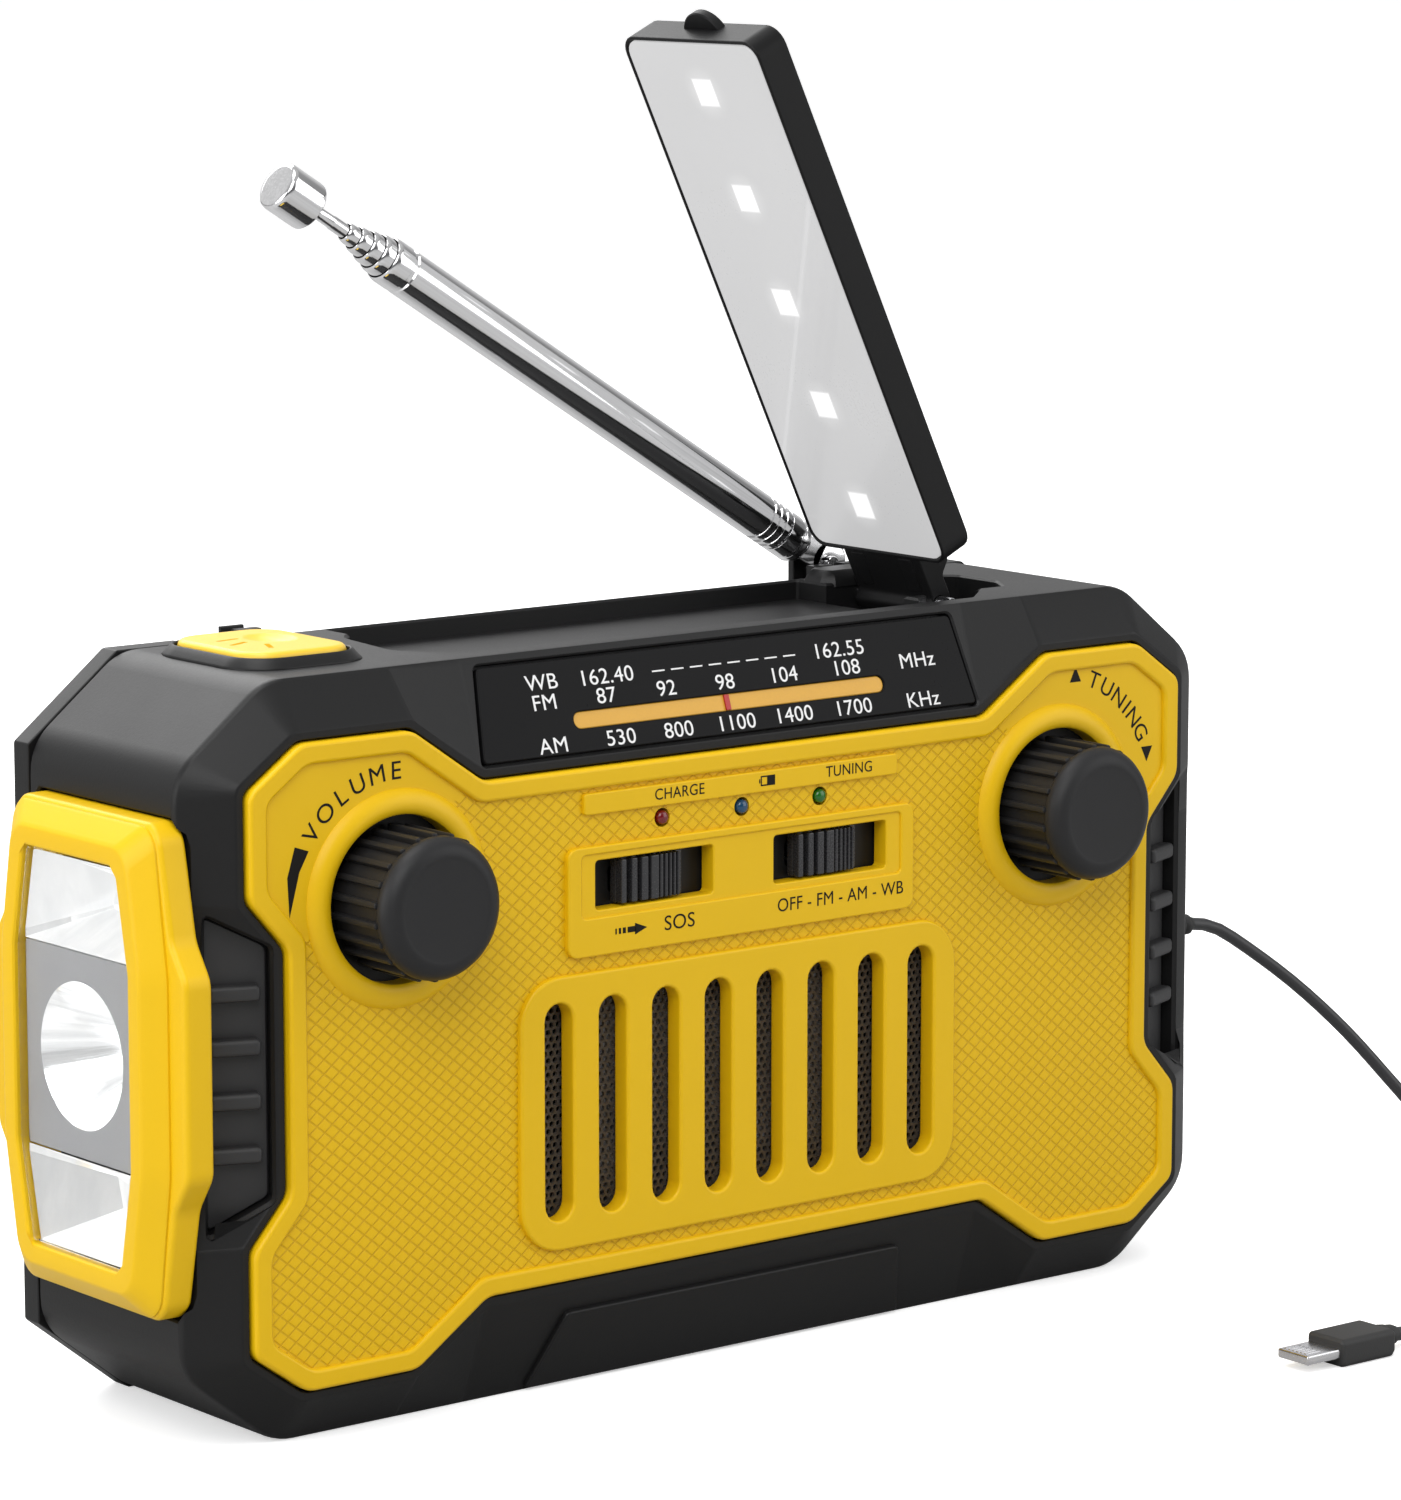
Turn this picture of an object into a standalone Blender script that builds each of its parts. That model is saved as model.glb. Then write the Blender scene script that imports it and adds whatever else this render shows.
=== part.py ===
"""Emergency radio with a folding lamp, torch, telescopic antenna, hand crank and charging lead.

Metres, +Z up. X runs along the front, the front faces -Y. The origin is the middle of the flat base.
"""

import math

import bmesh
import bpy
from mathutils import Matrix, Vector

MM = 0.001

# ---------------------------------------------------------------- driving sizes
TOUCH_GAP = 0.3 * MM  # between two pieces that rest on each other
RUN_GAP = 0.15 * MM  # radial play of telescoping and turning pieces

BODY_WIDTH = 190.0 * MM
BODY_HEIGHT = 108.0 * MM
BODY_DEPTH = 42.6 * MM  # ridge to back
CORNER_X = 15.1 * MM
CORNER_Z = 12.0 * MM
WALL = 2.4 * MM
DECK_THICKNESS = 5.8 * MM
BASE_THICKNESS = 3.0 * MM
REAR_COVER_DEPTH = 5.8 * MM
REAR_WALL = 2.2 * MM
REAR_BEVEL = 2.0 * MM

PANEL_WIDTH = 173.6 * MM
PANEL_HEIGHT = 91.4 * MM
PANEL_THICKNESS = 2.7 * MM
PANEL_PROUD = 6.0 * MM  # panel face in front of the housing's ridge
PANEL_CORNER_X = 8.7 * MM
PANEL_CORNER_Z = 6.2 * MM
PANEL_NOTCH_Z = 8.5 * MM  # depth of the notches in the top and bottom edges
PANEL_NOTCH_HALF = 46.8 * MM
PANEL_NOTCH_SLOPE = 12.5 * MM
PANEL_WAIST_X = 6.3 * MM  # depth of the notches in the side edges
PANEL_WAIST_HALF = 17.3 * MM
PANEL_WAIST_SLOPE = 7.2 * MM
PANEL_LIP = 1.5 * MM
PANEL_SUNK = 0.7 * MM  # housing lip behind the panel's face

GRIP_HALF_WIDTH = 4.3 * MM
GRIP_HALF_OUTER = 22.0 * MM
GRIP_HALF_INNER = 17.6 * MM
GRIP_SUNK = 2.6 * MM
GRIP_RIBS = 4
GRIP_PITCH = 7.6 * MM
GRIP_RIB_WIDTH = 2.4 * MM

KNOB_X = 61.6 * MM
KNOB_Z = 76.2 * MM
KNOB_RADIUS = 10.6 * MM
KNOB_GAP = 1.4 * MM  # round the knob, in the panel
KNOB_HOLE_RADIUS = KNOB_RADIUS + KNOB_GAP
KNOB_PROUD = 11.3 * MM
KNOB_CAP = 3.0 * MM
KNOB_RIBS = 22
KNOB_RIB_DEPTH = 0.7 * MM
SHAFT_RADIUS = 3.0 * MM
SHAFT_LENGTH = 12.0 * MM
SHAFT_GRIP = 3.0 * MM  # how far the shaft is held inside its knob

SWITCH_X = 16.5 * MM
SWITCH_Z = 74.1 * MM
SWITCH_SLOT = 21.6 * MM
SWITCH_HEIGHT = 7.2 * MM
SLIDER_LENGTH = 12.2 * MM

LED_X = 14.8 * MM
LED_Z = 82.6 * MM
LED_RADIUS = 1.1 * MM

PAD_HEIGHT = 0.7 * MM
SPEAKER_PAD_HALF = 41.0 * MM
SPEAKER_PAD_TOP = 61.7 * MM
SPEAKER_PAD_BOTTOM = 21.6 * MM
SPEAKER_PAD_CORNER = 7.0 * MM
SLOT_COUNT = 8
SLOT_PITCH = 9.75 * MM
SLOT_WIDTH = 5.0 * MM
SLOT_TOP = 57.8 * MM
SLOT_BOTTOM = 26.0 * MM
SPEAKER_RADIUS = 25.0 * MM
MAGNET_RADIUS = 13.0 * MM

DIAL_HALF_TOP = 44.3 * MM
DIAL_HALF_BOTTOM = 46.2 * MM
DIAL_THICKNESS = 1.2 * MM
DIAL_SLOT_LENGTH = 58.0 * MM
DIAL_SLOT_HEIGHT = 2.8 * MM
DIAL_SLOT_RISE = 5.4 * MM  # its middle line, up the slope
DIAL_EDGE = 1.6 * MM

TRAY_DEPTH = 3.0 * MM
LAMP_LENGTH = 88.2 * MM
LAMP_WIDTH = 31.6 * MM
LAMP_THICKNESS = 5.6 * MM
LAMP_CORNER = 3.0 * MM
LAMP_Y = -1.7 * MM
LAMP_RIM = 1.0 * MM
LAMP_LEAN = math.radians(25.7)  # from the vertical
HINGE_X = 52.4 * MM
HINGE_DROP = 1.7 * MM  # hinge pin below the deck
HINGE_TO_LAMP = 8.1 * MM
HINGE_TO_FACE = 1.0 * MM
NECK_WIDTH = 17.6 * MM
KNUCKLE_RADIUS = 2.6 * MM
HINGE_PIN_RADIUS = 1.1 * MM
PIT_DEPTH = 4.6 * MM
PIT_END = 68.0 * MM

ANTENNA_INSET = 2.2 * MM  # pivot line ahead of the back face
ANTENNA_X = 54.2 * MM
ANTENNA_RISE = 1.6 * MM  # pivot above the deck
ANTENNA_LIFT = math.radians(31.4)  # above the horizontal
ANTENNA_RADIUS = 3.6 * MM
ANTENNA_WALL = 0.35 * MM
ANTENNA_START = 9.0 * MM
ANTENNA_END = 99.0 * MM
ANTENNA_SECTIONS = 4
ANTENNA_STEP = 2.0 * MM  # each section shows this much when pushed home
ANTENNA_TIP_START = 114.0 * MM
ANTENNA_TIP_LENGTH = 7.0 * MM
ANTENNA_TIP_RADIUS = 3.8 * MM
TONGUE_THICKNESS = 2.4 * MM
EYE_RADIUS = 3.6 * MM

BUTTON_X = -66.8 * MM
BUTTON_Y = -1.7 * MM
BUTTON_WIDTH = 18.2 * MM
BUTTON_LENGTH = 22.8 * MM
BUTTON_CORNER = 5.0 * MM
BUTTON_PROUD = 2.2 * MM
BUTTON_RING = 2.4 * MM
BUTTON_TRAVEL = 0.8 * MM
RING_SEAT = 3.0 * MM

TORCH_Y = -3.9 * MM
TORCH_Z = 55.0 * MM
TORCH_SUNK = 1.8 * MM
TORCH_FLANGE_PROUD = 3.2 * MM
TORCH_PROUD = 6.2 * MM
TORCH_OPENING_HALF = 28.5 * MM
TORCH_OPENING_END = 11.8 * MM
TORCH_OPENING_MIDDLE = 14.6 * MM
TORCH_FRAME = 3.0 * MM
TORCH_FLANGE = 3.4 * MM
TORCH_TAB = 3.4 * MM
TORCH_WAIST = 13.8 * MM
REFLECTOR_DEPTH = 20.2 * MM
REFLECTOR_MOUTH = 10.5 * MM
LENS_THICKNESS = 1.4 * MM
LENS_SUNK = 0.6 * MM  # behind the torch frame's face

CRANK_X = 35.0 * MM
CRANK_Z = 53.0 * MM
CRANK_HUB_RADIUS = 9.0 * MM
CRANK_ARM_LENGTH = 42.0 * MM  # short enough to pass between the antenna and the table
CRANK_ARM_WIDTH = 17.0 * MM
CRANK_ARM_THICKNESS = 4.0 * MM
CRANK_HANDLE_LENGTH = 22.0 * MM
CRANK_HANDLE_RADIUS = 4.2 * MM
GEAR_TEETH = 36
PINION_TEETH = 12
GEAR_MODULE = 1.0 * MM
GEAR_THICKNESS = 4.0 * MM
GEAR_PLAY = 0.35 * MM
GENERATOR_RADIUS = 11.0 * MM
GENERATOR_LENGTH = 10.0 * MM
GEAR_Y = 16.2 * MM

BATTERY_RADIUS = 9.2 * MM
BATTERY_LENGTH = 67.0 * MM
BATTERY_X = -36.0 * MM
BATTERY_Y = 8.5 * MM
BATTERY_Z = 16.5 * MM
DOOR_WIDTH = 74.0 * MM
DOOR_HEIGHT = 24.0 * MM
DOOR_Z = BATTERY_Z + 1.0 * MM

PORT_Y = 5.7 * MM
PORT_Z = 45.6 * MM
PORT_WIDTH = 13.6 * MM
PORT_HEIGHT = 6.1 * MM
COVER_Z = 72.0 * MM
COVER_WIDTH = 12.0 * MM
COVER_HEIGHT = 26.0 * MM
COVER_PROUD = 1.2 * MM
SCREW_X = 83.0 * MM
SCREW_Z = (15.0 * MM, 92.0 * MM)
SCREW_RADIUS = 1.4 * MM
SCREW_HEAD_RADIUS = 2.8 * MM

CORD_RADIUS = 1.05 * MM
PLUG_LENGTH = 18.0 * MM
RELIEF_LENGTH = 8.0 * MM
COIL_RADIUS = 12.0 * MM  # middle of the turns

# ---------------------------------------------------------------- derived places
RIDGE_Y = -BODY_DEPTH / 2
BACK_Y = BODY_DEPTH / 2
ANTENNA_Y = BACK_Y - ANTENNA_INSET
PANEL_Y = RIDGE_Y - PANEL_PROUD
LIP_Y = PANEL_Y + PANEL_SUNK
PANEL_BACK_Y = PANEL_Y + PANEL_THICKNESS
RECESS_Y = PANEL_BACK_Y + TOUCH_GAP
SPLIT_Y = BACK_Y - REAR_COVER_DEPTH - TOUCH_GAP
CAVITY_Y = RIDGE_Y + WALL
CENTRE_Z = BODY_HEIGHT / 2
DECK_Z = BODY_HEIGHT
TRAY_Z = DECK_Z - TRAY_DEPTH
HINGE = Vector((HINGE_X, LAMP_Y, DECK_Z - HINGE_DROP))
ANTENNA = Vector((ANTENNA_X, ANTENNA_Y, DECK_Z + ANTENNA_RISE))
END_X = BODY_WIDTH / 2

EPS = 1.0 * MM  # how far a cutter runs past the face it opens


# ---------------------------------------------------------------- scene helpers
def clear_scene():
    for obj in list(bpy.data.objects):
        bpy.data.objects.remove(obj, do_unlink=True)
    for group in list(bpy.data.collections):
        bpy.data.collections.remove(group)


def new_collection(name):
    group = bpy.data.collections.new(name)
    bpy.context.scene.collection.children.link(group)
    return group


clear_scene()
PARTS = new_collection("emergency_radio")
CUTTERS = new_collection("cutters")
CUTTERS.hide_render = True


def finish(name, colour, roughness, metallic=0.0):
    """A Principled material for one piece."""
    material = bpy.data.materials.new(name)
    material.use_nodes = True
    shader = material.node_tree.nodes["Principled BSDF"]
    shader.inputs["Base Color"].default_value = (*colour, 1.0)
    shader.inputs["Roughness"].default_value = roughness
    shader.inputs["Metallic"].default_value = metallic
    return material


BLACK = ((0.022, 0.022, 0.024), 0.5)
YELLOW = ((0.72, 0.46, 0.02), 0.4)
GLOSS_BLACK = ((0.02, 0.02, 0.022), 0.12)
CHROME = ((0.8, 0.8, 0.82), 0.12, 1.0)
STEEL = ((0.55, 0.55, 0.57), 0.35, 1.0)
WHITE = ((0.85, 0.86, 0.86), 0.35)
RUBBER = ((0.03, 0.03, 0.03), 0.8)
GREEN_BOARD = ((0.02, 0.16, 0.06), 0.5)


def show(mesh, name, look, place=None, parent=None):
    """Puts a mesh in the object's collection as one named piece."""
    obj = bpy.data.objects.new(name, mesh)
    PARTS.objects.link(obj)
    mesh.materials.clear()
    mesh.materials.append(finish(name, *look))
    if place is not None:
        obj.matrix_local = place
    obj.parent = parent
    mesh.shade_smooth()
    mesh.set_sharp_from_angle(angle=math.radians(32))
    return obj


def hide_as_cutter(mesh, name, place=None, parent=None):
    obj = bpy.data.objects.new(name, mesh)
    CUTTERS.objects.link(obj)
    obj.hide_render = True
    obj.display_type = "WIRE"
    if place is not None:
        obj.matrix_local = place
    obj.parent = parent
    return obj


def combine(target, tool, operation="DIFFERENCE"):
    modifier = target.modifiers.new(tool.name, "BOOLEAN")
    modifier.operation = operation
    modifier.object = tool
    modifier.solver = "EXACT"
    return target


def cut(target, mesh, name, place=None, parent=None):
    return combine(target, hide_as_cutter(mesh, name, place, parent))


def join(target, mesh, name, place=None, parent=None):
    return combine(target, hide_as_cutter(mesh, name, place, parent), "UNION")


def pivot(name, place, turn=None):
    """An empty on a joint's axis, which carries the pieces that move about it."""
    empty = bpy.data.objects.new(name, None)
    PARTS.objects.link(empty)
    empty.location = place
    if turn:
        empty.rotation_euler = turn
    return empty


# ---------------------------------------------------------------- shape helpers
FRONT = Matrix.Rotation(math.radians(90), 4, "X")  # flat outline stands in XZ, its face to -Y
SIDE = Matrix.Rotation(math.radians(90), 4, "Z") @ FRONT  # flat outline stands in YZ, its face to +X


def at(x, y, z):
    return Matrix.Translation((x, y, z))


def slab(loops, thickness, place=None):
    """A flat plate from closed outlines in its own XY plane, centred on z = 0."""
    curve = bpy.data.curves.new("outline", "CURVE")
    curve.dimensions = "2D"
    curve.fill_mode = "BOTH"
    curve.extrude = thickness / 2
    for loop in loops:
        spline = curve.splines.new("POLY")
        spline.points.add(len(loop) - 1)
        for point, (x, y) in zip(spline.points, loop):
            point.co = (x, y, 0.0, 1.0)
        spline.use_cyclic_u = True
    return mesh_from_curve(curve, place)


def mesh_from_curve(curve, place=None):
    holder = bpy.data.objects.new("holder", curve)
    bpy.context.scene.collection.objects.link(holder)
    graph = bpy.context.evaluated_depsgraph_get()
    mesh = bpy.data.meshes.new_from_object(holder.evaluated_get(graph))
    bpy.data.objects.remove(holder, do_unlink=True)
    bpy.data.curves.remove(curve)
    shape = bmesh.new()
    shape.from_mesh(mesh)
    bmesh.ops.remove_doubles(shape, verts=shape.verts, dist=0.00001)
    bmesh.ops.dissolve_limit(shape, angle_limit=0.001, verts=shape.verts, edges=shape.edges)
    bmesh.ops.recalc_face_normals(shape, faces=shape.faces)
    if place is not None:
        shape.transform(place)
    shape.to_mesh(mesh)
    shape.free()
    return mesh


def box(size_x, size_y, size_z, place=None):
    mesh = bpy.data.meshes.new("box")
    shape = bmesh.new()
    bmesh.ops.create_cube(shape, size=1.0, matrix=Matrix.Diagonal((size_x, size_y, size_z, 1.0)))
    if place is not None:
        shape.transform(place)
    shape.to_mesh(mesh)
    shape.free()
    return mesh


def span(low, high):
    """A box between two corners."""
    size = [b - a for a, b in zip(low, high)]
    middle = [(a + b) / 2 for a, b in zip(low, high)]
    return box(*size, at(*middle))


def rod(radius, length, sides=16, place=None, end_radius=None):
    """A cylinder or cone along its own Z, centred on z = 0."""
    mesh = bpy.data.meshes.new("rod")
    shape = bmesh.new()
    top = radius if end_radius is None else end_radius
    bmesh.ops.create_cone(
        shape, cap_ends=True, segments=sides, radius1=radius, radius2=top, depth=length
    )
    if place is not None:
        shape.transform(place)
    shape.to_mesh(mesh)
    shape.free()
    return mesh


def turned(profile, steps=20, place=None):
    """Turns a profile of (radius, height) points about Z; it runs down the outer side from the top."""
    mesh = bpy.data.meshes.new("profile")
    points = [(radius, 0.0, height) for radius, height in profile]
    mesh.from_pydata(points, [(i, i + 1) for i in range(len(points) - 1)], [])
    holder = bpy.data.objects.new("holder", mesh)
    bpy.context.scene.collection.objects.link(holder)
    screw = holder.modifiers.new("turn", "SCREW")
    screw.steps = steps
    screw.render_steps = steps
    screw.use_merge_vertices = True
    screw.merge_threshold = 0.00001
    graph = bpy.context.evaluated_depsgraph_get()
    result = bpy.data.meshes.new_from_object(holder.evaluated_get(graph))
    bpy.data.objects.remove(holder, do_unlink=True)
    shape = bmesh.new()
    shape.from_mesh(result)
    bmesh.ops.remove_doubles(shape, verts=shape.verts, dist=0.00001)
    bmesh.ops.recalc_face_normals(shape, faces=shape.faces)
    if place is not None:
        shape.transform(place)
    shape.to_mesh(result)
    shape.free()
    return result


def hollow_rod(outer, inner, length, sides=16, place=None):
    half = length / 2
    profile = [(inner, half), (outer, half), (outer, -half), (inner, -half), (inner, half)]
    return turned(profile, sides, place)


def circle(radius, sides, x=0.0, y=0.0):
    turn = 2 * math.pi / sides
    return [(x + radius * math.cos(i * turn), y + radius * math.sin(i * turn)) for i in range(sides)]


def rounded_box(half_x, half_y, corner, steps=4, x=0.0, y=0.0):
    """A rectangle outline whose corners are arcs."""
    points = []
    for index, (sign_x, sign_y) in enumerate(((1, 1), (-1, 1), (-1, -1), (1, -1))):
        for step in range(steps + 1):
            angle = math.radians(90 * (index + step / steps))
            px = sign_x * (half_x - corner) + corner * math.cos(angle)
            py = sign_y * (half_y - corner) + corner * math.sin(angle)
            points.append((x + px, y + py))
    return points


def mirrored(quarter):
    """Repeats the outline of the upper right quarter in all four quarters."""
    top = quarter + [(-x, y) for x, y in reversed(quarter)]
    return top + [(-x, -y) for x, y in top]


def oblong(width, top, bottom, x=0.0, steps=6):
    """A slot outline with round ends."""
    r = width / 2
    points = []
    for centre, start in ((top - r, 0), (bottom + r, 180)):
        for step in range(steps + 1):
            angle = math.radians(start + 180 * step / steps)
            points.append((x + r * math.cos(angle), centre + r * math.sin(angle)))
    return points


# ---------------------------------------------------------------- housing
def housing_outline(inset=0.0):
    """The eight-sided front outline, in X and Z about the body's centre."""
    half_x = BODY_WIDTH / 2 - inset
    half_z = BODY_HEIGHT / 2 - inset
    corner_x = CORNER_X - inset * 0.4
    corner_z = CORNER_Z - inset * 0.4
    return mirrored([(half_x, half_z - corner_z), (half_x - corner_x, half_z)])


def panel_outline(grow=0.0):
    """The front panel's notched outline, in X and Z about the body's centre."""
    half_x = PANEL_WIDTH / 2 + grow
    half_z = PANEL_HEIGHT / 2 + grow
    waist = PANEL_WAIST_HALF - grow * 0.5
    notch = PANEL_NOTCH_HALF - grow * 0.5
    return mirrored(
        [
            (half_x - PANEL_WAIST_X, waist),
            (half_x, waist + PANEL_WAIST_SLOPE),
            (half_x, half_z - PANEL_CORNER_Z),
            (half_x - PANEL_CORNER_X, half_z),
            (notch + PANEL_NOTCH_SLOPE, half_z),
            (notch, half_z - PANEL_NOTCH_Z),
        ]
    )


def ridge_points():
    """The points of the outer ridge that the panel lip's corners run out to, in the same order."""
    half_x = BODY_WIDTH / 2
    half_z = BODY_HEIGHT / 2
    waist = PANEL_WAIST_HALF
    return mirrored(
        [
            (half_x, waist),
            (half_x, waist + PANEL_WAIST_SLOPE),
            (half_x, half_z - CORNER_Z),
            (half_x - CORNER_X, half_z),
            (PANEL_NOTCH_HALF + PANEL_NOTCH_SLOPE, half_z),
            (PANEL_NOTCH_HALF, half_z),
        ]
    )


def front_block():
    """The solid front casing before it is hollowed: a loft from the ridge to the panel's lip."""
    mesh = bpy.data.meshes.new("block")
    shape = bmesh.new()
    rings = []
    for points, y in (
        (panel_outline(PANEL_LIP), LIP_Y),
        (ridge_points(), RIDGE_Y),
        (ridge_points(), SPLIT_Y),
    ):
        rings.append([shape.verts.new((x, y, CENTRE_Z + z)) for x, z in points])
    for near, far in zip(rings, rings[1:]):
        for i in range(len(near)):
            j = (i + 1) % len(near)
            shape.faces.new((near[i], near[j], far[j], far[i]))
    shape.faces.new(rings[0])
    shape.faces.new(rings[-1])
    bmesh.ops.recalc_face_normals(shape, faces=shape.faces)
    shape.to_mesh(mesh)
    shape.free()
    return mesh


def dial_slope():
    """The frame of the sloping face above the panel: origin at its lower edge, +Y up the slope."""
    low = Vector((0, LIP_Y, CENTRE_Z + PANEL_HEIGHT / 2 + PANEL_LIP - PANEL_NOTCH_Z))
    high = Vector((0, RIDGE_Y, BODY_HEIGHT))
    up = (high - low).normalized()
    out = Vector((1, 0, 0)).cross(up)
    frame = Matrix((Vector((1, 0, 0)), up, out)).transposed().to_4x4()
    return Matrix.Translation(low) @ frame, (high - low).length


def dial_outline(grow=0.0):
    _, rise = dial_slope()
    low = DIAL_EDGE * 0.4 - grow
    high = rise - DIAL_EDGE + grow
    bottom = DIAL_HALF_BOTTOM + grow
    top = DIAL_HALF_TOP + grow
    return [(bottom, low), (top, high), (-top, high), (-bottom, low)]


def torch_outline(grow, tab=0.0):
    """An outline round the torch, in Y and Z; tab widens it at mid height."""
    half = TORCH_OPENING_HALF + grow
    end = TORCH_OPENING_END + grow
    middle = TORCH_OPENING_MIDDLE + grow
    corner = 2.0 * MM if grow > TOUCH_GAP else 0.5 * MM
    quarter = [(middle, TORCH_WAIST)]
    if tab:
        slope = 5.0 * MM
        quarter = [(middle + tab, TORCH_WAIST), (middle, TORCH_WAIST + slope)]
    quarter += [(end, half - corner), (end - corner, half)]
    return mirrored(quarter)


def tray_outline(grow=0.0):
    """The lamp's bed in the deck, in X and Y."""
    left = HINGE_X - HINGE_TO_LAMP - LAMP_LENGTH - 0.5 * MM - grow
    right = HINGE_X - HINGE_TO_LAMP + 0.8 * MM + grow
    half = LAMP_WIDTH / 2 + TOUCH_GAP + grow
    return [
        (left, LAMP_Y - half),
        (right, LAMP_Y - half),
        (right, LAMP_Y + half),
        (left, LAMP_Y + half),
    ]


def add_main_housing():
    body = show(front_block(), "main_housing", BLACK)
    cavity_top = BODY_HEIGHT - DECK_THICKNESS
    inner = BODY_WIDTH / 2 - WALL
    corner_x = CORNER_X - WALL * 0.4
    corner_z = CORNER_Z - WALL * 0.4
    cavity = [
        (inner, BASE_THICKNESS + corner_z),
        (inner, cavity_top - corner_z),
        (inner - corner_x, cavity_top),
        (-inner + corner_x, cavity_top),
        (-inner, cavity_top - corner_z),
        (-inner, BASE_THICKNESS + corner_z),
        (-inner + corner_x, BASE_THICKNESS),
        (inner - corner_x, BASE_THICKNESS),
    ]
    depth = SPLIT_Y + EPS - CAVITY_Y
    cut(body, slab([cavity], depth, at(0, CAVITY_Y + depth / 2, 0) @ FRONT), "cavity")
    recess = RECESS_Y - LIP_Y + EPS
    middle = at(0, RECESS_Y - recess / 2, CENTRE_Z)
    cut(body, slab([panel_outline(TOUCH_GAP)], recess, middle @ FRONT), "panel_recess")
    through = CAVITY_Y - RECESS_Y + 2 * EPS
    depth_y = (CAVITY_Y + RECESS_Y) / 2
    holes = [
        circle(SHAFT_RADIUS + 0.6 * MM, 16, side * KNOB_X, KNOB_Z) for side in (-1, 1)
    ]
    holes += [
        rounded_box(SWITCH_SLOT / 2 - 2 * MM, 2.2 * MM, 1.0 * MM, 1, side * SWITCH_X, SWITCH_Z)
        for side in (-1, 1)
    ]
    holes += [circle(LED_RADIUS + TOUCH_GAP, 12, i * LED_X, LED_Z) for i in (-1, 0, 1)]
    speaker_z = (SPEAKER_PAD_TOP + SPEAKER_PAD_BOTTOM) / 2
    half_z = (SPEAKER_PAD_TOP - SPEAKER_PAD_BOTTOM) / 2
    holes.append(
        rounded_box(SPEAKER_PAD_HALF - 2 * MM, half_z - 2 * MM, SPEAKER_PAD_CORNER, 3, 0, speaker_z)
    )
    cut(body, slab(holes, through, at(0, depth_y, 0) @ FRONT), "front_holes")
    slope, _ = dial_slope()
    sunk = DIAL_THICKNESS + TOUCH_GAP
    dial = slab([dial_outline(TOUCH_GAP)], sunk + EPS, slope @ at(0, 0, (EPS - sunk) / 2))
    cut(body, dial, "dial_recess")
    add_nameplate(body)
    cut_deck(body)
    cut_torch_seat(body)
    cut_ports(body)
    for side in (-1, 1):
        cut(body, grip_solid(side, TOUCH_GAP), f"grip_recess_{side}")
    return body


def pit_outline(grow=0.0):
    half = NECK_WIDTH / 2 + 0.5 * MM + grow
    right = HINGE_X - HINGE_TO_LAMP + 0.4 * MM
    return [
        (right, LAMP_Y - half),
        (PIT_END, LAMP_Y - half),
        (PIT_END, LAMP_Y + half),
        (right, LAMP_Y + half),
    ]


def base_slope():
    """The frame of the sloping face below the panel: origin at its upper edge, +Y down the slope."""
    high = Vector((0, LIP_Y, CENTRE_Z - PANEL_HEIGHT / 2 - PANEL_LIP + PANEL_NOTCH_Z))
    low = Vector((0, RIDGE_Y, 0))
    down = (low - high).normalized()
    out = Vector((-1, 0, 0)).cross(down)
    frame = Matrix((Vector((-1, 0, 0)), down, out)).transposed().to_4x4()
    return Matrix.Translation(high) @ frame, (low - high).length


def add_nameplate(body):
    """A blank raised plate on the lower slope."""
    slope, drop = base_slope()
    low = drop - EPS
    outline = [(31.5 * MM, 3.6 * MM), (36.5 * MM, low), (-34.5 * MM, low), (-31.5 * MM, 3.6 * MM)]
    join(body, slab([outline], 1.6 * MM, slope), "nameplate")


def cut_deck(body):
    height = TRAY_DEPTH + EPS
    cut(body, slab([tray_outline()], height, at(0, 0, TRAY_Z + height / 2)), "tray")
    height = PIT_DEPTH + EPS
    cut(body, slab([pit_outline()], height, at(0, 0, DECK_Z - PIT_DEPTH + height / 2)), "pit")
    bore = rod(HINGE_PIN_RADIUS + RUN_GAP, NECK_WIDTH + 8 * MM, 12, at(*HINGE) @ FRONT)
    cut(body, bore, "hinge_pin_bore")
    notch = rod(4.0 * MM, 2.0 * MM, 12, at(lamp_tip_x() - 0.6 * MM, LAMP_Y, DECK_Z))
    cut(body, notch, "latch_scoop")
    well = rounded_box(
        BUTTON_WIDTH / 2 + BUTTON_RING - 0.4 * MM,
        BUTTON_LENGTH / 2 + BUTTON_RING - 0.4 * MM,
        BUTTON_CORNER + 1.0 * MM,
        3,
    )
    height = RING_SEAT + EPS
    place = at(BUTTON_X, BUTTON_Y, DECK_Z - RING_SEAT + height / 2)
    cut(body, slab([well], height, place), "ring_seat")
    place = at(BUTTON_X, BUTTON_Y, DECK_Z - DECK_THICKNESS / 2)
    stem = rod(3.0 * MM, DECK_THICKNESS + 2 * EPS, 12, place)
    cut(body, stem, "button_stem_hole")


def lamp_tip_x():
    return HINGE_X - HINGE_TO_LAMP - LAMP_LENGTH


def cut_torch_seat(body, label=""):
    seat = torch_outline(TORCH_FRAME + TORCH_FLANGE + TOUCH_GAP, TORCH_TAB)
    depth = TORCH_SUNK + 10 * MM
    place = at(-END_X + TORCH_SUNK - depth / 2, TORCH_Y, TORCH_Z) @ SIDE
    cut(body, slab([seat], depth, place), f"{label}torch_seat")
    place = at(-END_X + WALL, TORCH_Y, TORCH_Z) @ SIDE
    cut(body, slab([torch_outline(TOUCH_GAP)], 3 * WALL, place), f"{label}torch_hole")


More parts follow.
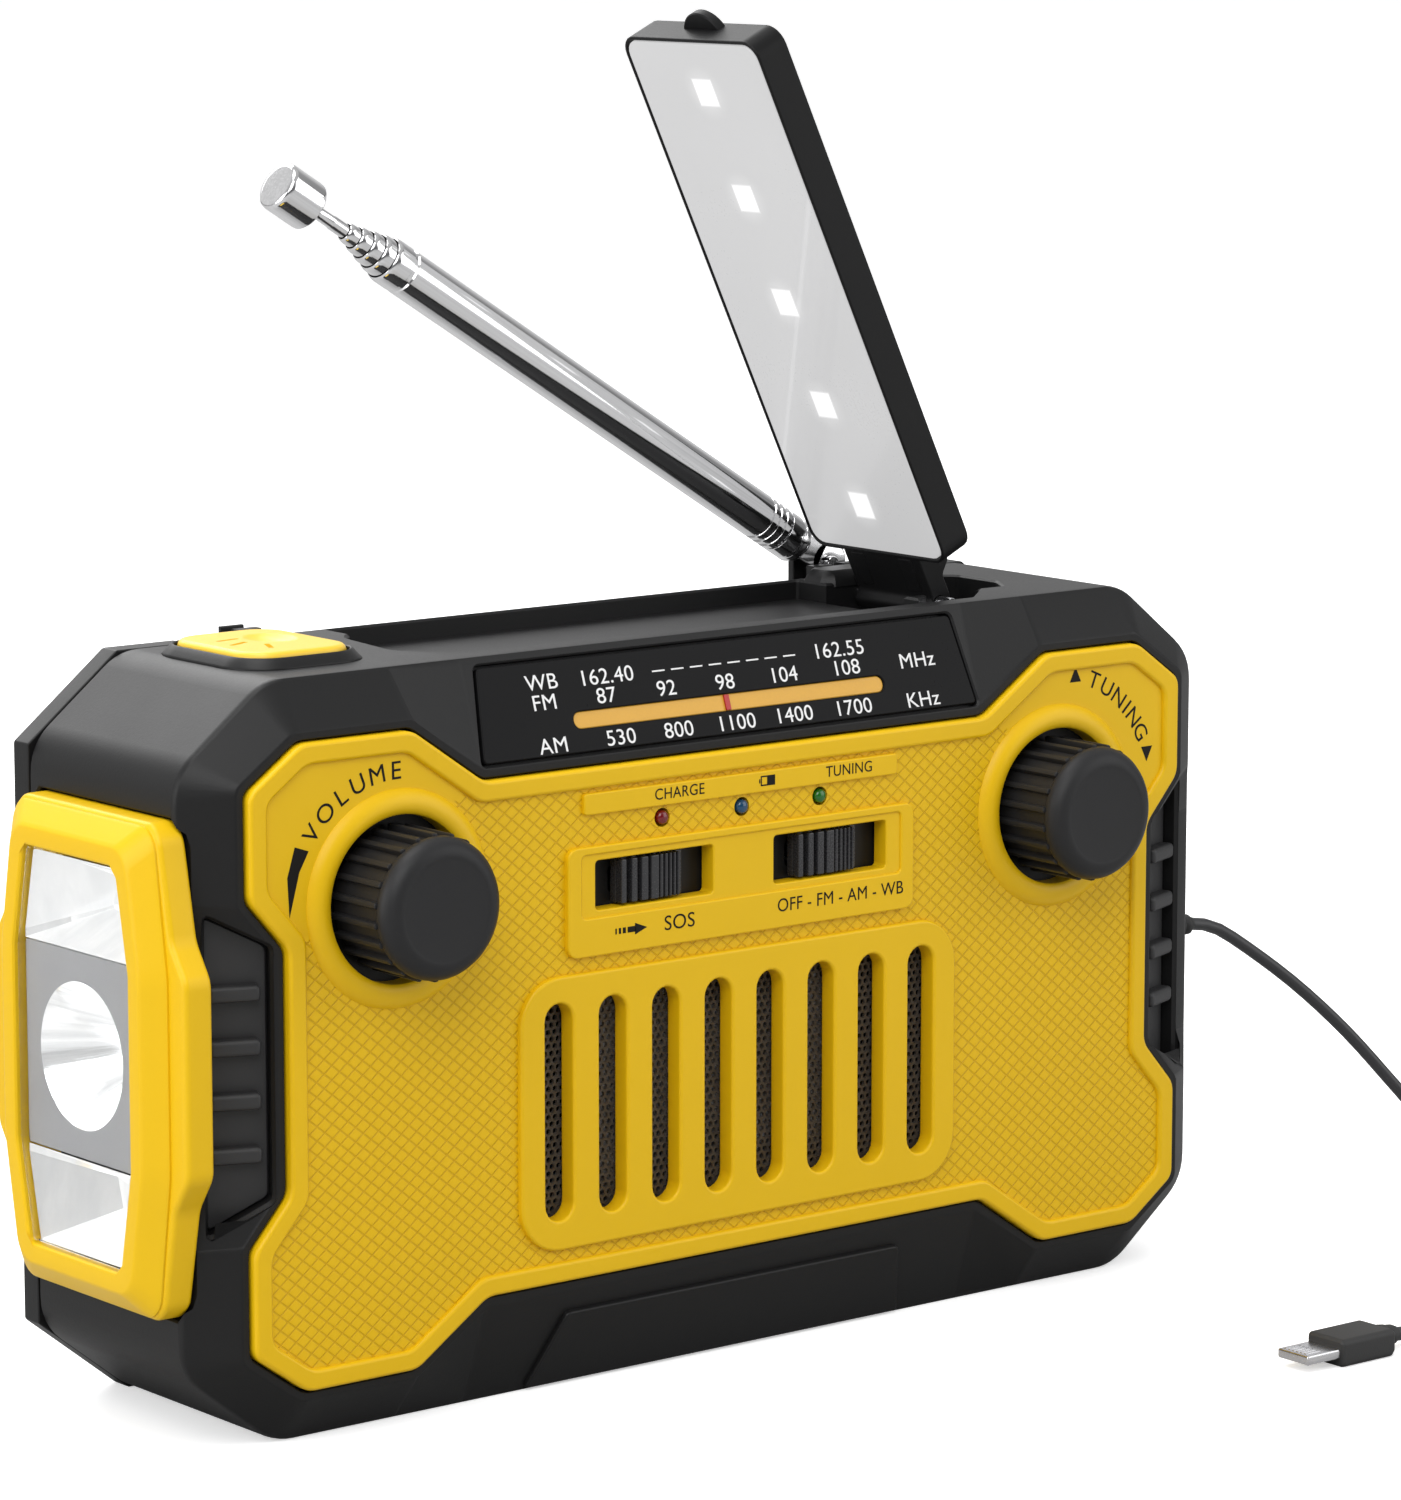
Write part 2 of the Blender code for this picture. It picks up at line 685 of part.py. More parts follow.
def cut_ports(body):
    place = at(END_X, PORT_Y, PORT_Z)
    gap = TOUCH_GAP
    cut(body, box(4 * WALL, PORT_WIDTH + 2 * gap, PORT_HEIGHT + 2 * gap, place), "usb_hole")
    sunk = 1.2 * MM
    place = at(END_X - sunk / 2 + EPS / 2, PORT_Y, COVER_Z)
    cut(body, box(sunk + EPS, COVER_WIDTH + 2 * gap, COVER_HEIGHT + 2 * gap, place), "cover_seat")
    place = at(END_X, PORT_Y, COVER_Z + 6 * MM)
    cut(body, box(4 * WALL, 8.0 * MM, 3.4 * MM, place), "charge_hole")
    turn = Matrix.Rotation(math.radians(90), 4, "Y")
    place = at(END_X, PORT_Y, COVER_Z - 6 * MM) @ turn
    cut(body, rod(3.2 * MM, 4 * WALL, 12, place), "jack_hole")


def grip_face(side):
    """A frame on the sloping side face: origin at mid height and mid width, +Y up, +Z outwards."""
    inner = Vector((side * (PANEL_WIDTH / 2 + PANEL_LIP - PANEL_WAIST_X), LIP_Y, CENTRE_Z))
    outer = Vector((side * END_X, RIDGE_Y, CENTRE_Z))
    across = (outer - inner).normalized() * side
    up = Vector((0, 0, 1))
    out = across.cross(up)
    frame = Matrix((across, up, out)).transposed().to_4x4()
    return Matrix.Translation(inner.lerp(outer, 0.385)) @ frame


def grip_outline(side, grow):
    half = GRIP_HALF_WIDTH + grow
    tall = GRIP_HALF_OUTER + grow
    short = GRIP_HALF_INNER + grow
    right, left = (tall, short) if side > 0 else (short, tall)
    return [(half, -right), (half, right), (-half, left), (-half, -left)]


def grip_solid(side, grow):
    """The recess that a grip insert sits in."""
    depth = GRIP_SUNK + grow + 2 * EPS
    place = grip_face(side) @ at(0, 0, depth / 2 - GRIP_SUNK - grow)
    return slab([grip_outline(side, grow)], depth, place)


def add_grips():
    base = 1.0 * MM
    for side, name in ((-1, "left_grip"), (1, "right_grip")):
        place = grip_face(side) @ at(0, 0, base / 2 - GRIP_SUNK)
        grip = show(slab([grip_outline(side, 0.0)], base, place), name, RUBBER)
        for index in range(GRIP_RIBS):
            offset = (index - (GRIP_RIBS - 1) / 2) * GRIP_PITCH
            height = GRIP_SUNK - 0.4 * MM
            place = grip_face(side) @ at(side * 0.6 * MM, offset, height / 2 - GRIP_SUNK + 0.2 * MM)
            rib = box(2 * GRIP_HALF_WIDTH - 1.6 * MM, GRIP_RIB_WIDTH, height, place)
            join(grip, rib, f"{name}_rib_{index}")


def add_rear_cover():
    """The back pan, with a step along its top edge where the antenna lies."""
    depth = REAR_COVER_DEPTH
    outline = housing_outline()
    mesh = bpy.data.meshes.new("pan")
    shape = bmesh.new()
    rings = []
    for inset, y in ((0.0, BACK_Y - depth), (0.0, BACK_Y - REAR_BEVEL), (REAR_BEVEL, BACK_Y)):
        rings.append([shape.verts.new((x, y, CENTRE_Z + z)) for x, z in housing_outline(inset)])
    for near, far in zip(rings, rings[1:]):
        for i in range(len(near)):
            j = (i + 1) % len(near)
            shape.faces.new((near[i], near[j], far[j], far[i]))
    shape.faces.new(rings[0])
    shape.faces.new(rings[-1])
    bmesh.ops.recalc_face_normals(shape, faces=shape.faces)
    shape.to_mesh(mesh)
    shape.free()
    cover = show(mesh, "rear_cover", BLACK)
    inside = depth - REAR_WALL
    hollow = slab(
        [[(x * 0.97, z * 0.90 - 1.2 * MM) for x, z in outline]],
        inside + EPS,
        at(0, BACK_Y - depth + (inside - EPS) / 2, CENTRE_Z) @ FRONT,
    )
    cut(cover, hollow, "rear_hollow")
    cut_torch_seat(cover, "rear_")
    step_z = ANTENNA.z - ANTENNA_TIP_RADIUS - TOUCH_GAP
    antenna_end = ANTENNA_TIP_START + ANTENNA_TIP_LENGTH + 1.0 * MM
    low = (ANTENNA_X - antenna_end, BACK_Y - depth - EPS, step_z)
    high = (ANTENNA_X + 9 * MM, BACK_Y + EPS, DECK_Z + EPS)
    cut(cover, span(low, high), "antenna_step")
    add_antenna_ears(cover, step_z)
    hub = rod(CRANK_HUB_RADIUS + 0.5 * MM, 4 * REAR_WALL, 20, at(CRANK_X, BACK_Y, CRANK_Z) @ FRONT)
    cut(cover, hub, "crank_hole")
    gap = TOUCH_GAP
    half_x = DOOR_WIDTH / 2
    half_z = DOOR_HEIGHT / 2
    door = box(DOOR_WIDTH + 2 * gap, 3.2 * MM, DOOR_HEIGHT + 2 * gap, at(BATTERY_X, BACK_Y, DOOR_Z))
    cut(cover, door, "door_seat")
    bay = span(
        (BATTERY_X - half_x + 3 * MM, BACK_Y - depth - EPS, DOOR_Z - half_z + 3 * MM),
        (BATTERY_X + half_x - 3 * MM, BACK_Y + EPS, DOOR_Z + half_z - 3 * MM),
    )
    cut(cover, bay, "battery_window")
    length = REAR_COVER_DEPTH + 2 * EPS
    for index, (x, z) in enumerate(screw_places()):
        place = at(x, BACK_Y - length / 2 + EPS, z) @ FRONT
        cut(cover, rod(SCREW_RADIUS + gap, length, 10, place), f"screw_hole_{index}")
        sink = rod(SCREW_HEAD_RADIUS + gap, 3.0 * MM, 12, at(x, BACK_Y, z) @ FRONT)
        cut(cover, sink, f"screw_sink_{index}")
    return cover


def clip_x():
    """Where the clip holds the folded antenna, just short of its tip."""
    return ANTENNA_X - ANTENNA_TIP_START + 3.0 * MM


def add_antenna_ears(cover, step_z):
    """Two ears that the antenna's eye turns between, and the clip that holds its far end."""
    half = TONGUE_THICKNESS / 2 + TOUCH_GAP
    front = (BACK_Y - REAR_COVER_DEPTH, ANTENNA_Y - half)
    rear = (ANTENNA_Y + half, ANTENNA_Y + half + 1.5 * MM)
    for name, (near, far), top in (("front_ear", front, ANTENNA.z), ("rear_ear", rear, ANTENNA.z + 3.2 * MM)):
        low = (ANTENNA_X - 5.0 * MM, near, step_z - 2 * MM)
        high = (ANTENNA_X + 5.0 * MM, far, top)
        join(cover, span(low, high), name)
    bore = rod(HINGE_PIN_RADIUS + RUN_GAP, 16 * MM, 12, at(*ANTENNA) @ FRONT)
    cut(cover, bore, "antenna_pin_bore")
    low = (clip_x() - 2.0 * MM, ANTENNA_Y - 3.4 * MM, step_z - 2 * MM)
    high = (clip_x() + 2.0 * MM, ANTENNA_Y + 2.2 * MM, ANTENNA.z - 0.6 * MM)
    join(cover, span(low, high), "antenna_clip")
    groove = span(
        (clip_x() - 3 * MM, ANTENNA_Y - 1.3 * MM, ANTENNA.z - 1.5 * MM),
        (clip_x() + 3 * MM, ANTENNA_Y + 1.3 * MM, ANTENNA.z + 4 * MM),
    )
    cut(cover, groove, "clip_groove")


def screw_places():
    return [(side * SCREW_X, z) for z in SCREW_Z for side in (-1, 1)]


def add_screws():
    for index, (x, z) in enumerate(screw_places()):
        head = rod(SCREW_HEAD_RADIUS, 1.2 * MM, 12, FRONT)
        screw = show(head, f"case_screw_{index + 1}", STEEL, at(x, BACK_Y - 0.8 * MM, z))
        shank = rod(SCREW_RADIUS, 8.0 * MM, 8, FRONT)
        join(screw, shank, f"screw_shank_{index}", at(x, BACK_Y - 5.0 * MM, z))


# ---------------------------------------------------------------- front panel
def speaker_slots(width=SLOT_WIDTH):
    loops = []
    for index in range(SLOT_COUNT):
        x = (index - (SLOT_COUNT - 1) / 2) * SLOT_PITCH
        loops.append(oblong(width, SLOT_TOP, SLOT_BOTTOM, x))
    return loops


def add_front_panel():
    place = at(0, PANEL_Y + PANEL_THICKNESS / 2, CENTRE_Z) @ FRONT
    panel = show(slab([panel_outline()], PANEL_THICKNESS, place), "front_panel", YELLOW)
    height = PAD_HEIGHT + 1.0 * MM
    pad = at(0, PANEL_Y - PAD_HEIGHT + height / 2, 0) @ FRONT
    speaker_z = (SPEAKER_PAD_TOP + SPEAKER_PAD_BOTTOM) / 2
    half_z = (SPEAKER_PAD_TOP - SPEAKER_PAD_BOTTOM) / 2
    outline = rounded_box(SPEAKER_PAD_HALF, half_z, SPEAKER_PAD_CORNER, 4, 0, speaker_z)
    join(panel, slab([outline], height, pad), "speaker_pad")
    outline = rounded_box(32.5 * MM, 7.9 * MM, 1.5 * MM, 2, 0, SWITCH_Z - 2.2 * MM)
    join(panel, slab([outline], height, pad), "switch_pad")
    outline = rounded_box(29.4 * MM, 1.6 * MM, 0.5 * MM, 1, 0, 85.4 * MM)
    join(panel, slab([outline], height, pad), "status_pad")
    for side in (-1, 1):
        ring = [circle(KNOB_HOLE_RADIUS + 2.4 * MM, 28, side * KNOB_X, KNOB_Z)]
        join(panel, slab(ring, height, pad), f"knob_ring_{side}")
    holes = [circle(KNOB_HOLE_RADIUS, 28, side * KNOB_X, KNOB_Z) for side in (-1, 1)]
    for side in (-1, 1):
        holes.append(
            rounded_box(SWITCH_SLOT / 2, SWITCH_HEIGHT / 2, 0.4 * MM, 1, side * SWITCH_X, SWITCH_Z)
        )
    holes += [circle(LED_RADIUS + TOUCH_GAP, 12, i * LED_X, LED_Z) for i in (-1, 0, 1)]
    holes += speaker_slots()
    deep = PANEL_THICKNESS + 4 * EPS
    cut(panel, slab(holes, deep, at(0, PANEL_Y + PANEL_THICKNESS / 2, 0) @ FRONT), "panel_holes")
    return panel


def add_dial():
    slope, _ = dial_slope()
    lift = -DIAL_THICKNESS / 2
    half = DIAL_SLOT_HEIGHT / 2
    slot = rounded_box(DIAL_SLOT_LENGTH / 2, half, half * 0.95, 3, 0, DIAL_SLOT_RISE)
    place = slope @ at(0, 0, lift)
    window = show(slab([dial_outline()], DIAL_THICKNESS, place), "dial_window", GLOSS_BLACK)
    deep = 0.9 * MM
    cut(window, slab([slot], deep + EPS, slope @ at(0, 0, (EPS - deep) / 2)), "dial_slot")
    needle = box(1.5 * MM, DIAL_SLOT_HEIGHT - 2 * TOUCH_GAP, 0.3 * MM)
    place = slope @ at(0, DIAL_SLOT_RISE, -0.25 * MM)
    show(needle, "dial_pointer", ((0.5, 0.02, 0.02), 0.35), place)


def ribbed(radius, ribs, depth):
    """A round outline with raised ribs."""
    points = []
    for index in range(ribs):
        for share, r in ((0.0, radius), (0.45, radius), (0.58, radius - depth), (0.87, radius - depth)):
            angle = 2 * math.pi * (index + share) / ribs
            points.append((r * math.cos(angle), r * math.sin(angle)))
    return points


def add_knob(name, side):
    """A ribbed knob whose origin lies on its own axis, at the back of its skirt."""
    back = PANEL_BACK_Y - TOUCH_GAP
    axis = pivot(f"{name}_axis", (side * KNOB_X, back, KNOB_Z))
    length = back - (PANEL_Y - KNOB_PROUD)
    barrel = length - KNOB_CAP
    mesh = slab([ribbed(KNOB_RADIUS, KNOB_RIBS, KNOB_RIB_DEPTH)], barrel, at(0, -barrel / 2, 0) @ FRONT)
    knob = show(mesh, name, BLACK, parent=axis)
    edge = KNOB_RADIUS - KNOB_RIB_DEPTH - 0.05 * MM
    cap = [
        (0.0, KNOB_CAP),
        (edge - 2.2 * MM, KNOB_CAP),
        (edge - 0.9 * MM, KNOB_CAP - 0.5 * MM),
        (edge, KNOB_CAP - 1.9 * MM),
        (edge, -0.4 * MM),
        (0.0, -0.4 * MM),
    ]
    join(knob, turned(cap, 24, at(0, -barrel, 0) @ FRONT), f"{name}_cap", parent=axis)
    shaft = rod(SHAFT_RADIUS, SHAFT_LENGTH, 12, at(0, SHAFT_LENGTH / 2 - SHAFT_GRIP, 0) @ FRONT)
    join(knob, shaft, f"{name}_shaft", parent=axis)


def add_controls():
    add_knob("volume_knob", -1)
    add_knob("tuning_knob", 1)
    inside = PANEL_BACK_Y + SHAFT_LENGTH - SHAFT_GRIP
    pot = rod(8.0 * MM, 8.0 * MM, 16, at(-KNOB_X, inside + 4.0 * MM, KNOB_Z) @ FRONT)
    show(pot, "volume_potentiometer", STEEL)
    show(
        box(20 * MM, 11 * MM, 20 * MM), "tuning_capacitor", WHITE, at(KNOB_X, inside + 5.5 * MM, KNOB_Z)
    )
    for side, name in ((-1, "torch_switch"), (1, "band_switch")):
        add_slider(name, side)
    for index, name in ((-1, "charge_led"), (0, "power_led"), (1, "tuning_led")):
        colours = {-1: (0.5, 0.01, 0.02), 0: (0.02, 0.15, 0.4), 1: (0.02, 0.3, 0.05)}
        front = PANEL_Y - 0.4 * MM
        back = CAVITY_Y + 2.0 * MM
        place = at(index * LED_X, (front + back) / 2, LED_Z)
        show(rod(LED_RADIUS, back - front, 12, FRONT), name, (colours[index], 0.2), place)


def add_slider(name, side):
    """A slide switch's ridged knob, with its stem through the housing."""
    front = PANEL_Y - 0.1 * MM
    back = RECESS_Y - TOUCH_GAP
    height = SWITCH_HEIGHT - 2 * TOUCH_GAP
    origin = pivot(f"{name}_slide", (side * SWITCH_X, 0, SWITCH_Z))
    slider = show(
        span((-SLIDER_LENGTH / 2, front, -height / 2), (SLIDER_LENGTH / 2, back, height / 2)),
        f"{name}_slider",
        BLACK,
        parent=origin,
    )
    stem = span((-2 * MM, back - 0.5 * MM, -1.6 * MM), (2 * MM, CAVITY_Y, 1.6 * MM))
    join(slider, stem, f"{name}_stem", parent=origin)
    for index in range(5):
        x = (index - 2) * 1.6 * MM
        groove = span((x - 0.4 * MM, front - EPS, -height), (x + 0.4 * MM, front + 0.8 * MM, height))
        cut(slider, groove, f"{name}_groove_{index}", parent=origin)


def add_speaker():
    speaker_z = (SPEAKER_PAD_TOP + SPEAKER_PAD_BOTTOM) / 2
    half_z = (SPEAKER_PAD_TOP - SPEAKER_PAD_BOTTOM) / 2
    gap = 2 * MM + TOUCH_GAP
    corner = SPEAKER_PAD_CORNER - TOUCH_GAP
    outline = rounded_box(SPEAKER_PAD_HALF - gap, half_z - gap, corner, 3, 0, speaker_z)
    place = at(0, RECESS_Y + 0.3 * MM, 0) @ FRONT
    show(slab([outline], 0.6 * MM, place), "speaker_mesh", ((0.07, 0.06, 0.055), 0.6))
    r = SPEAKER_RADIUS
    frame = [
        (0.0, -4 * MM),
        (MAGNET_RADIUS - 1.0 * MM, -4 * MM),
        (r - 6 * MM, 3.0 * MM),
        (r - 6 * MM, 6 * MM),
        (r, 6 * MM),
        (r, 4.5 * MM),
        (r - 2 * MM, 4.0 * MM),
        (MAGNET_RADIUS, -5 * MM),
        (MAGNET_RADIUS, -12 * MM),
        (0.0, -12 * MM),
    ]
    front = CAVITY_Y + TOUCH_GAP
    place = at(0, front + 6 * MM, speaker_z) @ FRONT
    show(turned(frame, 24, place), "speaker", STEEL)


# ---------------------------------------------------------------- torch
def add_torch():
    inner = -END_X + TORCH_SUNK - TOUCH_GAP
    flange = -END_X - TORCH_FLANGE_PROUD
    face = -END_X - TORCH_PROUD
    thickness = inner - flange
    outline = torch_outline(TORCH_FRAME + TORCH_FLANGE, TORCH_TAB)
    place = at((inner + flange) / 2, TORCH_Y, TORCH_Z) @ SIDE
    bezel = show(slab([outline], thickness, place), "torch_bezel", YELLOW)
    height = flange - face + 1.0 * MM
    place = at(face + height / 2, TORCH_Y, TORCH_Z) @ SIDE
    join(bezel, slab([torch_outline(TORCH_FRAME)], height, place), "torch_frame")
    place = at(-END_X, TORCH_Y, TORCH_Z) @ SIDE
    cut(bezel, slab([torch_outline(0.0)], 40 * MM, place), "torch_mouth")
    lens_x = face + LENS_SUNK + LENS_THICKNESS
    place = at(lens_x - LENS_THICKNESS / 2, TORCH_Y, TORCH_Z) @ SIDE
    show(slab([torch_outline(-TOUCH_GAP)], LENS_THICKNESS, place), "torch_lens", ((0.8, 0.82, 0.84), 0.05))
    depth = REFLECTOR_DEPTH
    start = lens_x + TOUCH_GAP
    place = at(start + depth / 2, TORCH_Y, TORCH_Z) @ SIDE
    reflector = show(slab([torch_outline(-TOUCH_GAP)], depth, place), "torch_reflector", CHROME)
    turn = Matrix.Rotation(math.radians(90), 4, "Y")
    cup = rod(REFLECTOR_MOUTH, depth, 20, at(start + depth / 2 - EPS, TORCH_Y, TORCH_Z) @ turn, end_radius=2.4 * MM)
    cut(reflector, cup, "torch_cup")
    eye = rod(2.2 * MM, 2 * depth, 12, at(start + depth / 2, TORCH_Y, TORCH_Z) @ turn)
    cut(reflector, eye, "torch_led_hole")
    corner_up = Matrix.Rotation(math.radians(45), 4, "Z")
    for side in (-1, 1):
        place = at(start + 6 * MM - EPS, TORCH_Y, TORCH_Z + side * 20.5 * MM) @ turn @ corner_up
        pocket = rod(13.5 * MM, 14 * MM, 4, place, end_radius=6.0 * MM)
        shape = bmesh.new()
        shape.from_mesh(pocket)
        centre = Vector((0, TORCH_Y, TORCH_Z + side * 20.5 * MM))
        squash = Matrix.Translation(centre) @ Matrix.Diagonal((1, 1, 0.62, 1)) @ Matrix.Translation(-centre)
        shape.transform(squash)
        shape.to_mesh(pocket)
        shape.free()
        cut(reflector, pocket, f"torch_pocket_{side}")
    board_x = start + depth + TOUCH_GAP + 0.8 * MM
    place = at(board_x, TORCH_Y, TORCH_Z) @ SIDE
    board = show(slab([torch_outline(-1.0 * MM)], 1.6 * MM, place), "torch_led_board", GREEN_BOARD)
    led = rod(1.7 * MM, 3.0 * MM, 12, at(board_x - 2.0 * MM, TORCH_Y, TORCH_Z) @ turn)
    join(board, led, "torch_led")


# ---------------------------------------------------------------- top
def add_light_button():
    seat = DECK_Z - RING_SEAT + TOUCH_GAP
    top = DECK_Z + BUTTON_PROUD - 0.4 * MM
    grow = BUTTON_RING - 0.4 * MM - TOUCH_GAP
    outer = rounded_box(BUTTON_WIDTH / 2 + grow, BUTTON_LENGTH / 2 + grow, BUTTON_CORNER + 0.8 * MM, 3)
    inner = rounded_box(BUTTON_WIDTH / 2 + TOUCH_GAP, BUTTON_LENGTH / 2 + TOUCH_GAP, BUTTON_CORNER, 3)
    place = at(BUTTON_X, BUTTON_Y, (seat + top) / 2)
    show(slab([outer, inner], top - seat), "button_ring", BLACK, place)
    low = seat + BUTTON_TRAVEL + 0.4 * MM
    high = DECK_Z + BUTTON_PROUD
    cap = rounded_box(BUTTON_WIDTH / 2, BUTTON_LENGTH / 2, BUTTON_CORNER, 4)
    button = show(slab([cap], high - low), "light_button", YELLOW, at(BUTTON_X, BUTTON_Y, (low + high) / 2))
    stem_low = DECK_Z - DECK_THICKNESS - 1.0 * MM
    stem = rod(2.2 * MM, low + 0.5 * MM - stem_low, 12)
    join(button, stem, "button_stem", at(BUTTON_X, BUTTON_Y, (low + 0.5 * MM + stem_low) / 2))


def add_lamp():
    """The folding lamp in its own frame: +Z along it, its light face to -X, the hinge pin at the origin."""
    hinge = pivot("lamp_hinge", HINGE, (0, -LAMP_LEAN, 0))
    face = -HINGE_TO_FACE
    back = face + LAMP_THICKNESS
    low = HINGE_TO_LAMP
    middle = at((face + back) / 2, 0, low + LAMP_LENGTH / 2)
    upright = Matrix.Rotation(math.radians(90), 4, "Z") @ FRONT
    outline = rounded_box(LAMP_WIDTH / 2, LAMP_LENGTH / 2, LAMP_CORNER, 3)
    case = show(slab([outline], LAMP_THICKNESS, middle @ upright), "lamp_case", BLACK, parent=hinge)
    neck = span((face, -NECK_WIDTH / 2, 0), (back, NECK_WIDTH / 2, low + 1.0 * MM))
    join(case, neck, "lamp_neck", parent=hinge)
    knuckle = rod(KNUCKLE_RADIUS, NECK_WIDTH, 16, FRONT)
    join(case, knuckle, "lamp_knuckle", parent=hinge)
    relief = span(
        (KNUCKLE_RADIUS, -NECK_WIDTH, -1.0 * MM), (back + EPS, NECK_WIDTH, low - 4.5 * MM)
    )
    cut(case, relief, "neck_relief", parent=hinge)
    cut(case, rod(HINGE_PIN_RADIUS + RUN_GAP, 2 * NECK_WIDTH, 12, FRONT), "knuckle_bore", parent=hinge)
    along = Matrix.Rotation(math.radians(90), 4, "Y")
    tab = rod(4.6 * MM, 1.6 * MM, 16, at(back - 1.6 * MM, 0, low + LAMP_LENGTH - 2.0 * MM) @ along)
    join(case, tab, "latch_tab", parent=hinge)
    inner = rounded_box(LAMP_WIDTH / 2 - LAMP_RIM, LAMP_LENGTH / 2 - LAMP_RIM, LAMP_CORNER - LAMP_RIM, 3)
    cut(case, slab([inner], 2 * LAMP_THICKNESS, middle @ upright), "lamp_window", parent=hinge)
    plate = rounded_box(
        LAMP_WIDTH / 2 - LAMP_RIM - TOUCH_GAP,
        LAMP_LENGTH / 2 - LAMP_RIM - TOUCH_GAP,
        LAMP_CORNER - LAMP_RIM - TOUCH_GAP,
        3,
    )
    for name, x, thickness, look in (
        ("lamp_diffuser", face + 0.6 * MM, 1.2 * MM, WHITE),
        ("lamp_led_strip", face + 2.7 * MM, 0.8 * MM, WHITE),
        ("solar_panel", back - 0.8 * MM, 1.4 * MM, ((0.01, 0.015, 0.05), 0.15)),
    ):
        place = at(x, 0, low + LAMP_LENGTH / 2) @ upright
        piece = show(slab([plate], thickness, place), name, look, parent=hinge)
        if name == "lamp_led_strip":
            for index in range(5):
                z = low + LAMP_LENGTH * (index + 0.5) / 5
                led = box(0.9 * MM, 4.4 * MM, 4.4 * MM, at(x - 0.7 * MM, 0, z))
                join(piece, led, f"lamp_led_{index}", parent=hinge)
    pin = rod(HINGE_PIN_RADIUS, NECK_WIDTH + 6 * MM, 12, FRONT)
    show(pin, "lamp_hinge_pin", STEEL, at(*HINGE))


def add_antenna():
    """The telescopic antenna in its own frame: +Z along it, the pivot at the origin."""
    tilt = pivot("antenna_tilt", ANTENNA, (0, ANTENNA_LIFT - math.radians(90), 0))
    eye = [circle(EYE_RADIUS, 20)]
    base = show(
        slab(eye, TONGUE_THICKNESS, FRONT), "antenna_base", CHROME, parent=tilt
    )
    join(
        base,
        span((-2.4 * MM, -TONGUE_THICKNESS / 2, 0), (2.4 * MM, TONGUE_THICKNESS / 2, ANTENNA_START)),
        "antenna_tongue",
        parent=tilt,
    )
    collar = [
        (0.0, 3.0 * MM),
        (ANTENNA_RADIUS, 3.0 * MM),
        (ANTENNA_RADIUS, -0.8 * MM),
        (ANTENNA_RADIUS - 1.0 * MM, -2.4 * MM),
        (0.0, -2.4 * MM),
    ]
    join(base, turned(collar, 16, at(0, 0, ANTENNA_START - 0.6 * MM)), "antenna_collar", parent=tilt)
    pin = rod(HINGE_PIN_RADIUS, TONGUE_THICKNESS + 2.4 * MM, 12, FRONT)
    join(base, pin, "antenna_pivot_pin", parent=tilt)
    start = ANTENNA_START + 2.4 * MM + TOUCH_GAP
    step = ANTENNA_WALL + RUN_GAP
    for index in range(ANTENNA_SECTIONS + 1):
        outer = ANTENNA_RADIUS - index * step
        end = ANTENNA_END + index * ANTENNA_STEP
        low = start + index * 0.6 * MM
        tube = hollow_rod(outer, outer - ANTENNA_WALL, end - low, 16, at(0, 0, (low + end) / 2))
        name = "antenna_tube" if index == 0 else f"antenna_section_{index}"
        show(tube, name, CHROME, parent=tilt)
    thin = ANTENNA_RADIUS - (ANTENNA_SECTIONS + 1) * step
    low = start + (ANTENNA_SECTIONS + 1) * 0.6 * MM
    top = ANTENNA_TIP_START + 1.0 * MM
    wire = show(rod(thin, top - low, 12, at(0, 0, (low + top) / 2)), "antenna_tip", CHROME, parent=tilt)
    place = at(0, 0, ANTENNA_TIP_START + ANTENNA_TIP_LENGTH / 2)
    tip = rod(ANTENNA_TIP_RADIUS, ANTENNA_TIP_LENGTH, 20, place)
    join(wire, tip, "antenna_cap", parent=tilt)


# ---------------------------------------------------------------- crank and generator
def gear_outline(teeth, module, phase=0.0):
    """A plain gear outline with sloping teeth and clearance at their roots."""
    pitch = teeth * module / 2
    tip = pitch + 0.85 * module
    root = pitch - 1.15 * module
    points = []
    for index in range(teeth):
        for share, r in ((-0.36, root), (-0.30, root), (-0.12, tip), (0.12, tip), (0.30, root)):
            angle = 2 * math.pi * (index + share + phase) / teeth
            points.append((r * math.cos(angle), r * math.sin(angle)))
    return points


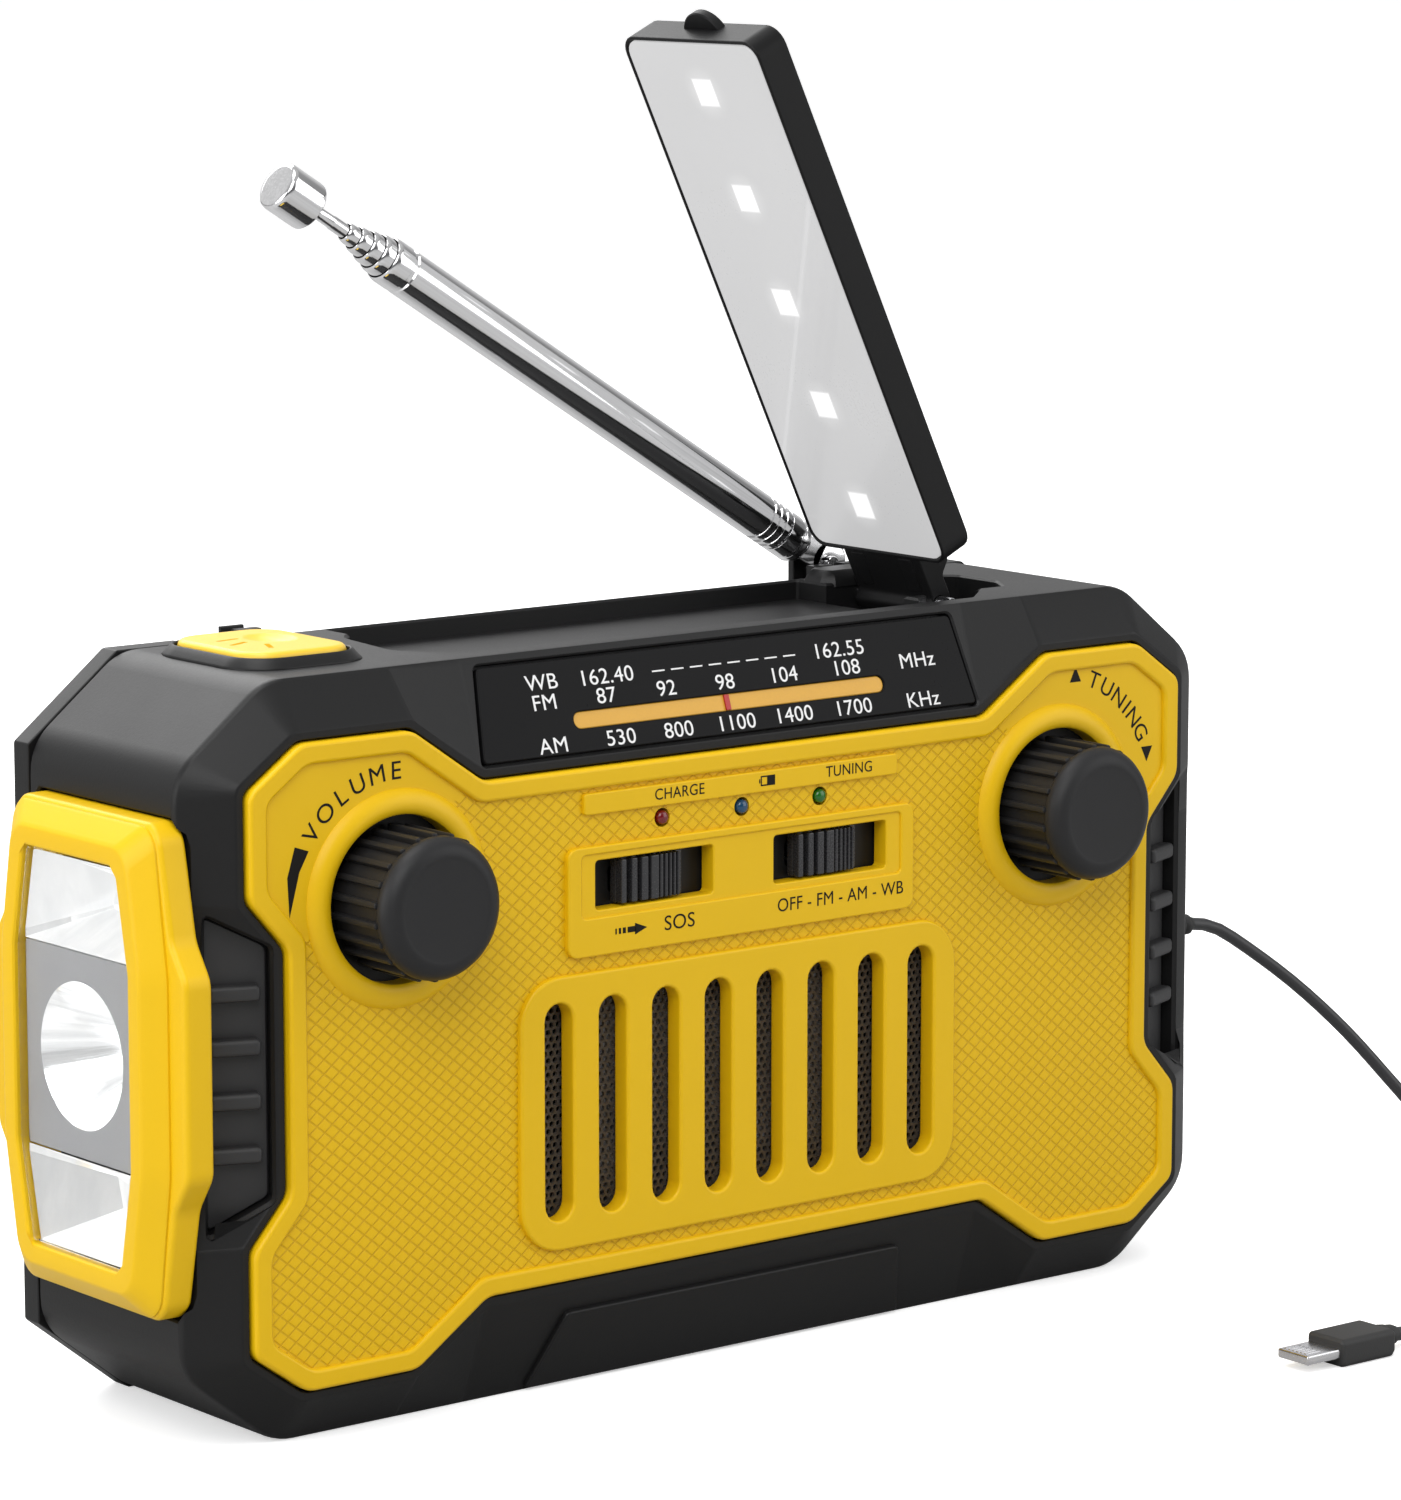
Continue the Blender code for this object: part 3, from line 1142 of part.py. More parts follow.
def add_crank():
    """The crank turns about a Y axis; its handle lies in the arm's fork until it is folded out."""
    axis = pivot("crank_axis", (CRANK_X, BACK_Y, CRANK_Z))
    gear_y = GEAR_Y - BACK_Y
    outline = [gear_outline(GEAR_TEETH, GEAR_MODULE), circle(SHAFT_RADIUS + TOUCH_GAP, 12)]
    show(slab(outline, GEAR_THICKNESS, at(0, gear_y, 0) @ FRONT), "crank_gear", WHITE, parent=axis)
    hub_front = gear_y + GEAR_THICKNESS / 2 + TOUCH_GAP
    hub_back = TOUCH_GAP
    disc = rod(CRANK_HUB_RADIUS, hub_back - hub_front, 20, at(0, (hub_back + hub_front) / 2, 0) @ FRONT)
    hub = show(disc, "crank_hub", STEEL, parent=axis)
    arm_back = hub_back + TOUCH_GAP + CRANK_ARM_THICKNESS
    shaft_front = gear_y - GEAR_THICKNESS / 2 - 1.0 * MM
    shaft = rod(SHAFT_RADIUS, arm_back - shaft_front, 12, at(0, (arm_back + shaft_front) / 2, 0) @ FRONT)
    join(hub, shaft, "crank_shaft", parent=axis)
    half = CRANK_ARM_WIDTH / 2
    arm_y = arm_back - CRANK_ARM_THICKNESS / 2
    reach = CRANK_ARM_LENGTH
    outline = rounded_box((reach + 2 * half) / 2, half, half - 0.5 * MM, 4, -reach / 2, 0)
    arm = show(
        slab([outline, circle(SHAFT_RADIUS + TOUCH_GAP, 12)], CRANK_ARM_THICKNESS, at(0, arm_y, 0) @ FRONT),
        "crank_arm",
        BLACK,
        parent=axis,
    )
    fold_y = arm_back + CRANK_HANDLE_RADIUS - 3.4 * MM
    fork = CRANK_HANDLE_RADIUS + 0.5 * MM
    ears = span(
        (-reach - 3.4 * MM, arm_y, -half + 0.6 * MM),
        (-reach + 3.4 * MM, fold_y + 3.0 * MM, half - 0.6 * MM),
    )
    join(arm, ears, "fork_ears", parent=axis)
    low = (-reach - half - EPS, -10 * MM, -fork)
    high = (-reach + CRANK_HANDLE_LENGTH + 5 * MM, 20 * MM, fork)
    cut(arm, span(low, high), "arm_fork", parent=axis)
    bore = rod(HINGE_PIN_RADIUS + RUN_GAP, 2 * CRANK_ARM_WIDTH, 12, at(-reach, fold_y, 0))
    cut(arm, bore, "fork_bore", parent=axis)
    fold = pivot("handle_fold", (CRANK_X - reach, BACK_Y + fold_y, CRANK_Z))
    along = Matrix.Rotation(math.radians(90), 4, "Y")
    lug = rod(2.6 * MM, 2 * CRANK_HANDLE_RADIUS - 1.0 * MM, 16)
    spindle = show(lug, "handle_spindle", STEEL, parent=fold)
    length = CRANK_HANDLE_LENGTH + 2.0 * MM
    join(spindle, rod(1.6 * MM, length, 12, at(length / 2, 0, 0) @ along), "spindle_rod", parent=fold)
    join(spindle, rod(HINGE_PIN_RADIUS, CRANK_ARM_WIDTH - 1.6 * MM, 12), "handle_fold_pin", parent=fold)
    start = 2.6 * MM + TOUCH_GAP
    knob = hollow_rod(
        CRANK_HANDLE_RADIUS, 1.6 * MM + RUN_GAP, CRANK_HANDLE_LENGTH - start, 16,
        at((CRANK_HANDLE_LENGTH + start) / 2, 0, 0) @ along,
    )
    show(knob, "crank_handle", BLACK, parent=fold)
    add_generator()


def add_generator():
    """The generator can, and the pinion on its shaft that the crank gear drives."""
    spread = (GEAR_TEETH + PINION_TEETH) * GEAR_MODULE / 2 + GEAR_PLAY
    shaft_z = CRANK_Z - spread
    spin = pivot("generator_axis", (CRANK_X, GEAR_Y, shaft_z))
    # The gear has a tooth at its lowest point, so the pinion is turned to have a gap at its highest.
    pinion = [gear_outline(PINION_TEETH, GEAR_MODULE, 0.5)]
    rotor = show(slab(pinion, GEAR_THICKNESS, FRONT), "generator_pinion", STEEL, parent=spin)
    join(rotor, rod(1.2 * MM, 8 * MM, 10, at(0, -4 * MM, 0) @ FRONT), "rotor_shaft", parent=spin)
    back = GEAR_Y - GEAR_THICKNESS / 2 - TOUCH_GAP
    place = at(CRANK_X, back - GENERATOR_LENGTH / 2, shaft_z) @ FRONT
    can = show(rod(GENERATOR_RADIUS, GENERATOR_LENGTH, 20, place), "generator", STEEL)
    cut(can, rod(1.2 * MM + RUN_GAP, 16 * MM, 10, at(CRANK_X, back, shaft_z) @ FRONT), "rotor_hole")


# ---------------------------------------------------------------- inside
def add_electronics():
    along = Matrix.Rotation(math.radians(90), 4, "Y")
    place = at(BATTERY_X, BATTERY_Y, BATTERY_Z) @ along
    battery = show(rod(BATTERY_RADIUS, BATTERY_LENGTH, 20, place), "battery", ((0.05, 0.2, 0.45), 0.4))
    place = at(BATTERY_X + BATTERY_LENGTH / 2 + 0.4 * MM, BATTERY_Y, BATTERY_Z) @ along
    join(battery, rod(3.0 * MM, 1.6 * MM, 12, place), "battery_pole")
    thickness = 1.3 * MM
    door = box(DOOR_WIDTH, thickness, DOOR_HEIGHT)
    show(door, "battery_door", BLACK, at(BATTERY_X, BACK_Y - thickness / 2, DOOR_Z))
    show(box(62 * MM, 1.6 * MM, 56 * MM), "main_board", GREEN_BOARD, at(-24 * MM, 9.4 * MM, 61 * MM))
    place = at(4 * MM, 7 * MM, 95.5 * MM)
    show(rod(4.0 * MM, 56 * MM, 14, along), "ferrite_aerial", ((0.06, 0.05, 0.05), 0.5), place)


def add_ports():
    depth = 14.0 * MM
    x = END_X - 0.5 * MM - depth / 2
    shell = show(box(depth, PORT_WIDTH, PORT_HEIGHT), "usb_port", STEEL, at(x, PORT_Y, PORT_Z))
    inner = box(depth, PORT_WIDTH - 0.8 * MM, PORT_HEIGHT - 0.8 * MM)
    cut(shell, inner, "usb_port_mouth", at(x + 1.0 * MM, PORT_Y, PORT_Z))
    place = at(END_X - 4.0 * MM, PORT_Y, COVER_Z + 6 * MM)
    charge = show(box(5.0 * MM, 7.4 * MM, 2.8 * MM), "charge_port", STEEL, place)
    slot = box(4.0 * MM, 6.6 * MM, 2.0 * MM)
    cut(charge, slot, "charge_port_mouth", at(END_X - 2.5 * MM, PORT_Y, COVER_Z + 6 * MM))
    along = Matrix.Rotation(math.radians(90), 4, "Y")
    place = at(END_X - 6.0 * MM, PORT_Y, COVER_Z - 6 * MM) @ along
    show(hollow_rod(2.9 * MM, 1.8 * MM, 9.0 * MM, 12, place), "headphone_jack", BLACK)
    sunk = 1.2 * MM - TOUCH_GAP
    hinge = pivot("port_cover_hinge", (END_X + TOUCH_GAP, PORT_Y, COVER_Z - COVER_HEIGHT / 2))
    low = (-sunk - TOUCH_GAP, -COVER_WIDTH / 2, 0)
    high = (COVER_PROUD - TOUCH_GAP, COVER_WIDTH / 2, COVER_HEIGHT)
    flap = span(low, high)
    show(flap, "port_cover", RUBBER, parent=hinge)


# ---------------------------------------------------------------- charging lead
LEAD_ROUTE = (
    (121.6, 5.7, 45.6),
    (127.0, 5.5, 44.4),
    (134.0, 4.2, 40.0),
    (142.2, 0.8, 33.2),
    (149.6, -3.8, 25.2),
    (156.6, -9.0, 16.0),
    (162.4, -14.6, 7.6),
    (166.2, -20.6, 2.2),
    (168.2, -27.4, 1.1),
)
TAIL_ROUTE = (
    (147.0, -52.4, 1.1),
    (136.0, -54.6, 1.1),
    (124.0, -60.4, 1.1),
    (111.0, -70.0, 1.1),
    (98.0, -79.0, 1.1),
    (87.0, -83.2, 1.3),
    (79.4, -83.8, 2.0),
)
COIL_CENTRE = (156.0 * MM, -39.0 * MM)
CONNECTOR_X = 64.6 * MM
CONNECTOR_Y = -83.8 * MM
CONNECTOR_LENGTH = 11.5 * MM
CONNECTOR_WIDTH = 7.8 * MM
CONNECTOR_HEIGHT = 4.2 * MM


def smooth(points, spacing):
    """Points a set distance apart along the smooth curve that runs through the given ones."""
    knots = [Vector(p) * MM for p in points]
    ends = [2 * knots[0] - knots[1]] + knots + [2 * knots[-1] - knots[-2]]
    dense = []
    steps = 40
    for a, b, c, d in zip(ends, ends[1:], ends[2:], ends[3:]):
        for step in range(steps):
            t = step / steps
            line = (2 * b) + (c - a) * t
            line += (2 * a - 5 * b + 4 * c - d) * t**2 + (3 * b - a - 3 * c + d) * t**3
            dense.append(line / 2)
    dense.append(knots[-1])
    total = sum((q - p).length for p, q in zip(dense, dense[1:]))
    count = round(total / spacing)
    result = [dense[0]]
    travelled = 0.0
    for p, q in zip(dense, dense[1:]):
        step = (q - p).length
        while travelled + step >= total * len(result) / count - 1e-12 and len(result) < count:
            share = (total * len(result) / count - travelled) / step
            result.append(p.lerp(q, share))
        travelled += step
    return result + [dense[-1]]


def cord_tube(points):
    """A cord along a route: a curve with a round bevel and filled caps."""
    curve = bpy.data.curves.new("cord", "CURVE")
    curve.dimensions = "3D"
    curve.bevel_depth = CORD_RADIUS
    curve.bevel_resolution = 2
    curve.use_fill_caps = True
    spline = curve.splines.new("POLY")
    route = smooth(points, 5 * CORD_RADIUS)
    spline.points.add(len(route) - 1)
    for point, place in zip(spline.points, route):
        point.co = (*place, 1.0)
    return curve


def add_cord():
    """The charging lead: plug, lead to a coil, coil, tail and phone connector."""
    start = END_X + TOUCH_GAP
    grip = box(PLUG_LENGTH, PORT_WIDTH + 1.8 * MM, PORT_HEIGHT + 1.7 * MM)
    plug = show(grip, "usb_plug", RUBBER, at(start + PLUG_LENGTH / 2, PORT_Y, PORT_Z))
    reach = 11.0 * MM
    shell = box(reach, PORT_WIDTH - 1.6 * MM, PORT_HEIGHT - 1.6 * MM)
    join(plug, shell, "usb_plug_shell", at(start + 0.5 * MM - reach / 2, PORT_Y, PORT_Z))
    along = Matrix.Rotation(math.radians(90), 4, "Y")
    relief_x = start + PLUG_LENGTH
    relief = rod(2.6 * MM, RELIEF_LENGTH + 1.0 * MM, 12, along, end_radius=1.5 * MM)
    join(plug, relief, "usb_plug_relief", at(relief_x + RELIEF_LENGTH / 2 - 0.5 * MM, PORT_Y, PORT_Z))
    for name, route in (("cord_lead", LEAD_ROUTE), ("cord_tail", TAIL_ROUTE)):
        obj = bpy.data.objects.new(name, cord_tube(route))
        PARTS.objects.link(obj)
        obj.data.materials.append(finish(name, *RUBBER))
    inner = COIL_RADIUS - 2 * CORD_RADIUS
    outer = COIL_RADIUS + 2 * CORD_RADIUS
    height = 4 * CORD_RADIUS
    place = at(*COIL_CENTRE, height / 2)
    show(hollow_rod(outer, inner, height, 28, place), "cord_coil", RUBBER)
    sleeve = box(CONNECTOR_LENGTH, CONNECTOR_WIDTH, CONNECTOR_HEIGHT)
    place = at(CONNECTOR_X + CONNECTOR_LENGTH / 2, CONNECTOR_Y, CONNECTOR_HEIGHT / 2)
    connector = show(sleeve, "phone_connector", RUBBER, place)
    tip = box(7.5 * MM, 6.6 * MM, 1.6 * MM)
    join(connector, tip, "connector_tip", at(CONNECTOR_X - 3.0 * MM, CONNECTOR_Y, CONNECTOR_HEIGHT / 2))
    relief = rod(1.9 * MM, 3.6 * MM, 12, along, end_radius=1.4 * MM)
    place = at(CONNECTOR_X + CONNECTOR_LENGTH + 1.2 * MM, CONNECTOR_Y, CONNECTOR_HEIGHT / 2)
    join(connector, relief, "connector_relief", place)


def main():
    add_main_housing()
    add_rear_cover()
    add_grips()
    add_screws()
    add_front_panel()
    add_dial()
    add_controls()
    add_speaker()
    add_torch()
    add_light_button()
    add_lamp()
    add_antenna()
    add_crank()
    add_electronics()
    add_ports()
    add_cord()


main()
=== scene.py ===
"""The looks of an emergency radio: black case, yellow front, folding lamp, torch, antenna and charging lead.

+Z is up, X runs along the front and the front faces -Y. Places and sizes are in millimetres, and what makes a
mesh or a place turns them into metres. Every piece is made in the frame's own place.
"""

import math

import bmesh
import bpy
from bpy.props import FloatProperty, FloatVectorProperty, IntProperty, PointerProperty
from mathutils import Matrix, Vector


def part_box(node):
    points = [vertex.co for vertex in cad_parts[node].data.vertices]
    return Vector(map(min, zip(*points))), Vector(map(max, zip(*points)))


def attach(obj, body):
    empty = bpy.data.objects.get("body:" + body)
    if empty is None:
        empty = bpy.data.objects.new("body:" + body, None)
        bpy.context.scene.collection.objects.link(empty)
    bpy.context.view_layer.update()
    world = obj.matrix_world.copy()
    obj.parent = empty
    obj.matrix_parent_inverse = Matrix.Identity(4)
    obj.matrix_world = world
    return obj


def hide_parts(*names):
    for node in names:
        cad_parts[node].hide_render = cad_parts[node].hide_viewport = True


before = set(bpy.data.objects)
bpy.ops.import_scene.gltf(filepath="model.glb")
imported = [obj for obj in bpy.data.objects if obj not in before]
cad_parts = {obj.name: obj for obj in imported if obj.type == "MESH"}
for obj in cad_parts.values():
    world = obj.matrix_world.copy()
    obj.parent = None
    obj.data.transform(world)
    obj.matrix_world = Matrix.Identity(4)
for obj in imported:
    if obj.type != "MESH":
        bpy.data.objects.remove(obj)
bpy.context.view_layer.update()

bl_info = {
    "name": "Emergency Radio",
    "version": (1, 0, 0),
    "blender": (4, 5, 0),
    "location": "3D View > Sidebar > Radio",
    "description": "Builds the pieces, finishes and stage of an emergency radio",
    "category": "Object",
}

MM = 0.001

# ---------------------------------------------------------------- places shared by several pieces
END_X = 95.0
DECK_Z = 108.0
MIDDLE_Z = 54.0
RIDGE_Y = -21.3
BACK_Y = 21.3
SPLIT_Y = 15.2  # where the front case meets the rear cover
LIP_Y = -26.6
FIELD_Y = -27.0  # the panel's patterned face
PAD_Y = -27.9  # the panel's raised plain faces
PANEL_BACK_Y = -24.6
RECESS_Y = -24.3
CAVITY_Y = -18.9
GAP = 0.3
INK = 0.03  # how thick the print is
INK_EDGE = 0.004
CAPITAL_SHARE = 0.729  # a capital letter's height in the built-in font, as a share of its size

KNOB_X = 61.6
KNOB_Z = 76.2
SWITCH_X = 16.5
SWITCH_Z = 74.1
LED_X = 14.8
LED_Z = 82.6
SPEAKER_Z = 41.65
SLOT_PITCH = 9.75

TORCH_Y = -3.9
TORCH_Z = 55.0
TRAY_MIDDLE = 21.5  # from the torch's middle up to the middle of its upper tray
LENS_FRONT_X = -100.6
LENS_BACK_X = -99.2
REFLECTOR_X = -98.8

BUTTON_X = -66.8
BUTTON_Y = -1.7

LAMP_HINGE = (52.4, -1.7, 106.3)
LAMP_LEAN = 25.7  # degrees from upright
LAMP_LOW = 8.1
LAMP_LENGTH = 88.2
LAMP_HALF = 15.8
LAMP_FACE = -1.0
LAMP_BACK = 4.6

ANTENNA_PIVOT = (54.2, 19.1, 109.6)
ANTENNA_LIFT = 31.4  # degrees from level

SCREW_X = 83.0
SCREW_LOW = 15.0
SCREW_HIGH = 92.0

PORT_Y = 5.7
PORT_Z = 45.6

CORD_RADIUS = 1.05
LEAD_SPACING = 3.2
COIL_MIDDLE = (153.7, -39.0)
COIL_RADIUS = 12.0
COIL_START = 43.5  # where the lead joins the coil, in degrees, as are the next three
COIL_TURN = 1247.4
COIL_EXIT = 87
COIL_STEP = 7.5
LEAD_ROUTE = (
    (121.6, 5.7, 45.6),
    (127.0, 5.5, 44.4),
    (134.0, 4.2, 40.0),
    (142.1, 0.8, 33.2),
    (149.2, -3.8, 25.2),
    (155.6, -9.0, 16.0),
    (160.8, -14.6, 7.6),
    (164.1, -20.6, 2.2),
    (165.9, -27.4, 1.1),
)
TAIL_ROUTE = (
    (144.7, -52.4, 1.1),
    (134.4, -54.9, 1.1),
    (124.0, -60.4, 1.1),
    (111.0, -70.0, 1.1),
    (98.0, -79.0, 1.1),
    (87.0, -83.2, 1.3),
    (79.4, -83.8, 2.0),
)


def at(x, y, z):
    """A place given in millimetres."""
    return Matrix.Translation((x * MM, y * MM, z * MM))


def turned(degrees, axis):
    return Matrix.Rotation(math.radians(degrees), 4, axis)


FRONT = turned(90, "X")  # a flat shape stands up and faces -Y
SIDE = turned(90, "Z") @ FRONT  # a flat shape stands up and faces +X
ALONG_X = turned(90, "Y")
LAMP_PLACE = at(*LAMP_HINGE) @ turned(-LAMP_LEAN, "Y")
ANTENNA_PLACE = at(*ANTENNA_PIVOT) @ turned(ANTENNA_LIFT - 90, "Y")


# ---------------------------------------------------------------- sizes and colours a user may change
class RadioColours(bpy.types.PropertyGroup):
    """Colours of the radio's finishes"""

    case: FloatVectorProperty(
        name="Case", description="Black moulded case", subtype="COLOR", size=3,
        min=0.0, max=1.0, default=(0.009, 0.009, 0.0093),
    )
    shell: FloatVectorProperty(
        name="Front shell", description="Yellow moulded shell", subtype="COLOR", size=3,
        min=0.0, max=1.0, default=(0.80, 0.495, 0.004),
    )
    # painted shade: this colour darkens the engraved grooves in place of the shade that falls in them
    painted_groove_shade: FloatVectorProperty(
        name="Engraved lines", description="Darker lines of the crossed pattern", subtype="COLOR", size=3,
        min=0.0, max=1.0, default=(0.53, 0.27, 0.002),
    )
    knobs: FloatVectorProperty(
        name="Knobs", description="Knobs and slide switches", subtype="COLOR", size=3,
        min=0.0, max=1.0, default=(0.019, 0.019, 0.020),
    )
    scale_bar: FloatVectorProperty(
        name="Dial bar", description="Amber bar of the tuning dial", subtype="COLOR", size=3,
        min=0.0, max=1.0, default=(0.68, 0.36, 0.03),
    )
    metal: FloatVectorProperty(
        name="Chrome", description="Antenna and reflector metal", subtype="COLOR", size=3,
        min=0.0, max=1.0, default=(0.86, 0.86, 0.87),
    )


class RadioSizes(bpy.types.PropertyGroup):
    """Sizes of the radio's fine detail"""

    hatch_pitch: FloatProperty(
        name="Pattern pitch", description="Distance between the crossed lines", subtype="DISTANCE",
        unit="LENGTH", min=0.001, max=0.01, default=1.62 * MM,
    )
    grain_size: FloatProperty(
        name="Grain", description="Size of the moulded grain", subtype="DISTANCE", unit="LENGTH",
        min=0.0001, max=0.002, default=0.32 * MM,
    )
    knob_ribs: IntProperty(
        name="Knob ribs", description="Ribs round each knob", min=8, max=48, default=22,
    )
    net_pitch: FloatProperty(
        name="Net pitch", description="Distance between the holes of the speaker net",
        subtype="DISTANCE", unit="LENGTH", min=0.0006, max=0.004, default=1.2 * MM,
    )
    cord_diameter: FloatProperty(
        name="Cord diameter", description="Diameter of the charging lead", subtype="DISTANCE",
        unit="LENGTH", min=0.001, max=0.006, default=2 * CORD_RADIUS * MM,
    )


class RadioStage(bpy.types.PropertyGroup):
    """Camera and lights"""

    lens: FloatProperty(
        name="Lens", description="Camera focal length in millimetres", min=20.0, max=400.0, default=136.3,
    )
    azimuth: FloatProperty(
        name="Azimuth", description="Camera's turn round the radio", subtype="ANGLE",
        default=math.radians(-38.75),
    )
    height: FloatProperty(
        name="Elevation", description="Camera's height angle", subtype="ANGLE", default=math.radians(9.18),
    )
    distance: FloatProperty(
        name="Distance", description="Camera's distance from its target", subtype="DISTANCE",
        unit="LENGTH", min=0.2, max=5.0, default=0.8208,
    )
    key_power: FloatProperty(
        name="Key light", description="Power of the main soft light in watts", min=0.0, max=200.0,
        default=9.5,
    )
    fill_power: FloatProperty(
        name="Fill light", description="Power of the fill light in watts", min=0.0, max=200.0, default=5.8,
    )


def colours():
    return bpy.context.scene.radio_colours


def sizes():
    return bpy.context.scene.radio_sizes


# ---------------------------------------------------------------- outlines
def mirrored(quarter):
    """Repeats an outline's upper right quarter in all four quarters, counterclockwise."""
    top = quarter + [(-x, y) for x, y in reversed(quarter)]
    return top + [(-x, -y) for x, y in top]


def area_of(loop):
    return sum(a[0] * b[1] - b[0] * a[1] for a, b in zip(loop, loop[1:] + loop[:1])) / 2


def wound(loop, anticlockwise=True):
    return list(loop) if (area_of(loop) > 0) == anticlockwise else list(reversed(loop))


def grown(loop, amount):
    """The outline moved outwards by a distance, with mitred corners."""
    loop = wound(loop)
    result = []
    for before, here, after in zip(loop[-1:] + loop[:-1], loop, loop[1:] + loop[:1]):
        one = Vector((here[0] - before[0], here[1] - before[1])).normalized()
        two = Vector((after[0] - here[0], after[1] - here[1])).normalized()
        out = Vector((one.y + two.y, -one.x - two.x))
        if out.length < 1e-9:
            out = Vector((one.y, -one.x))
        out.normalize()
        share = max(0.35, out.x * one.y - out.y * one.x)
        result.append((here[0] + out.x * amount / share, here[1] + out.y * amount / share))
    return result


def filleted(loop, cut, steps=4):
    """The outline with each corner rounded. cut is how far from the corner the round starts."""
    cuts = cut if isinstance(cut, (list, tuple)) else [cut] * len(loop)
    result = []
    for before, here, after, reach in zip(loop[-1:] + loop[:-1], loop, loop[1:] + loop[:1], cuts):
        corner = Vector(here)
        back = Vector(before) - corner
        ahead = Vector(after) - corner
        reach = min(reach, 0.48 * back.length, 0.48 * ahead.length)
        start = corner + back.normalized() * reach
        end = corner + ahead.normalized() * reach
        for step in range(steps + 1):
            t = step / steps
            point = start * (1 - t) ** 2 + corner * 2 * t * (1 - t) + end * t * t
            result.append((point.x, point.y))
    return result


def rectangle(half_x, half_y):
    return [(half_x, -half_y), (half_x, half_y), (-half_x, half_y), (-half_x, -half_y)]


def circle(radius, steps, x=0.0, y=0.0):
    turn = 2 * math.pi / steps
    return [(x + radius * math.cos(i * turn), y + radius * math.sin(i * turn)) for i in range(steps)]


def rounded_box(half_x, half_y, corner, steps=6, x=0.0, y=0.0):
    points = []
    for index, (sign_x, sign_y) in enumerate(((1, 1), (-1, 1), (-1, -1), (1, -1))):
        for step in range(steps + 1):
            angle = math.radians(90 * (index + step / steps))
            px = sign_x * (half_x - corner) + corner * math.cos(angle)
            py = sign_y * (half_y - corner) + corner * math.sin(angle)
            points.append((x + px, y + py))
    return points


def oblong(width, top, bottom, x=0.0, steps=10):
    """A slot with round ends."""
    r = width / 2
    points = []
    for centre, start in ((top - r, 0), (bottom + r, 180)):
        for step in range(steps + 1):
            angle = math.radians(start + 180 * step / steps)
            points.append((x + r * math.cos(angle), centre + r * math.sin(angle)))
    return points


# ---------------------------------------------------------------- mesh builders
def in_metres(point):
    return [value * MM for value in point]


def finished_mesh(shape, place=None, weld=1e-6):
    """Turns a bmesh into a mesh with its faces looking outwards."""
    bmesh.ops.remove_doubles(shape, verts=shape.verts, dist=weld)
    bmesh.ops.recalc_face_normals(shape, faces=shape.faces)
    if place is not None:
        shape.transform(place)
    mesh = bpy.data.meshes.new("shape")
    shape.to_mesh(mesh)
    shape.free()
    return mesh


def evaluated_mesh(obj):
    graph = bpy.context.evaluated_depsgraph_get()
    return bpy.data.meshes.new_from_object(obj.evaluated_get(graph))


def temporary(data):
    obj = bpy.data.objects.new("helper", data)
    bpy.context.scene.collection.objects.link(obj)
    return obj


def mesh_of_curve(curve, place=None):
    helper = temporary(curve)
    mesh = evaluated_mesh(helper)
    bpy.data.objects.remove(helper, do_unlink=True)
    bpy.data.curves.remove(curve)
    shape = bmesh.new()
    shape.from_mesh(mesh)
    bpy.data.meshes.remove(mesh)
    bmesh.ops.remove_doubles(shape, verts=shape.verts, dist=1e-6)
    bmesh.ops.dissolve_limit(
        shape, angle_limit=math.radians(0.4), verts=shape.verts, edges=shape.edges
    )
    return finished_mesh(shape, place)


def plate(loops, thickness, edge=0.0, place=None, steps=3):
    """A flat plate with rounded rims: the first outline is its outer edge, the others are holes."""
    curve = bpy.data.curves.new("outline", "CURVE")
    curve.dimensions = "2D"
    curve.fill_mode = "BOTH"
    curve.extrude = max(0.0, thickness / 2 - edge) * MM
    curve.bevel_depth = edge * MM
    curve.bevel_resolution = steps - 1
    curve.offset = -edge * MM
    for index, loop in enumerate(loops):
        loop = wound(loop, index == 0)
        spline = curve.splines.new("POLY")
        spline.points.add(len(loop) - 1)
        for point, (x, y) in zip(spline.points, loop):
            point.co = (x * MM, y * MM, 0.0, 1.0)
        spline.use_cyclic_u = True
    return mesh_of_curve(curve, place)


def loft(rings, place=None, caps=True, closed=False):
    """Skins a row of rings that have the same number of points."""
    shape = bmesh.new()
    rows = [[shape.verts.new(in_metres(point)) for point in ring] for ring in rings]
    pairs = list(zip(rows, rows[1:]))
    if closed:
        pairs.append((rows[-1], rows[0]))
    for near, far in pairs:
        for i in range(len(near)):
            j = (i + 1) % len(near)
            shape.faces.new((near[i], near[j], far[j], far[i]))
    if caps and not closed:
        shape.faces.new(rows[0])
        shape.faces.new(rows[-1])
    return finished_mesh(shape, place)


def stacked(loop, levels, place=None):
    """A solid from one outline: each level is (how far it grows, height)."""
    rings = []
    for growth, height in levels:
        rings.append([(x, y, height) for x, y in grown(loop, growth)])
    return loft(rings, place)


def pad(loop, thickness, edge, place=None, steps=4):
    """A plate on z = 0 whose upper rim alone is rounded."""
    levels = [(0.0, 0.0), (0.0, thickness - edge)]
    for step in range(1, steps + 1):
        angle = math.radians(90 * step / steps)
        levels.append((edge * (math.cos(angle) - 1), thickness - edge + edge * math.sin(angle)))
    return stacked(loop, levels, place)


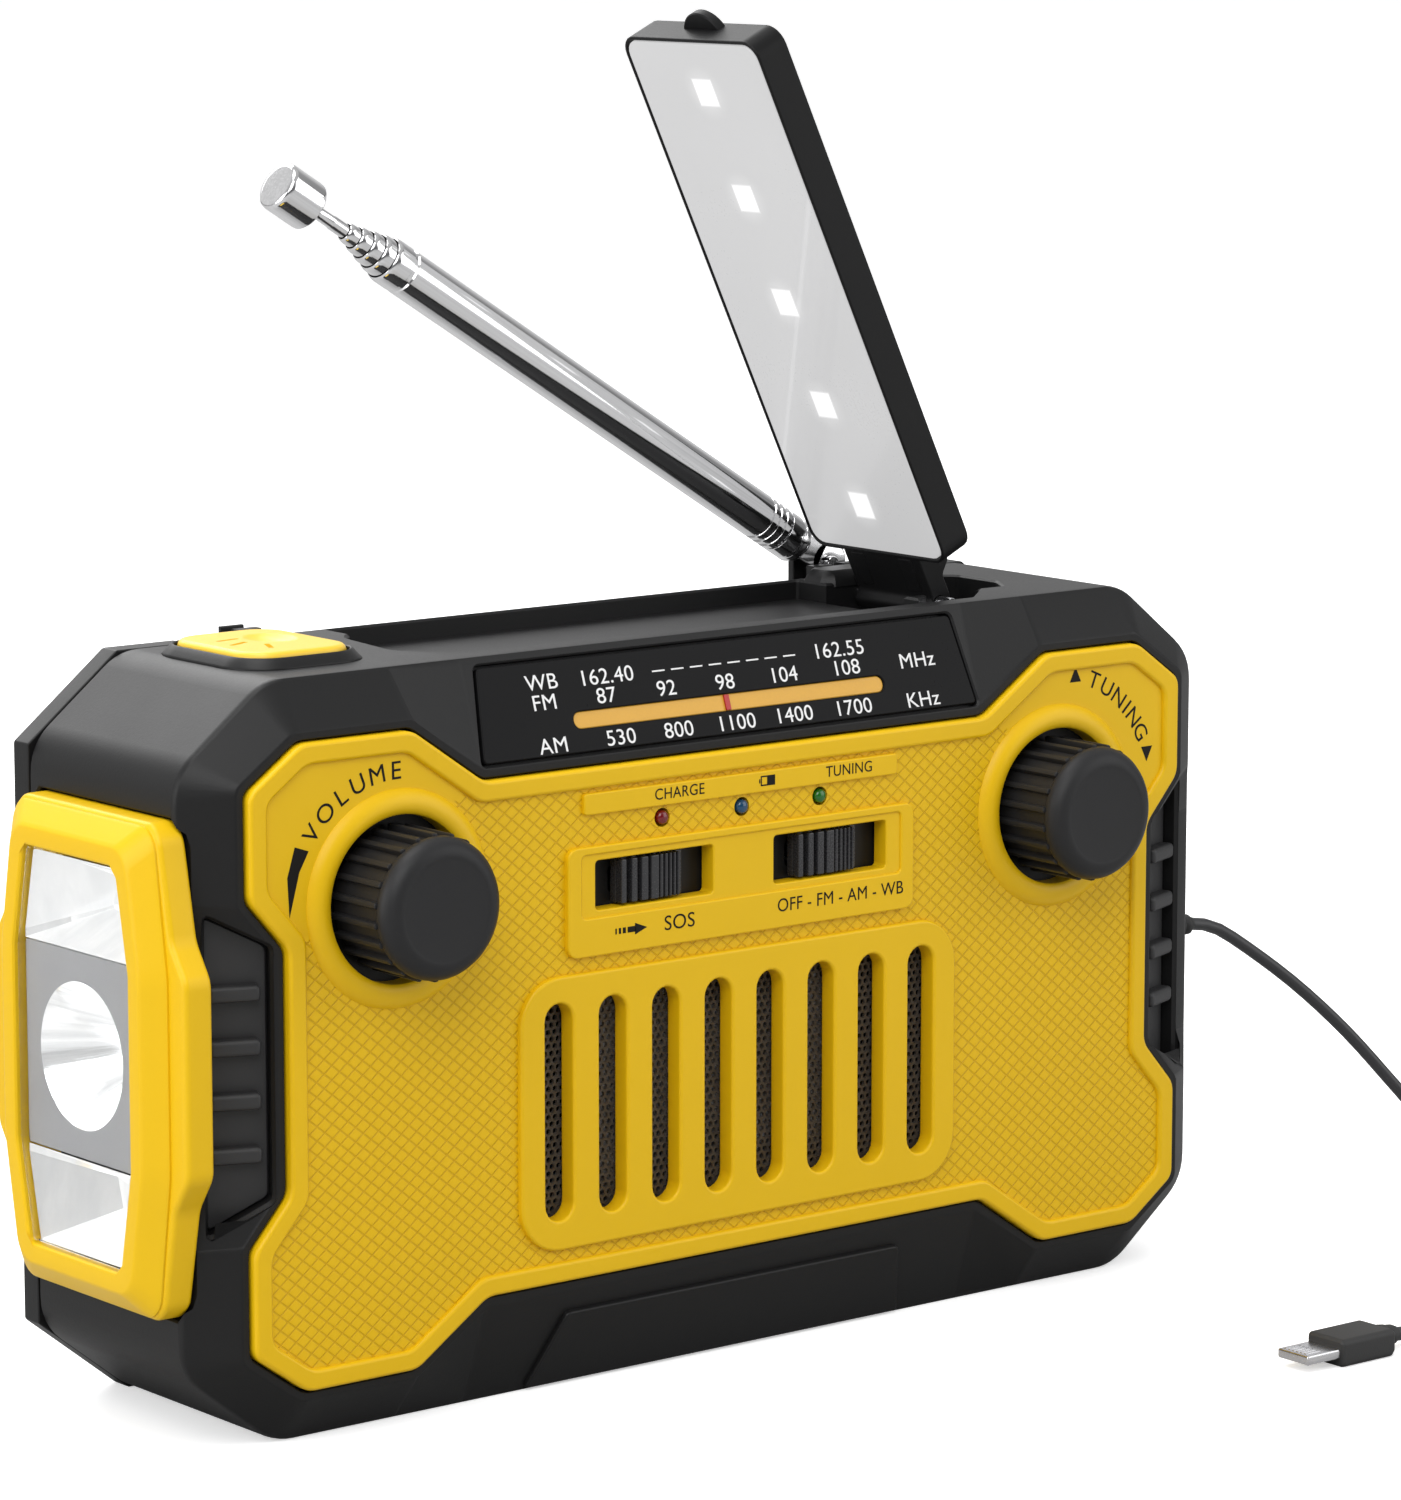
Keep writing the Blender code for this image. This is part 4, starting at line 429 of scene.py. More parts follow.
def lathe(profile, steps=48, place=None):
    """Turns a profile of (radius, height) points about Z."""
    shape = bmesh.new()
    rings = []
    for radius, height in profile:
        ring = [(0.0, 0.0)] if radius == 0 else circle(radius, steps)
        rings.append([shape.verts.new(in_metres((x, y, height))) for x, y in ring])
    for near, far in zip(rings, rings[1:]):
        if len(near) == 1 and len(far) == 1:
            continue
        for i in range(steps):
            j = (i + 1) % steps
            corners = (near[i % len(near)], near[j % len(near)], far[j % len(far)], far[i % len(far)])
            shape.faces.new(dict.fromkeys(corners))
    return finished_mesh(shape, place)


def bar(size_x, size_y, size_z, edge, place=None, steps=2):
    """A block with rounded edges, centred on the origin."""
    shape = bmesh.new()
    size = (size_x * MM, size_y * MM, size_z * MM, 1.0)
    bmesh.ops.create_cube(shape, size=1.0, matrix=Matrix.Diagonal(size))
    bmesh.ops.bevel(
        shape, geom=list(shape.edges), offset=edge * MM, segments=steps, profile=0.5,
        affect="EDGES", clamp_overlap=True,
    )
    return finished_mesh(shape, place)


def between(low, high, edge=0.1):
    """A block with rounded edges between two corners."""
    size = [b - a for a, b in zip(low, high)]
    middle = [(a + b) / 2 for a, b in zip(low, high)]
    return bar(*size, edge, at(*middle))


def merged(meshes, place=None):
    """One mesh out of several."""
    shape = bmesh.new()
    for mesh in meshes:
        shape.from_mesh(mesh)
        bpy.data.meshes.remove(mesh)
    if place is not None:
        shape.transform(place)
    mesh = bpy.data.meshes.new("shape")
    shape.to_mesh(mesh)
    shape.free()
    return mesh


def carved(mesh, tools, operation="DIFFERENCE"):
    """The mesh with each tool cut away from it, or added to it."""
    target = temporary(mesh)
    helpers = []
    for tool in tools:
        helper = temporary(tool)
        helpers.append(helper)
        change = target.modifiers.new("carve", "BOOLEAN")
        change.operation = operation
        change.object = helper
        change.solver = "EXACT"
    result = evaluated_mesh(target)
    for obj in helpers + [target]:
        data = obj.data
        bpy.data.objects.remove(obj, do_unlink=True)
        bpy.data.meshes.remove(data)
    return result


def softened(node, width, shortest=2.0, angle=30.0, segments=2):
    """A CAD node's shape with its long outer edges rounded."""
    shape = bmesh.new()
    shape.from_mesh(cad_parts[node].data)
    bmesh.ops.remove_doubles(shape, verts=shape.verts, dist=2e-6)
    bmesh.ops.dissolve_limit(
        shape, angle_limit=math.radians(1.0), verts=shape.verts, edges=shape.edges
    )
    edges = []
    for edge in shape.edges:
        if len(edge.link_faces) != 2 or edge.calc_length() < shortest * MM:
            continue
        if edge.is_convex and edge.calc_face_angle(0.0) > math.radians(angle):
            edges.append(edge)
    bmesh.ops.bevel(
        shape, geom=edges, offset=width * MM, segments=segments, profile=0.5, affect="EDGES",
        clamp_overlap=True,
    )
    return finished_mesh(shape)


def lettering(text, height, place, width=1.0):
    """Raised print whose capital letters have the given height."""
    curve = bpy.data.curves.new("print", "FONT")
    curve.body = text
    curve.size = height * MM / CAPITAL_SHARE
    curve.align_x = "CENTER"
    curve.align_y = "CENTER"
    curve.extrude = INK * MM / 2
    curve.space_character = 1.04
    return mesh_of_curve(curve, place @ Matrix.Diagonal((width, 1.0, 1.0, 1.0)))


def smooth_route(points, spacing):
    """Points an even distance apart on the smooth curve through the given ones."""
    knots = [Vector(p) * MM for p in points]
    ends = [2 * knots[0] - knots[1]] + knots + [2 * knots[-1] - knots[-2]]
    dense = []
    for a, b, c, d in zip(ends, ends[1:], ends[2:], ends[3:]):
        for step in range(40):
            t = step / 40
            line = 2 * b + (c - a) * t + (2 * a - 5 * b + 4 * c - d) * t**2
            dense.append((line + (3 * b - a - 3 * c + d) * t**3) / 2)
    dense.append(knots[-1])
    route = [dense[0]]
    travelled = 0.0
    for p, q in zip(dense, dense[1:]):
        travelled += (q - p).length
        if travelled >= spacing * MM:
            route.append(q)
            travelled = 0.0
    if (route[-1] - dense[-1]).length < spacing * MM / 2 and len(route) > 1:
        route.pop()
    return route + [dense[-1]]


# ---------------------------------------------------------------- outlines of this radio
def panel_outline():
    """The notched front panel, about the case's middle."""
    return mirrored(
        [(80.5, 17.3), (86.8, 24.5), (86.8, 39.5), (78.1, 45.7), (59.3, 45.7), (46.8, 37.2)]
    )


def ridge_outline():
    """The case's outer edge, with a point for each corner of the panel."""
    return mirrored([(95.0, 17.3), (95.0, 24.5), (95.0, 42.0), (79.9, 54.0), (59.3, 54.0), (46.8, 54.0)])


def torch_outline(growth, tab=0.0):
    """The torch's outline in Y and Z, about its middle, in millimetres."""
    half = 28.5 + growth
    end = 11.8 + growth
    middle = 14.6 + growth
    corner = 2.0 if growth > 0.3 else 0.5
    quarter = [(middle, 13.8)]
    if tab:
        quarter = [(middle + tab, 13.8), (middle, 18.8)]
    quarter += [(end, half - corner), (end - corner, half)]
    return (mirrored(quarter))


def slope_frame(low, high, flip=1.0):
    """A frame on a sloping face: origin at low, +Y towards high, +Z outwards."""
    across = Vector((flip, 0, 0))
    up = (high - low).normalized()
    turn = Matrix((across, up, across.cross(up))).transposed().to_4x4()
    return at(*low) @ turn


def dial_frame():
    return slope_frame(Vector((0, LIP_Y, 92.7)), Vector((0, RIDGE_Y, DECK_Z)))


def base_frame():
    return slope_frame(Vector((0, LIP_Y, 15.3)), Vector((0, RIDGE_Y, 0)), -1.0)


def dial_outline(growth=0.0):
    return grown([(46.2, 0.64), (44.3, 14.59), (-44.3, 14.59), (-46.2, 0.64)], growth)


def grip_frame(side):
    inner = Vector((side * 82.0, LIP_Y, MIDDLE_Z))
    outer = Vector((side * END_X, RIDGE_Y, MIDDLE_Z))
    across = (outer - inner).normalized() * side
    up = Vector((0, 0, 1))
    turn = Matrix((across, up, across.cross(up))).transposed().to_4x4()
    return at(*inner.lerp(outer, 0.385)) @ turn


def grip_outline(side, growth=0.0):
    half, tall, short = 4.3, 22.0, 17.6
    right, left = (tall, short) if side > 0 else (short, tall)
    return grown([(half, -right), (half, right), (-half, left), (-half, -left)], growth)


# ---------------------------------------------------------------- shader helpers
def feed(tree, socket, value):
    if isinstance(value, bpy.types.NodeSocket):
        tree.links.new(value, socket)
    elif isinstance(value, (tuple, list)) and len(value) == 3 and socket.type == "RGBA":
        socket.default_value = (*value, 1.0)
    else:
        socket.default_value = value


def node(tree, kind, settings=None, values=None):
    made = tree.nodes.new("ShaderNode" + kind)
    for key, value in (settings or {}).items():
        setattr(made, key, value)
    for key, value in (values or {}).items():
        feed(tree, made.inputs[key], value)
    return made


def maths(tree, operation, *values, clamp=False):
    made = node(tree, "Math", {"operation": operation, "use_clamp": clamp})
    for socket, value in zip(made.inputs, values):
        feed(tree, socket, value)
    return made.outputs[0]


def mixed(tree, share, first, second):
    """Blends two colours."""
    made = node(tree, "Mix", {"data_type": "RGBA"})
    feed(tree, made.inputs[0], share)
    feed(tree, made.inputs[6], first)
    feed(tree, made.inputs[7], second)
    return made.outputs[2]


def ramp(tree, value, low, high, start=0.0, end=1.0):
    """Maps a value from one range to another, smoothly and without overshoot."""
    made = node(
        tree, "MapRange", {"interpolation_type": "SMOOTHSTEP", "clamp": True},
        {"Value": value, "From Min": low, "From Max": high, "To Min": start, "To Max": end},
    )
    return made.outputs[0]


def effect(name, inputs, outputs):
    """A named shader node group with its sockets, and its two end nodes."""
    tree = bpy.data.node_groups.new(name, "ShaderNodeTree")
    for label, kind, value in inputs:
        socket = tree.interface.new_socket(label, in_out="INPUT", socket_type="NodeSocket" + kind)
        if value is not None:
            socket.default_value = value
    for label, kind in outputs:
        tree.interface.new_socket(label, in_out="OUTPUT", socket_type="NodeSocket" + kind)
    return tree, tree.nodes.new("NodeGroupInput").outputs, tree.nodes.new("NodeGroupOutput").inputs


def build_moulded_grain():
    """Fine spark-eroded grain with faint handling marks, for any moulded surface."""
    tree, given, result = effect(
        "moulded grain",
        [
            ("Vector", "Vector", None),
            ("Grain Size", "Float", 0.0003),
            ("Roughness", "Float", 0.5),
            ("Unevenness", "Float", 0.1),
        ],
        [("Height", "Float"), ("Roughness", "Float"), ("Tone", "Float")],
    )
    scale = maths(tree, "DIVIDE", 1.0, given["Grain Size"])
    fine = node(
        tree, "TexNoise", None,
        {"Vector": given["Vector"], "Scale": scale, "Detail": 2.0, "Roughness": 0.6},
    ).outputs[0]
    cells = node(
        tree, "TexVoronoi", {"feature": "F1"},
        {"Vector": given["Vector"], "Scale": maths(tree, "MULTIPLY", scale, 0.7)},
    ).outputs[0]
    broad = node(
        tree, "TexNoise", None, {"Vector": given["Vector"], "Scale": 38.0, "Detail": 4.0, "Roughness": 0.62},
    ).outputs[0]
    height = maths(tree, "ADD", fine, maths(tree, "MULTIPLY", cells, 0.6))
    uneven = maths(tree, "MULTIPLY", maths(tree, "SUBTRACT", broad, 0.5), given["Unevenness"])
    speck = maths(tree, "MULTIPLY", maths(tree, "SUBTRACT", fine, 0.5), 0.10)
    rough = maths(tree, "ADD", given["Roughness"], maths(tree, "ADD", uneven, speck), clamp=True)
    tone = maths(tree, "ADD", maths(tree, "MULTIPLY", broad, 0.7), maths(tree, "MULTIPLY", fine, 0.3))
    tree.links.new(height, result["Height"])
    tree.links.new(rough, result["Roughness"])
    tree.links.new(tone, result["Tone"])
    return tree


def build_drawn_streaks():
    """Long fine streaks of drawn or turned metal. The vector is stretched before it comes in."""
    tree, given, result = effect(
        "drawn streaks",
        [("Vector", "Vector", None), ("Roughness", "Float", 0.15), ("Amount", "Float", 0.1)],
        [("Height", "Float"), ("Roughness", "Float"), ("Tone", "Float")],
    )
    streak = node(
        tree, "TexNoise", None, {"Vector": given["Vector"], "Scale": 1.0, "Detail": 5.0, "Roughness": 0.7},
    ).outputs[0]
    change = maths(tree, "MULTIPLY", maths(tree, "SUBTRACT", streak, 0.5), given["Amount"])
    tree.links.new(streak, result["Height"])
    tree.links.new(maths(tree, "ADD", given["Roughness"], change, clamp=True), result["Roughness"])
    tree.links.new(ramp(tree, streak, 0.3, 0.7), result["Tone"])
    return tree


def placed_effect(tree, group, values):
    made = tree.nodes.new("ShaderNodeGroup")
    made.node_tree = bpy.data.node_groups[group]
    for key, value in values.items():
        feed(tree, made.inputs[key], value)
    return made.outputs


def blank_finish(name):
    """A new material with its tree, its Principled shader and the object's own coordinates."""
    material = bpy.data.materials.new(name)
    material.use_nodes = True
    tree = material.node_tree
    shader = tree.nodes["Principled BSDF"]
    coords = node(tree, "TexCoord").outputs["Object"]
    return material, tree, shader.inputs, coords


def add_bump(tree, sockets, height, distance, strength=1.0):
    bump = node(tree, "Bump", None, {"Height": height, "Distance": distance * MM, "Strength": strength})
    tree.links.new(bump.outputs[0], sockets["Normal"])


def paint(tree, sockets, colour, roughness):
    tree.links.new(colour, sockets["Base Color"])
    tree.links.new(roughness, sockets["Roughness"])


def darker(colour, share):
    return tuple(c * share for c in colour)


def plastic(name, colour, roughness, grain=None, depth=0.02, shine=0.5, uneven=0.1, tint=0.16):
    """Moulded plastic or rubber: grain, uneven gloss and a slight change of tone."""
    if name in bpy.data.materials:
        return bpy.data.materials[name]
    material, tree, sockets, coords = blank_finish(name)
    size = grain * MM if grain else sizes().grain_size
    skin = placed_effect(
        tree, "moulded grain",
        {"Vector": coords, "Grain Size": size, "Roughness": roughness, "Unevenness": uneven},
    )
    tone = mixed(tree, skin["Tone"], darker(colour, 1 - tint), darker(colour, 1 + tint))
    paint(tree, sockets, tone, skin["Roughness"])
    sockets["Specular IOR Level"].default_value = shine
    add_bump(tree, sockets, skin["Height"], depth)
    return material


def metal(name, colour, roughness, stretch=(2500.0, 2500.0, 30.0), amount=0.12, depth=0.004):
    """Bare or plated metal with streaks along one direction."""
    if name in bpy.data.materials:
        return bpy.data.materials[name]
    material, tree, sockets, coords = blank_finish(name)
    scaled = node(tree, "Mapping", None, {"Vector": coords, "Scale": stretch}).outputs[0]
    streaks = placed_effect(
        tree, "drawn streaks", {"Vector": scaled, "Roughness": roughness, "Amount": amount}
    )
    tone = mixed(tree, streaks["Tone"], darker(colour, 0.86), colour)
    paint(tree, sockets, tone, streaks["Roughness"])
    sockets["Metallic"].default_value = 1.0
    add_bump(tree, sockets, streaks["Height"], depth)
    return material


def chrome(name, roughness=0.09, stretch=(1800.0, 1800.0, 12.0)):
    return metal(name, tuple(colours().metal), roughness, stretch, 0.07, 0.0008)


def mottled(name, scale, detail, first, second, low, high):
    """A finish whose colour and roughness both follow one noise."""
    material, tree, sockets, coords = blank_finish(name)
    noise = node(tree, "TexNoise", None, {"Vector": coords, "Scale": scale, "Detail": detail}).outputs[0]
    paint(tree, sockets, mixed(tree, noise, first, second), ramp(tree, noise, 0.2, 0.8, low, high))
    return material, tree, sockets, noise


def printed(name, colour, roughness=0.5):
    """Print, whose ink is a little uneven."""
    material, _, sockets, _ = mottled(
        name, 2600.0, 3.0, darker(colour, 0.86), darker(colour, 1.05), roughness - 0.08, roughness + 0.08
    )
    sockets["Specular IOR Level"].default_value = 0.12
    return material


def case_plastic():
    return plastic("black case plastic", tuple(colours().case), 0.44, depth=0.007, shine=0.27)


def shell_plastic():
    return plastic("yellow shell plastic", tuple(colours().shell), 0.38, 0.45, 0.005, 0.28, 0.06, 0.035)


def knob_plastic():
    return plastic("knob plastic", tuple(colours().knobs), 0.46, 0.25, 0.006, 0.24)


def soft_rubber():
    return plastic("soft rubber", (0.022, 0.022, 0.022), 0.62, 0.22, 0.012)


# ---------------------------------------------------------------- putting a piece in place
def piece(name, mesh, body, look, place=None, stands_for=(), angle=38.0, even=True):
    """A piece of the radio: shaded, riding on its body, and standing for its CAD nodes."""
    obj = bpy.data.objects.new(name, mesh)
    bpy.context.scene.collection.objects.link(obj)
    mesh.name = name
    mesh.materials.clear()
    mesh.materials.append(look)
    mesh.shade_smooth()
    mesh.set_sharp_from_angle(angle=math.radians(angle))
    if place is not None:
        obj.matrix_world = place
    if even:
        shading = obj.modifiers.new("even shading", "WEIGHTED_NORMAL")
        shading.keep_sharp = True
        shading.weight = 60
    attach(obj, body)
    for stood_for in stands_for:
        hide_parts(stood_for)
    return obj


def dress(names, look):
    """Gives CAD nodes that stay in view, or inside, their finish."""
    for name in names:
        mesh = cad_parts[name].data
        mesh.materials.clear()
        mesh.materials.append(look)


# ---------------------------------------------------------------- camera, lights and floor
class RADIO_OT_stage(bpy.types.Operator):
    """Set the camera, the soft lights and the plain floor"""

    bl_idname = "radio.stage"
    bl_label = "Stage"

    def execute(self, context):
        setup = context.scene.radio_stage
        self.add_camera(context, setup)
        self.add_lights(setup)
        self.light_surroundings(context)
        self.add_floor()
        context.scene.view_settings.view_transform = "Standard"
        context.scene.view_settings.look = "None"
        return {"FINISHED"}

    def add_camera(self, context, setup):
        target = Vector((-7.94, -27.3, 91.77)) * MM
        level = math.cos(setup.height)
        away = Vector(
            (math.sin(setup.azimuth) * level, -math.cos(setup.azimuth) * level, math.sin(setup.height))
        )
        data = bpy.data.cameras.new("camera")
        data.lens = setup.lens
        data.sensor_width = 36.0
        data.clip_start = 0.01
        data.clip_end = 100.0
        camera = bpy.data.objects.new("camera", data)
        context.scene.collection.objects.link(camera)
        camera.location = target + away * setup.distance
        camera.rotation_euler = (-away).to_track_quat("-Z", "Y").to_euler()
        context.scene.camera = camera

    def add_lights(self, setup):
        aim = Vector((0, 0, 60)) * MM
        for name, place, size, power in (
            ("key light", (-0.75, -0.75, 0.95), 0.9, setup.key_power),
            ("fill light", (0.9, -0.9, 0.5), 1.0, setup.fill_power),
            ("back light", (0.15, 1.0, 0.9), 0.9, setup.key_power * 0.9),
            ("end light", (-1.1, 0.1, 0.35), 0.7, setup.fill_power * 0.8),
            ("top light", (-0.25, 0.05, 1.25), 0.6, setup.key_power * 0.6),
        ):
            data = bpy.data.lights.new(name, "AREA")
            data.shape = "SQUARE"
            data.size = size
            data.energy = power
            light = bpy.data.objects.new(name, data)
            bpy.context.scene.collection.objects.link(light)
            light.location = place
            light.rotation_euler = (aim - Vector(place)).to_track_quat("-Z", "Y").to_euler()

    def light_surroundings(self, context):
        world = bpy.data.worlds.new("studio")
        world.use_nodes = True
        tree = world.node_tree
        direction = node(tree, "TexCoord").outputs["Generated"]
        parts = node(tree, "SeparateXYZ", None, {"Vector": direction}).outputs
        behind = ramp(tree, parts["Y"], -0.2, 0.75)
        overhead = ramp(tree, parts["Z"], 0.1, 0.9)
        share = maths(tree, "MAXIMUM", behind, maths(tree, "MULTIPLY", overhead, 0.75))
        colour = mixed(tree, share, (0.20, 0.20, 0.205), (1.0, 1.0, 1.0))
        background = tree.nodes["Background"]
        tree.links.new(colour, background.inputs["Color"])
        background.inputs["Strength"].default_value = 0.72
        context.scene.world = world

    def add_floor(self):
        shape = bmesh.new()
        bmesh.ops.create_grid(shape, x_segments=8, y_segments=8, size=20.0)
        mesh = finished_mesh(shape)
        if mesh.polygons[0].normal.z < 0:
            mesh.flip_normals()
        floor = bpy.data.objects.new("floor", mesh)
        bpy.context.scene.collection.objects.link(floor)
        floor.location.z = -0.02 * MM
        material, tree, sockets, coords = blank_finish("white floor")
        noise = node(tree, "TexNoise", None, {"Vector": coords, "Scale": 3.0, "Detail": 2.0}).outputs[0]
        white = mixed(tree, noise, (0.93, 0.93, 0.93), (0.96, 0.96, 0.96))
        seen = node(tree, "LightPath").outputs["Is Camera Ray"]
        tree.links.new(mixed(tree, seen, (0.42, 0.42, 0.42), white), sockets["Base Color"])
        tree.links.new(mixed(tree, seen, (0.0, 0.0, 0.0), (1.0, 1.0, 1.0)), sockets["Emission Color"])
        sockets["Roughness"].default_value = 0.7
        sockets["Specular IOR Level"].default_value = 0.2
        sockets["Emission Strength"].default_value = 0.5
        mesh.materials.append(material)


# ---------------------------------------------------------------- charging lead
def lead_path():
    """The lead's whole centreline: down from its plug, round the coil and on to its far end."""
    path = smooth_route(LEAD_ROUTE, LEAD_SPACING)
    outer, inner = COIL_RADIUS + CORD_RADIUS, COIL_RADIUS - CORD_RADIUS
    floor, upper = CORD_RADIUS, 3 * CORD_RADIUS
    in_coil = ((0, 16.8), (90, outer), (360, outer), (450, inner), (900, inner), (990, outer))
    count = int(COIL_TURN / COIL_STEP)
    for index in range(1, count):
        travelled = COIL_TURN * index / count
        leaving = travelled - (COIL_TURN - COIL_EXIT)
        if leaving > 0:
            radius = wind(leaving, ((0, outer), (60, 16.1)))
            height = wind(leaving, ((30, upper), (COIL_EXIT, floor)))
        else:
            radius = wind(travelled, in_coil)
            height = wind(travelled, ((630, floor), (720, upper)))
        angle = math.radians(COIL_START - travelled)
        x = COIL_MIDDLE[0] + radius * math.cos(angle)
        y = COIL_MIDDLE[1] + radius * math.sin(angle)
        path.append(Vector((x, y, height)) * MM)
    return path + smooth_route(TAIL_ROUTE, LEAD_SPACING)


def wind(value, stops):
    """Eases between the stops (value, result)."""
    if value <= stops[0][0]:
        return stops[0][1]
    for (low, first), (high, second) in zip(stops, stops[1:]):
        if value <= high:
            t = (value - low) / (high - low)
            return first + (second - first) * t * t * (3 - 2 * t)
    return stops[-1][1]


class RADIO_OT_charging_lead(bpy.types.Operator):
    """Make the charging lead, its plug and its connector"""

    bl_idname = "radio.charging_lead"
    bl_label = "Charging Lead"

    def execute(self, context):
        jacket = plastic("lead jacket", (0.028, 0.028, 0.030), 0.42, 0.2, 0.006)
        plug = piece(
            "charging_plug", self.plug_mesh(), "radio", soft_rubber(),
            stands_for=("usb_plug",), angle=45,
        )
        connector = piece(
            "lead_connector", self.connector_mesh(), "radio", soft_rubber(),
            stands_for=("phone_connector",), angle=45,
        )
        tip = piece(
            "lead_connector_tip",
            merged(
                [between((58.0, -87.0, 1.35), (65.0, -80.6, 2.85), 0.35)] + [
                    between((58.6, -86.0 + i * 0.82, 2.8), (61.6, -85.5 + i * 0.82, 2.93), 0.05)
                    for i in range(6)
                ]
            ),
            "radio", metal("connector metal", (0.72, 0.72, 0.74), 0.25, (40.0, 2500.0, 2500.0)),
        )
        path = lead_path()
        curve = bpy.data.curves.new("charging_lead", "CURVE")
        curve.dimensions = "3D"
        curve.bevel_depth = sizes().cord_diameter / 2
        curve.bevel_resolution = 5
        curve.use_fill_caps = True
        spline = curve.splines.new("POLY")
        spline.points.add(len(path) - 1)
        for point, place in zip(spline.points, path):
            point.co = (*place, 1.0)
        spline.use_smooth = True
        curve.materials.append(jacket)
        lead = bpy.data.objects.new("charging_lead", curve)
        context.scene.collection.objects.link(lead)
        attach(lead, "radio")
        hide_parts("cord_lead", "cord_coil", "cord_tail")
        return {"FINISHED"}

    def plug_mesh(self):
        grip = stacked(
            rounded_box(7.6, 3.8, 1.5, 4),
            [(-0.5, 95.4), (0.0, 96.0), (0.0, 110.0), (-0.7, 112.4), (-1.6, 113.3)],
        )
        ridges = []
        for index in range(4):
            x = (98.6 + index * 2.2)
            ridges.append(stacked(
                rounded_box(7.7, 3.92, 1.6, 4),
                [(-0.25, x), (0.0, x + 0.2), (0.0, x + 0.9), (-0.25, x + 1.1)],
            ))
        relief = [(0.0, 112.9), (2.7, 113.0), (2.5, 114.0)]
        for index in range(4):
            x = 114.4 + index * 1.8
            r = 2.4 - index * 0.24
            relief += [((r - 0.35), x), (r, (x + 0.45)), (r, (x + 1.1)), ((r - 0.4), (x + 1.5))]
        relief += [(1.15, 121.8), (0.0, 121.8)]
        turn = at(0, PORT_Y, PORT_Z) @ SIDE
        tongue = bar(11, 12.0, 4.5, 0.3, at(90.3, PORT_Y, PORT_Z))
        return merged([merged([grip] + ridges + [lathe(relief, 24)], turn), tongue])

    def connector_mesh(self):
        turn = at(0, -83.8, 2.1) @ SIDE
        sleeve = stacked(
            rounded_box(3.9, 2.1, 0.9, 4),
            [(-0.5, 64.6), (0.0, 65.1), (0.0, 75.0), (-0.6, 75.9), (-1.0, 76.1)],
        )
        relief = [(0.0, 75.6), (1.9, 75.8), (1.75, 77.0), (1.4, 77.3),
                  (1.6, 77.7), (1.5, 78.5), (1.15, 79.3), (0.0, 79.4)]
        return merged([sleeve, lathe(relief, 24)], turn)


# ---------------------------------------------------------------- black case
def scaled(loop, across, up):
    return [(x * across, z * up) for x, z in loop]


def blended(near, far, share):
    return [(a[0] + (b[0] - a[0]) * share, a[1] + (b[1] - a[1]) * share) for a, b in zip(near, far)]


def housing_block():
    """The front case before it is hollowed, with round corners and a soft ridge."""
    quarter = [0.3, 0.3, 4.2, 3.2, 0.3, 0.3]
    cuts = (quarter + quarter[::-1]) * 2
    lip = filleted(grown(panel_outline(), 1.5), [1.2 if cut > 1 else 0.6 for cut in cuts], 6)
    ridge = filleted(ridge_outline(), cuts, 6)
    rings = []
    for points, y in (
        (scaled(lip, 0.998, 0.997), LIP_Y),
        (blended(lip, ridge, 0.04), LIP_Y + 0.25),
        (blended(lip, ridge, 0.93), RIDGE_Y - 0.45),
        (scaled(ridge, 0.9988, 0.9985), RIDGE_Y + 0.05),
        (ridge, RIDGE_Y + 0.8),
        (ridge, SPLIT_Y - 0.3),
        (scaled(ridge, 0.995, 0.992), SPLIT_Y),
    ):
        rings.append([(x, y, MIDDLE_Z + z) for x, z in points])
    return loft(rings)


def pocket(loop, depth, place, rim=0.35):
    """A tool that sinks an outline into a face, with a small slope round its rim."""
    return stacked(loop, [(0.0, -depth), (0.0, -rim), (rim, 0.0), (rim, 1.0)], place)


def through(loop, low_y, high_y):
    """A tool that opens an outline, drawn in X and Z, between two depths."""
    return plate([loop], high_y - low_y, 0.0, at(0, (low_y + high_y) / 2, 0) @ FRONT)


def torch_seat_tools():
    seat = torch_outline(6.7, 3.4)
    face = at(-END_X, TORCH_Y, TORCH_Z) @ SIDE @ turned(180, "Y")
    deep = plate([torch_outline(0.3)], 8, 0.0, at(-END_X + 2.4, TORCH_Y, TORCH_Z) @ SIDE)
    return [pocket(seat, 1.8, face, 0.3), deep]


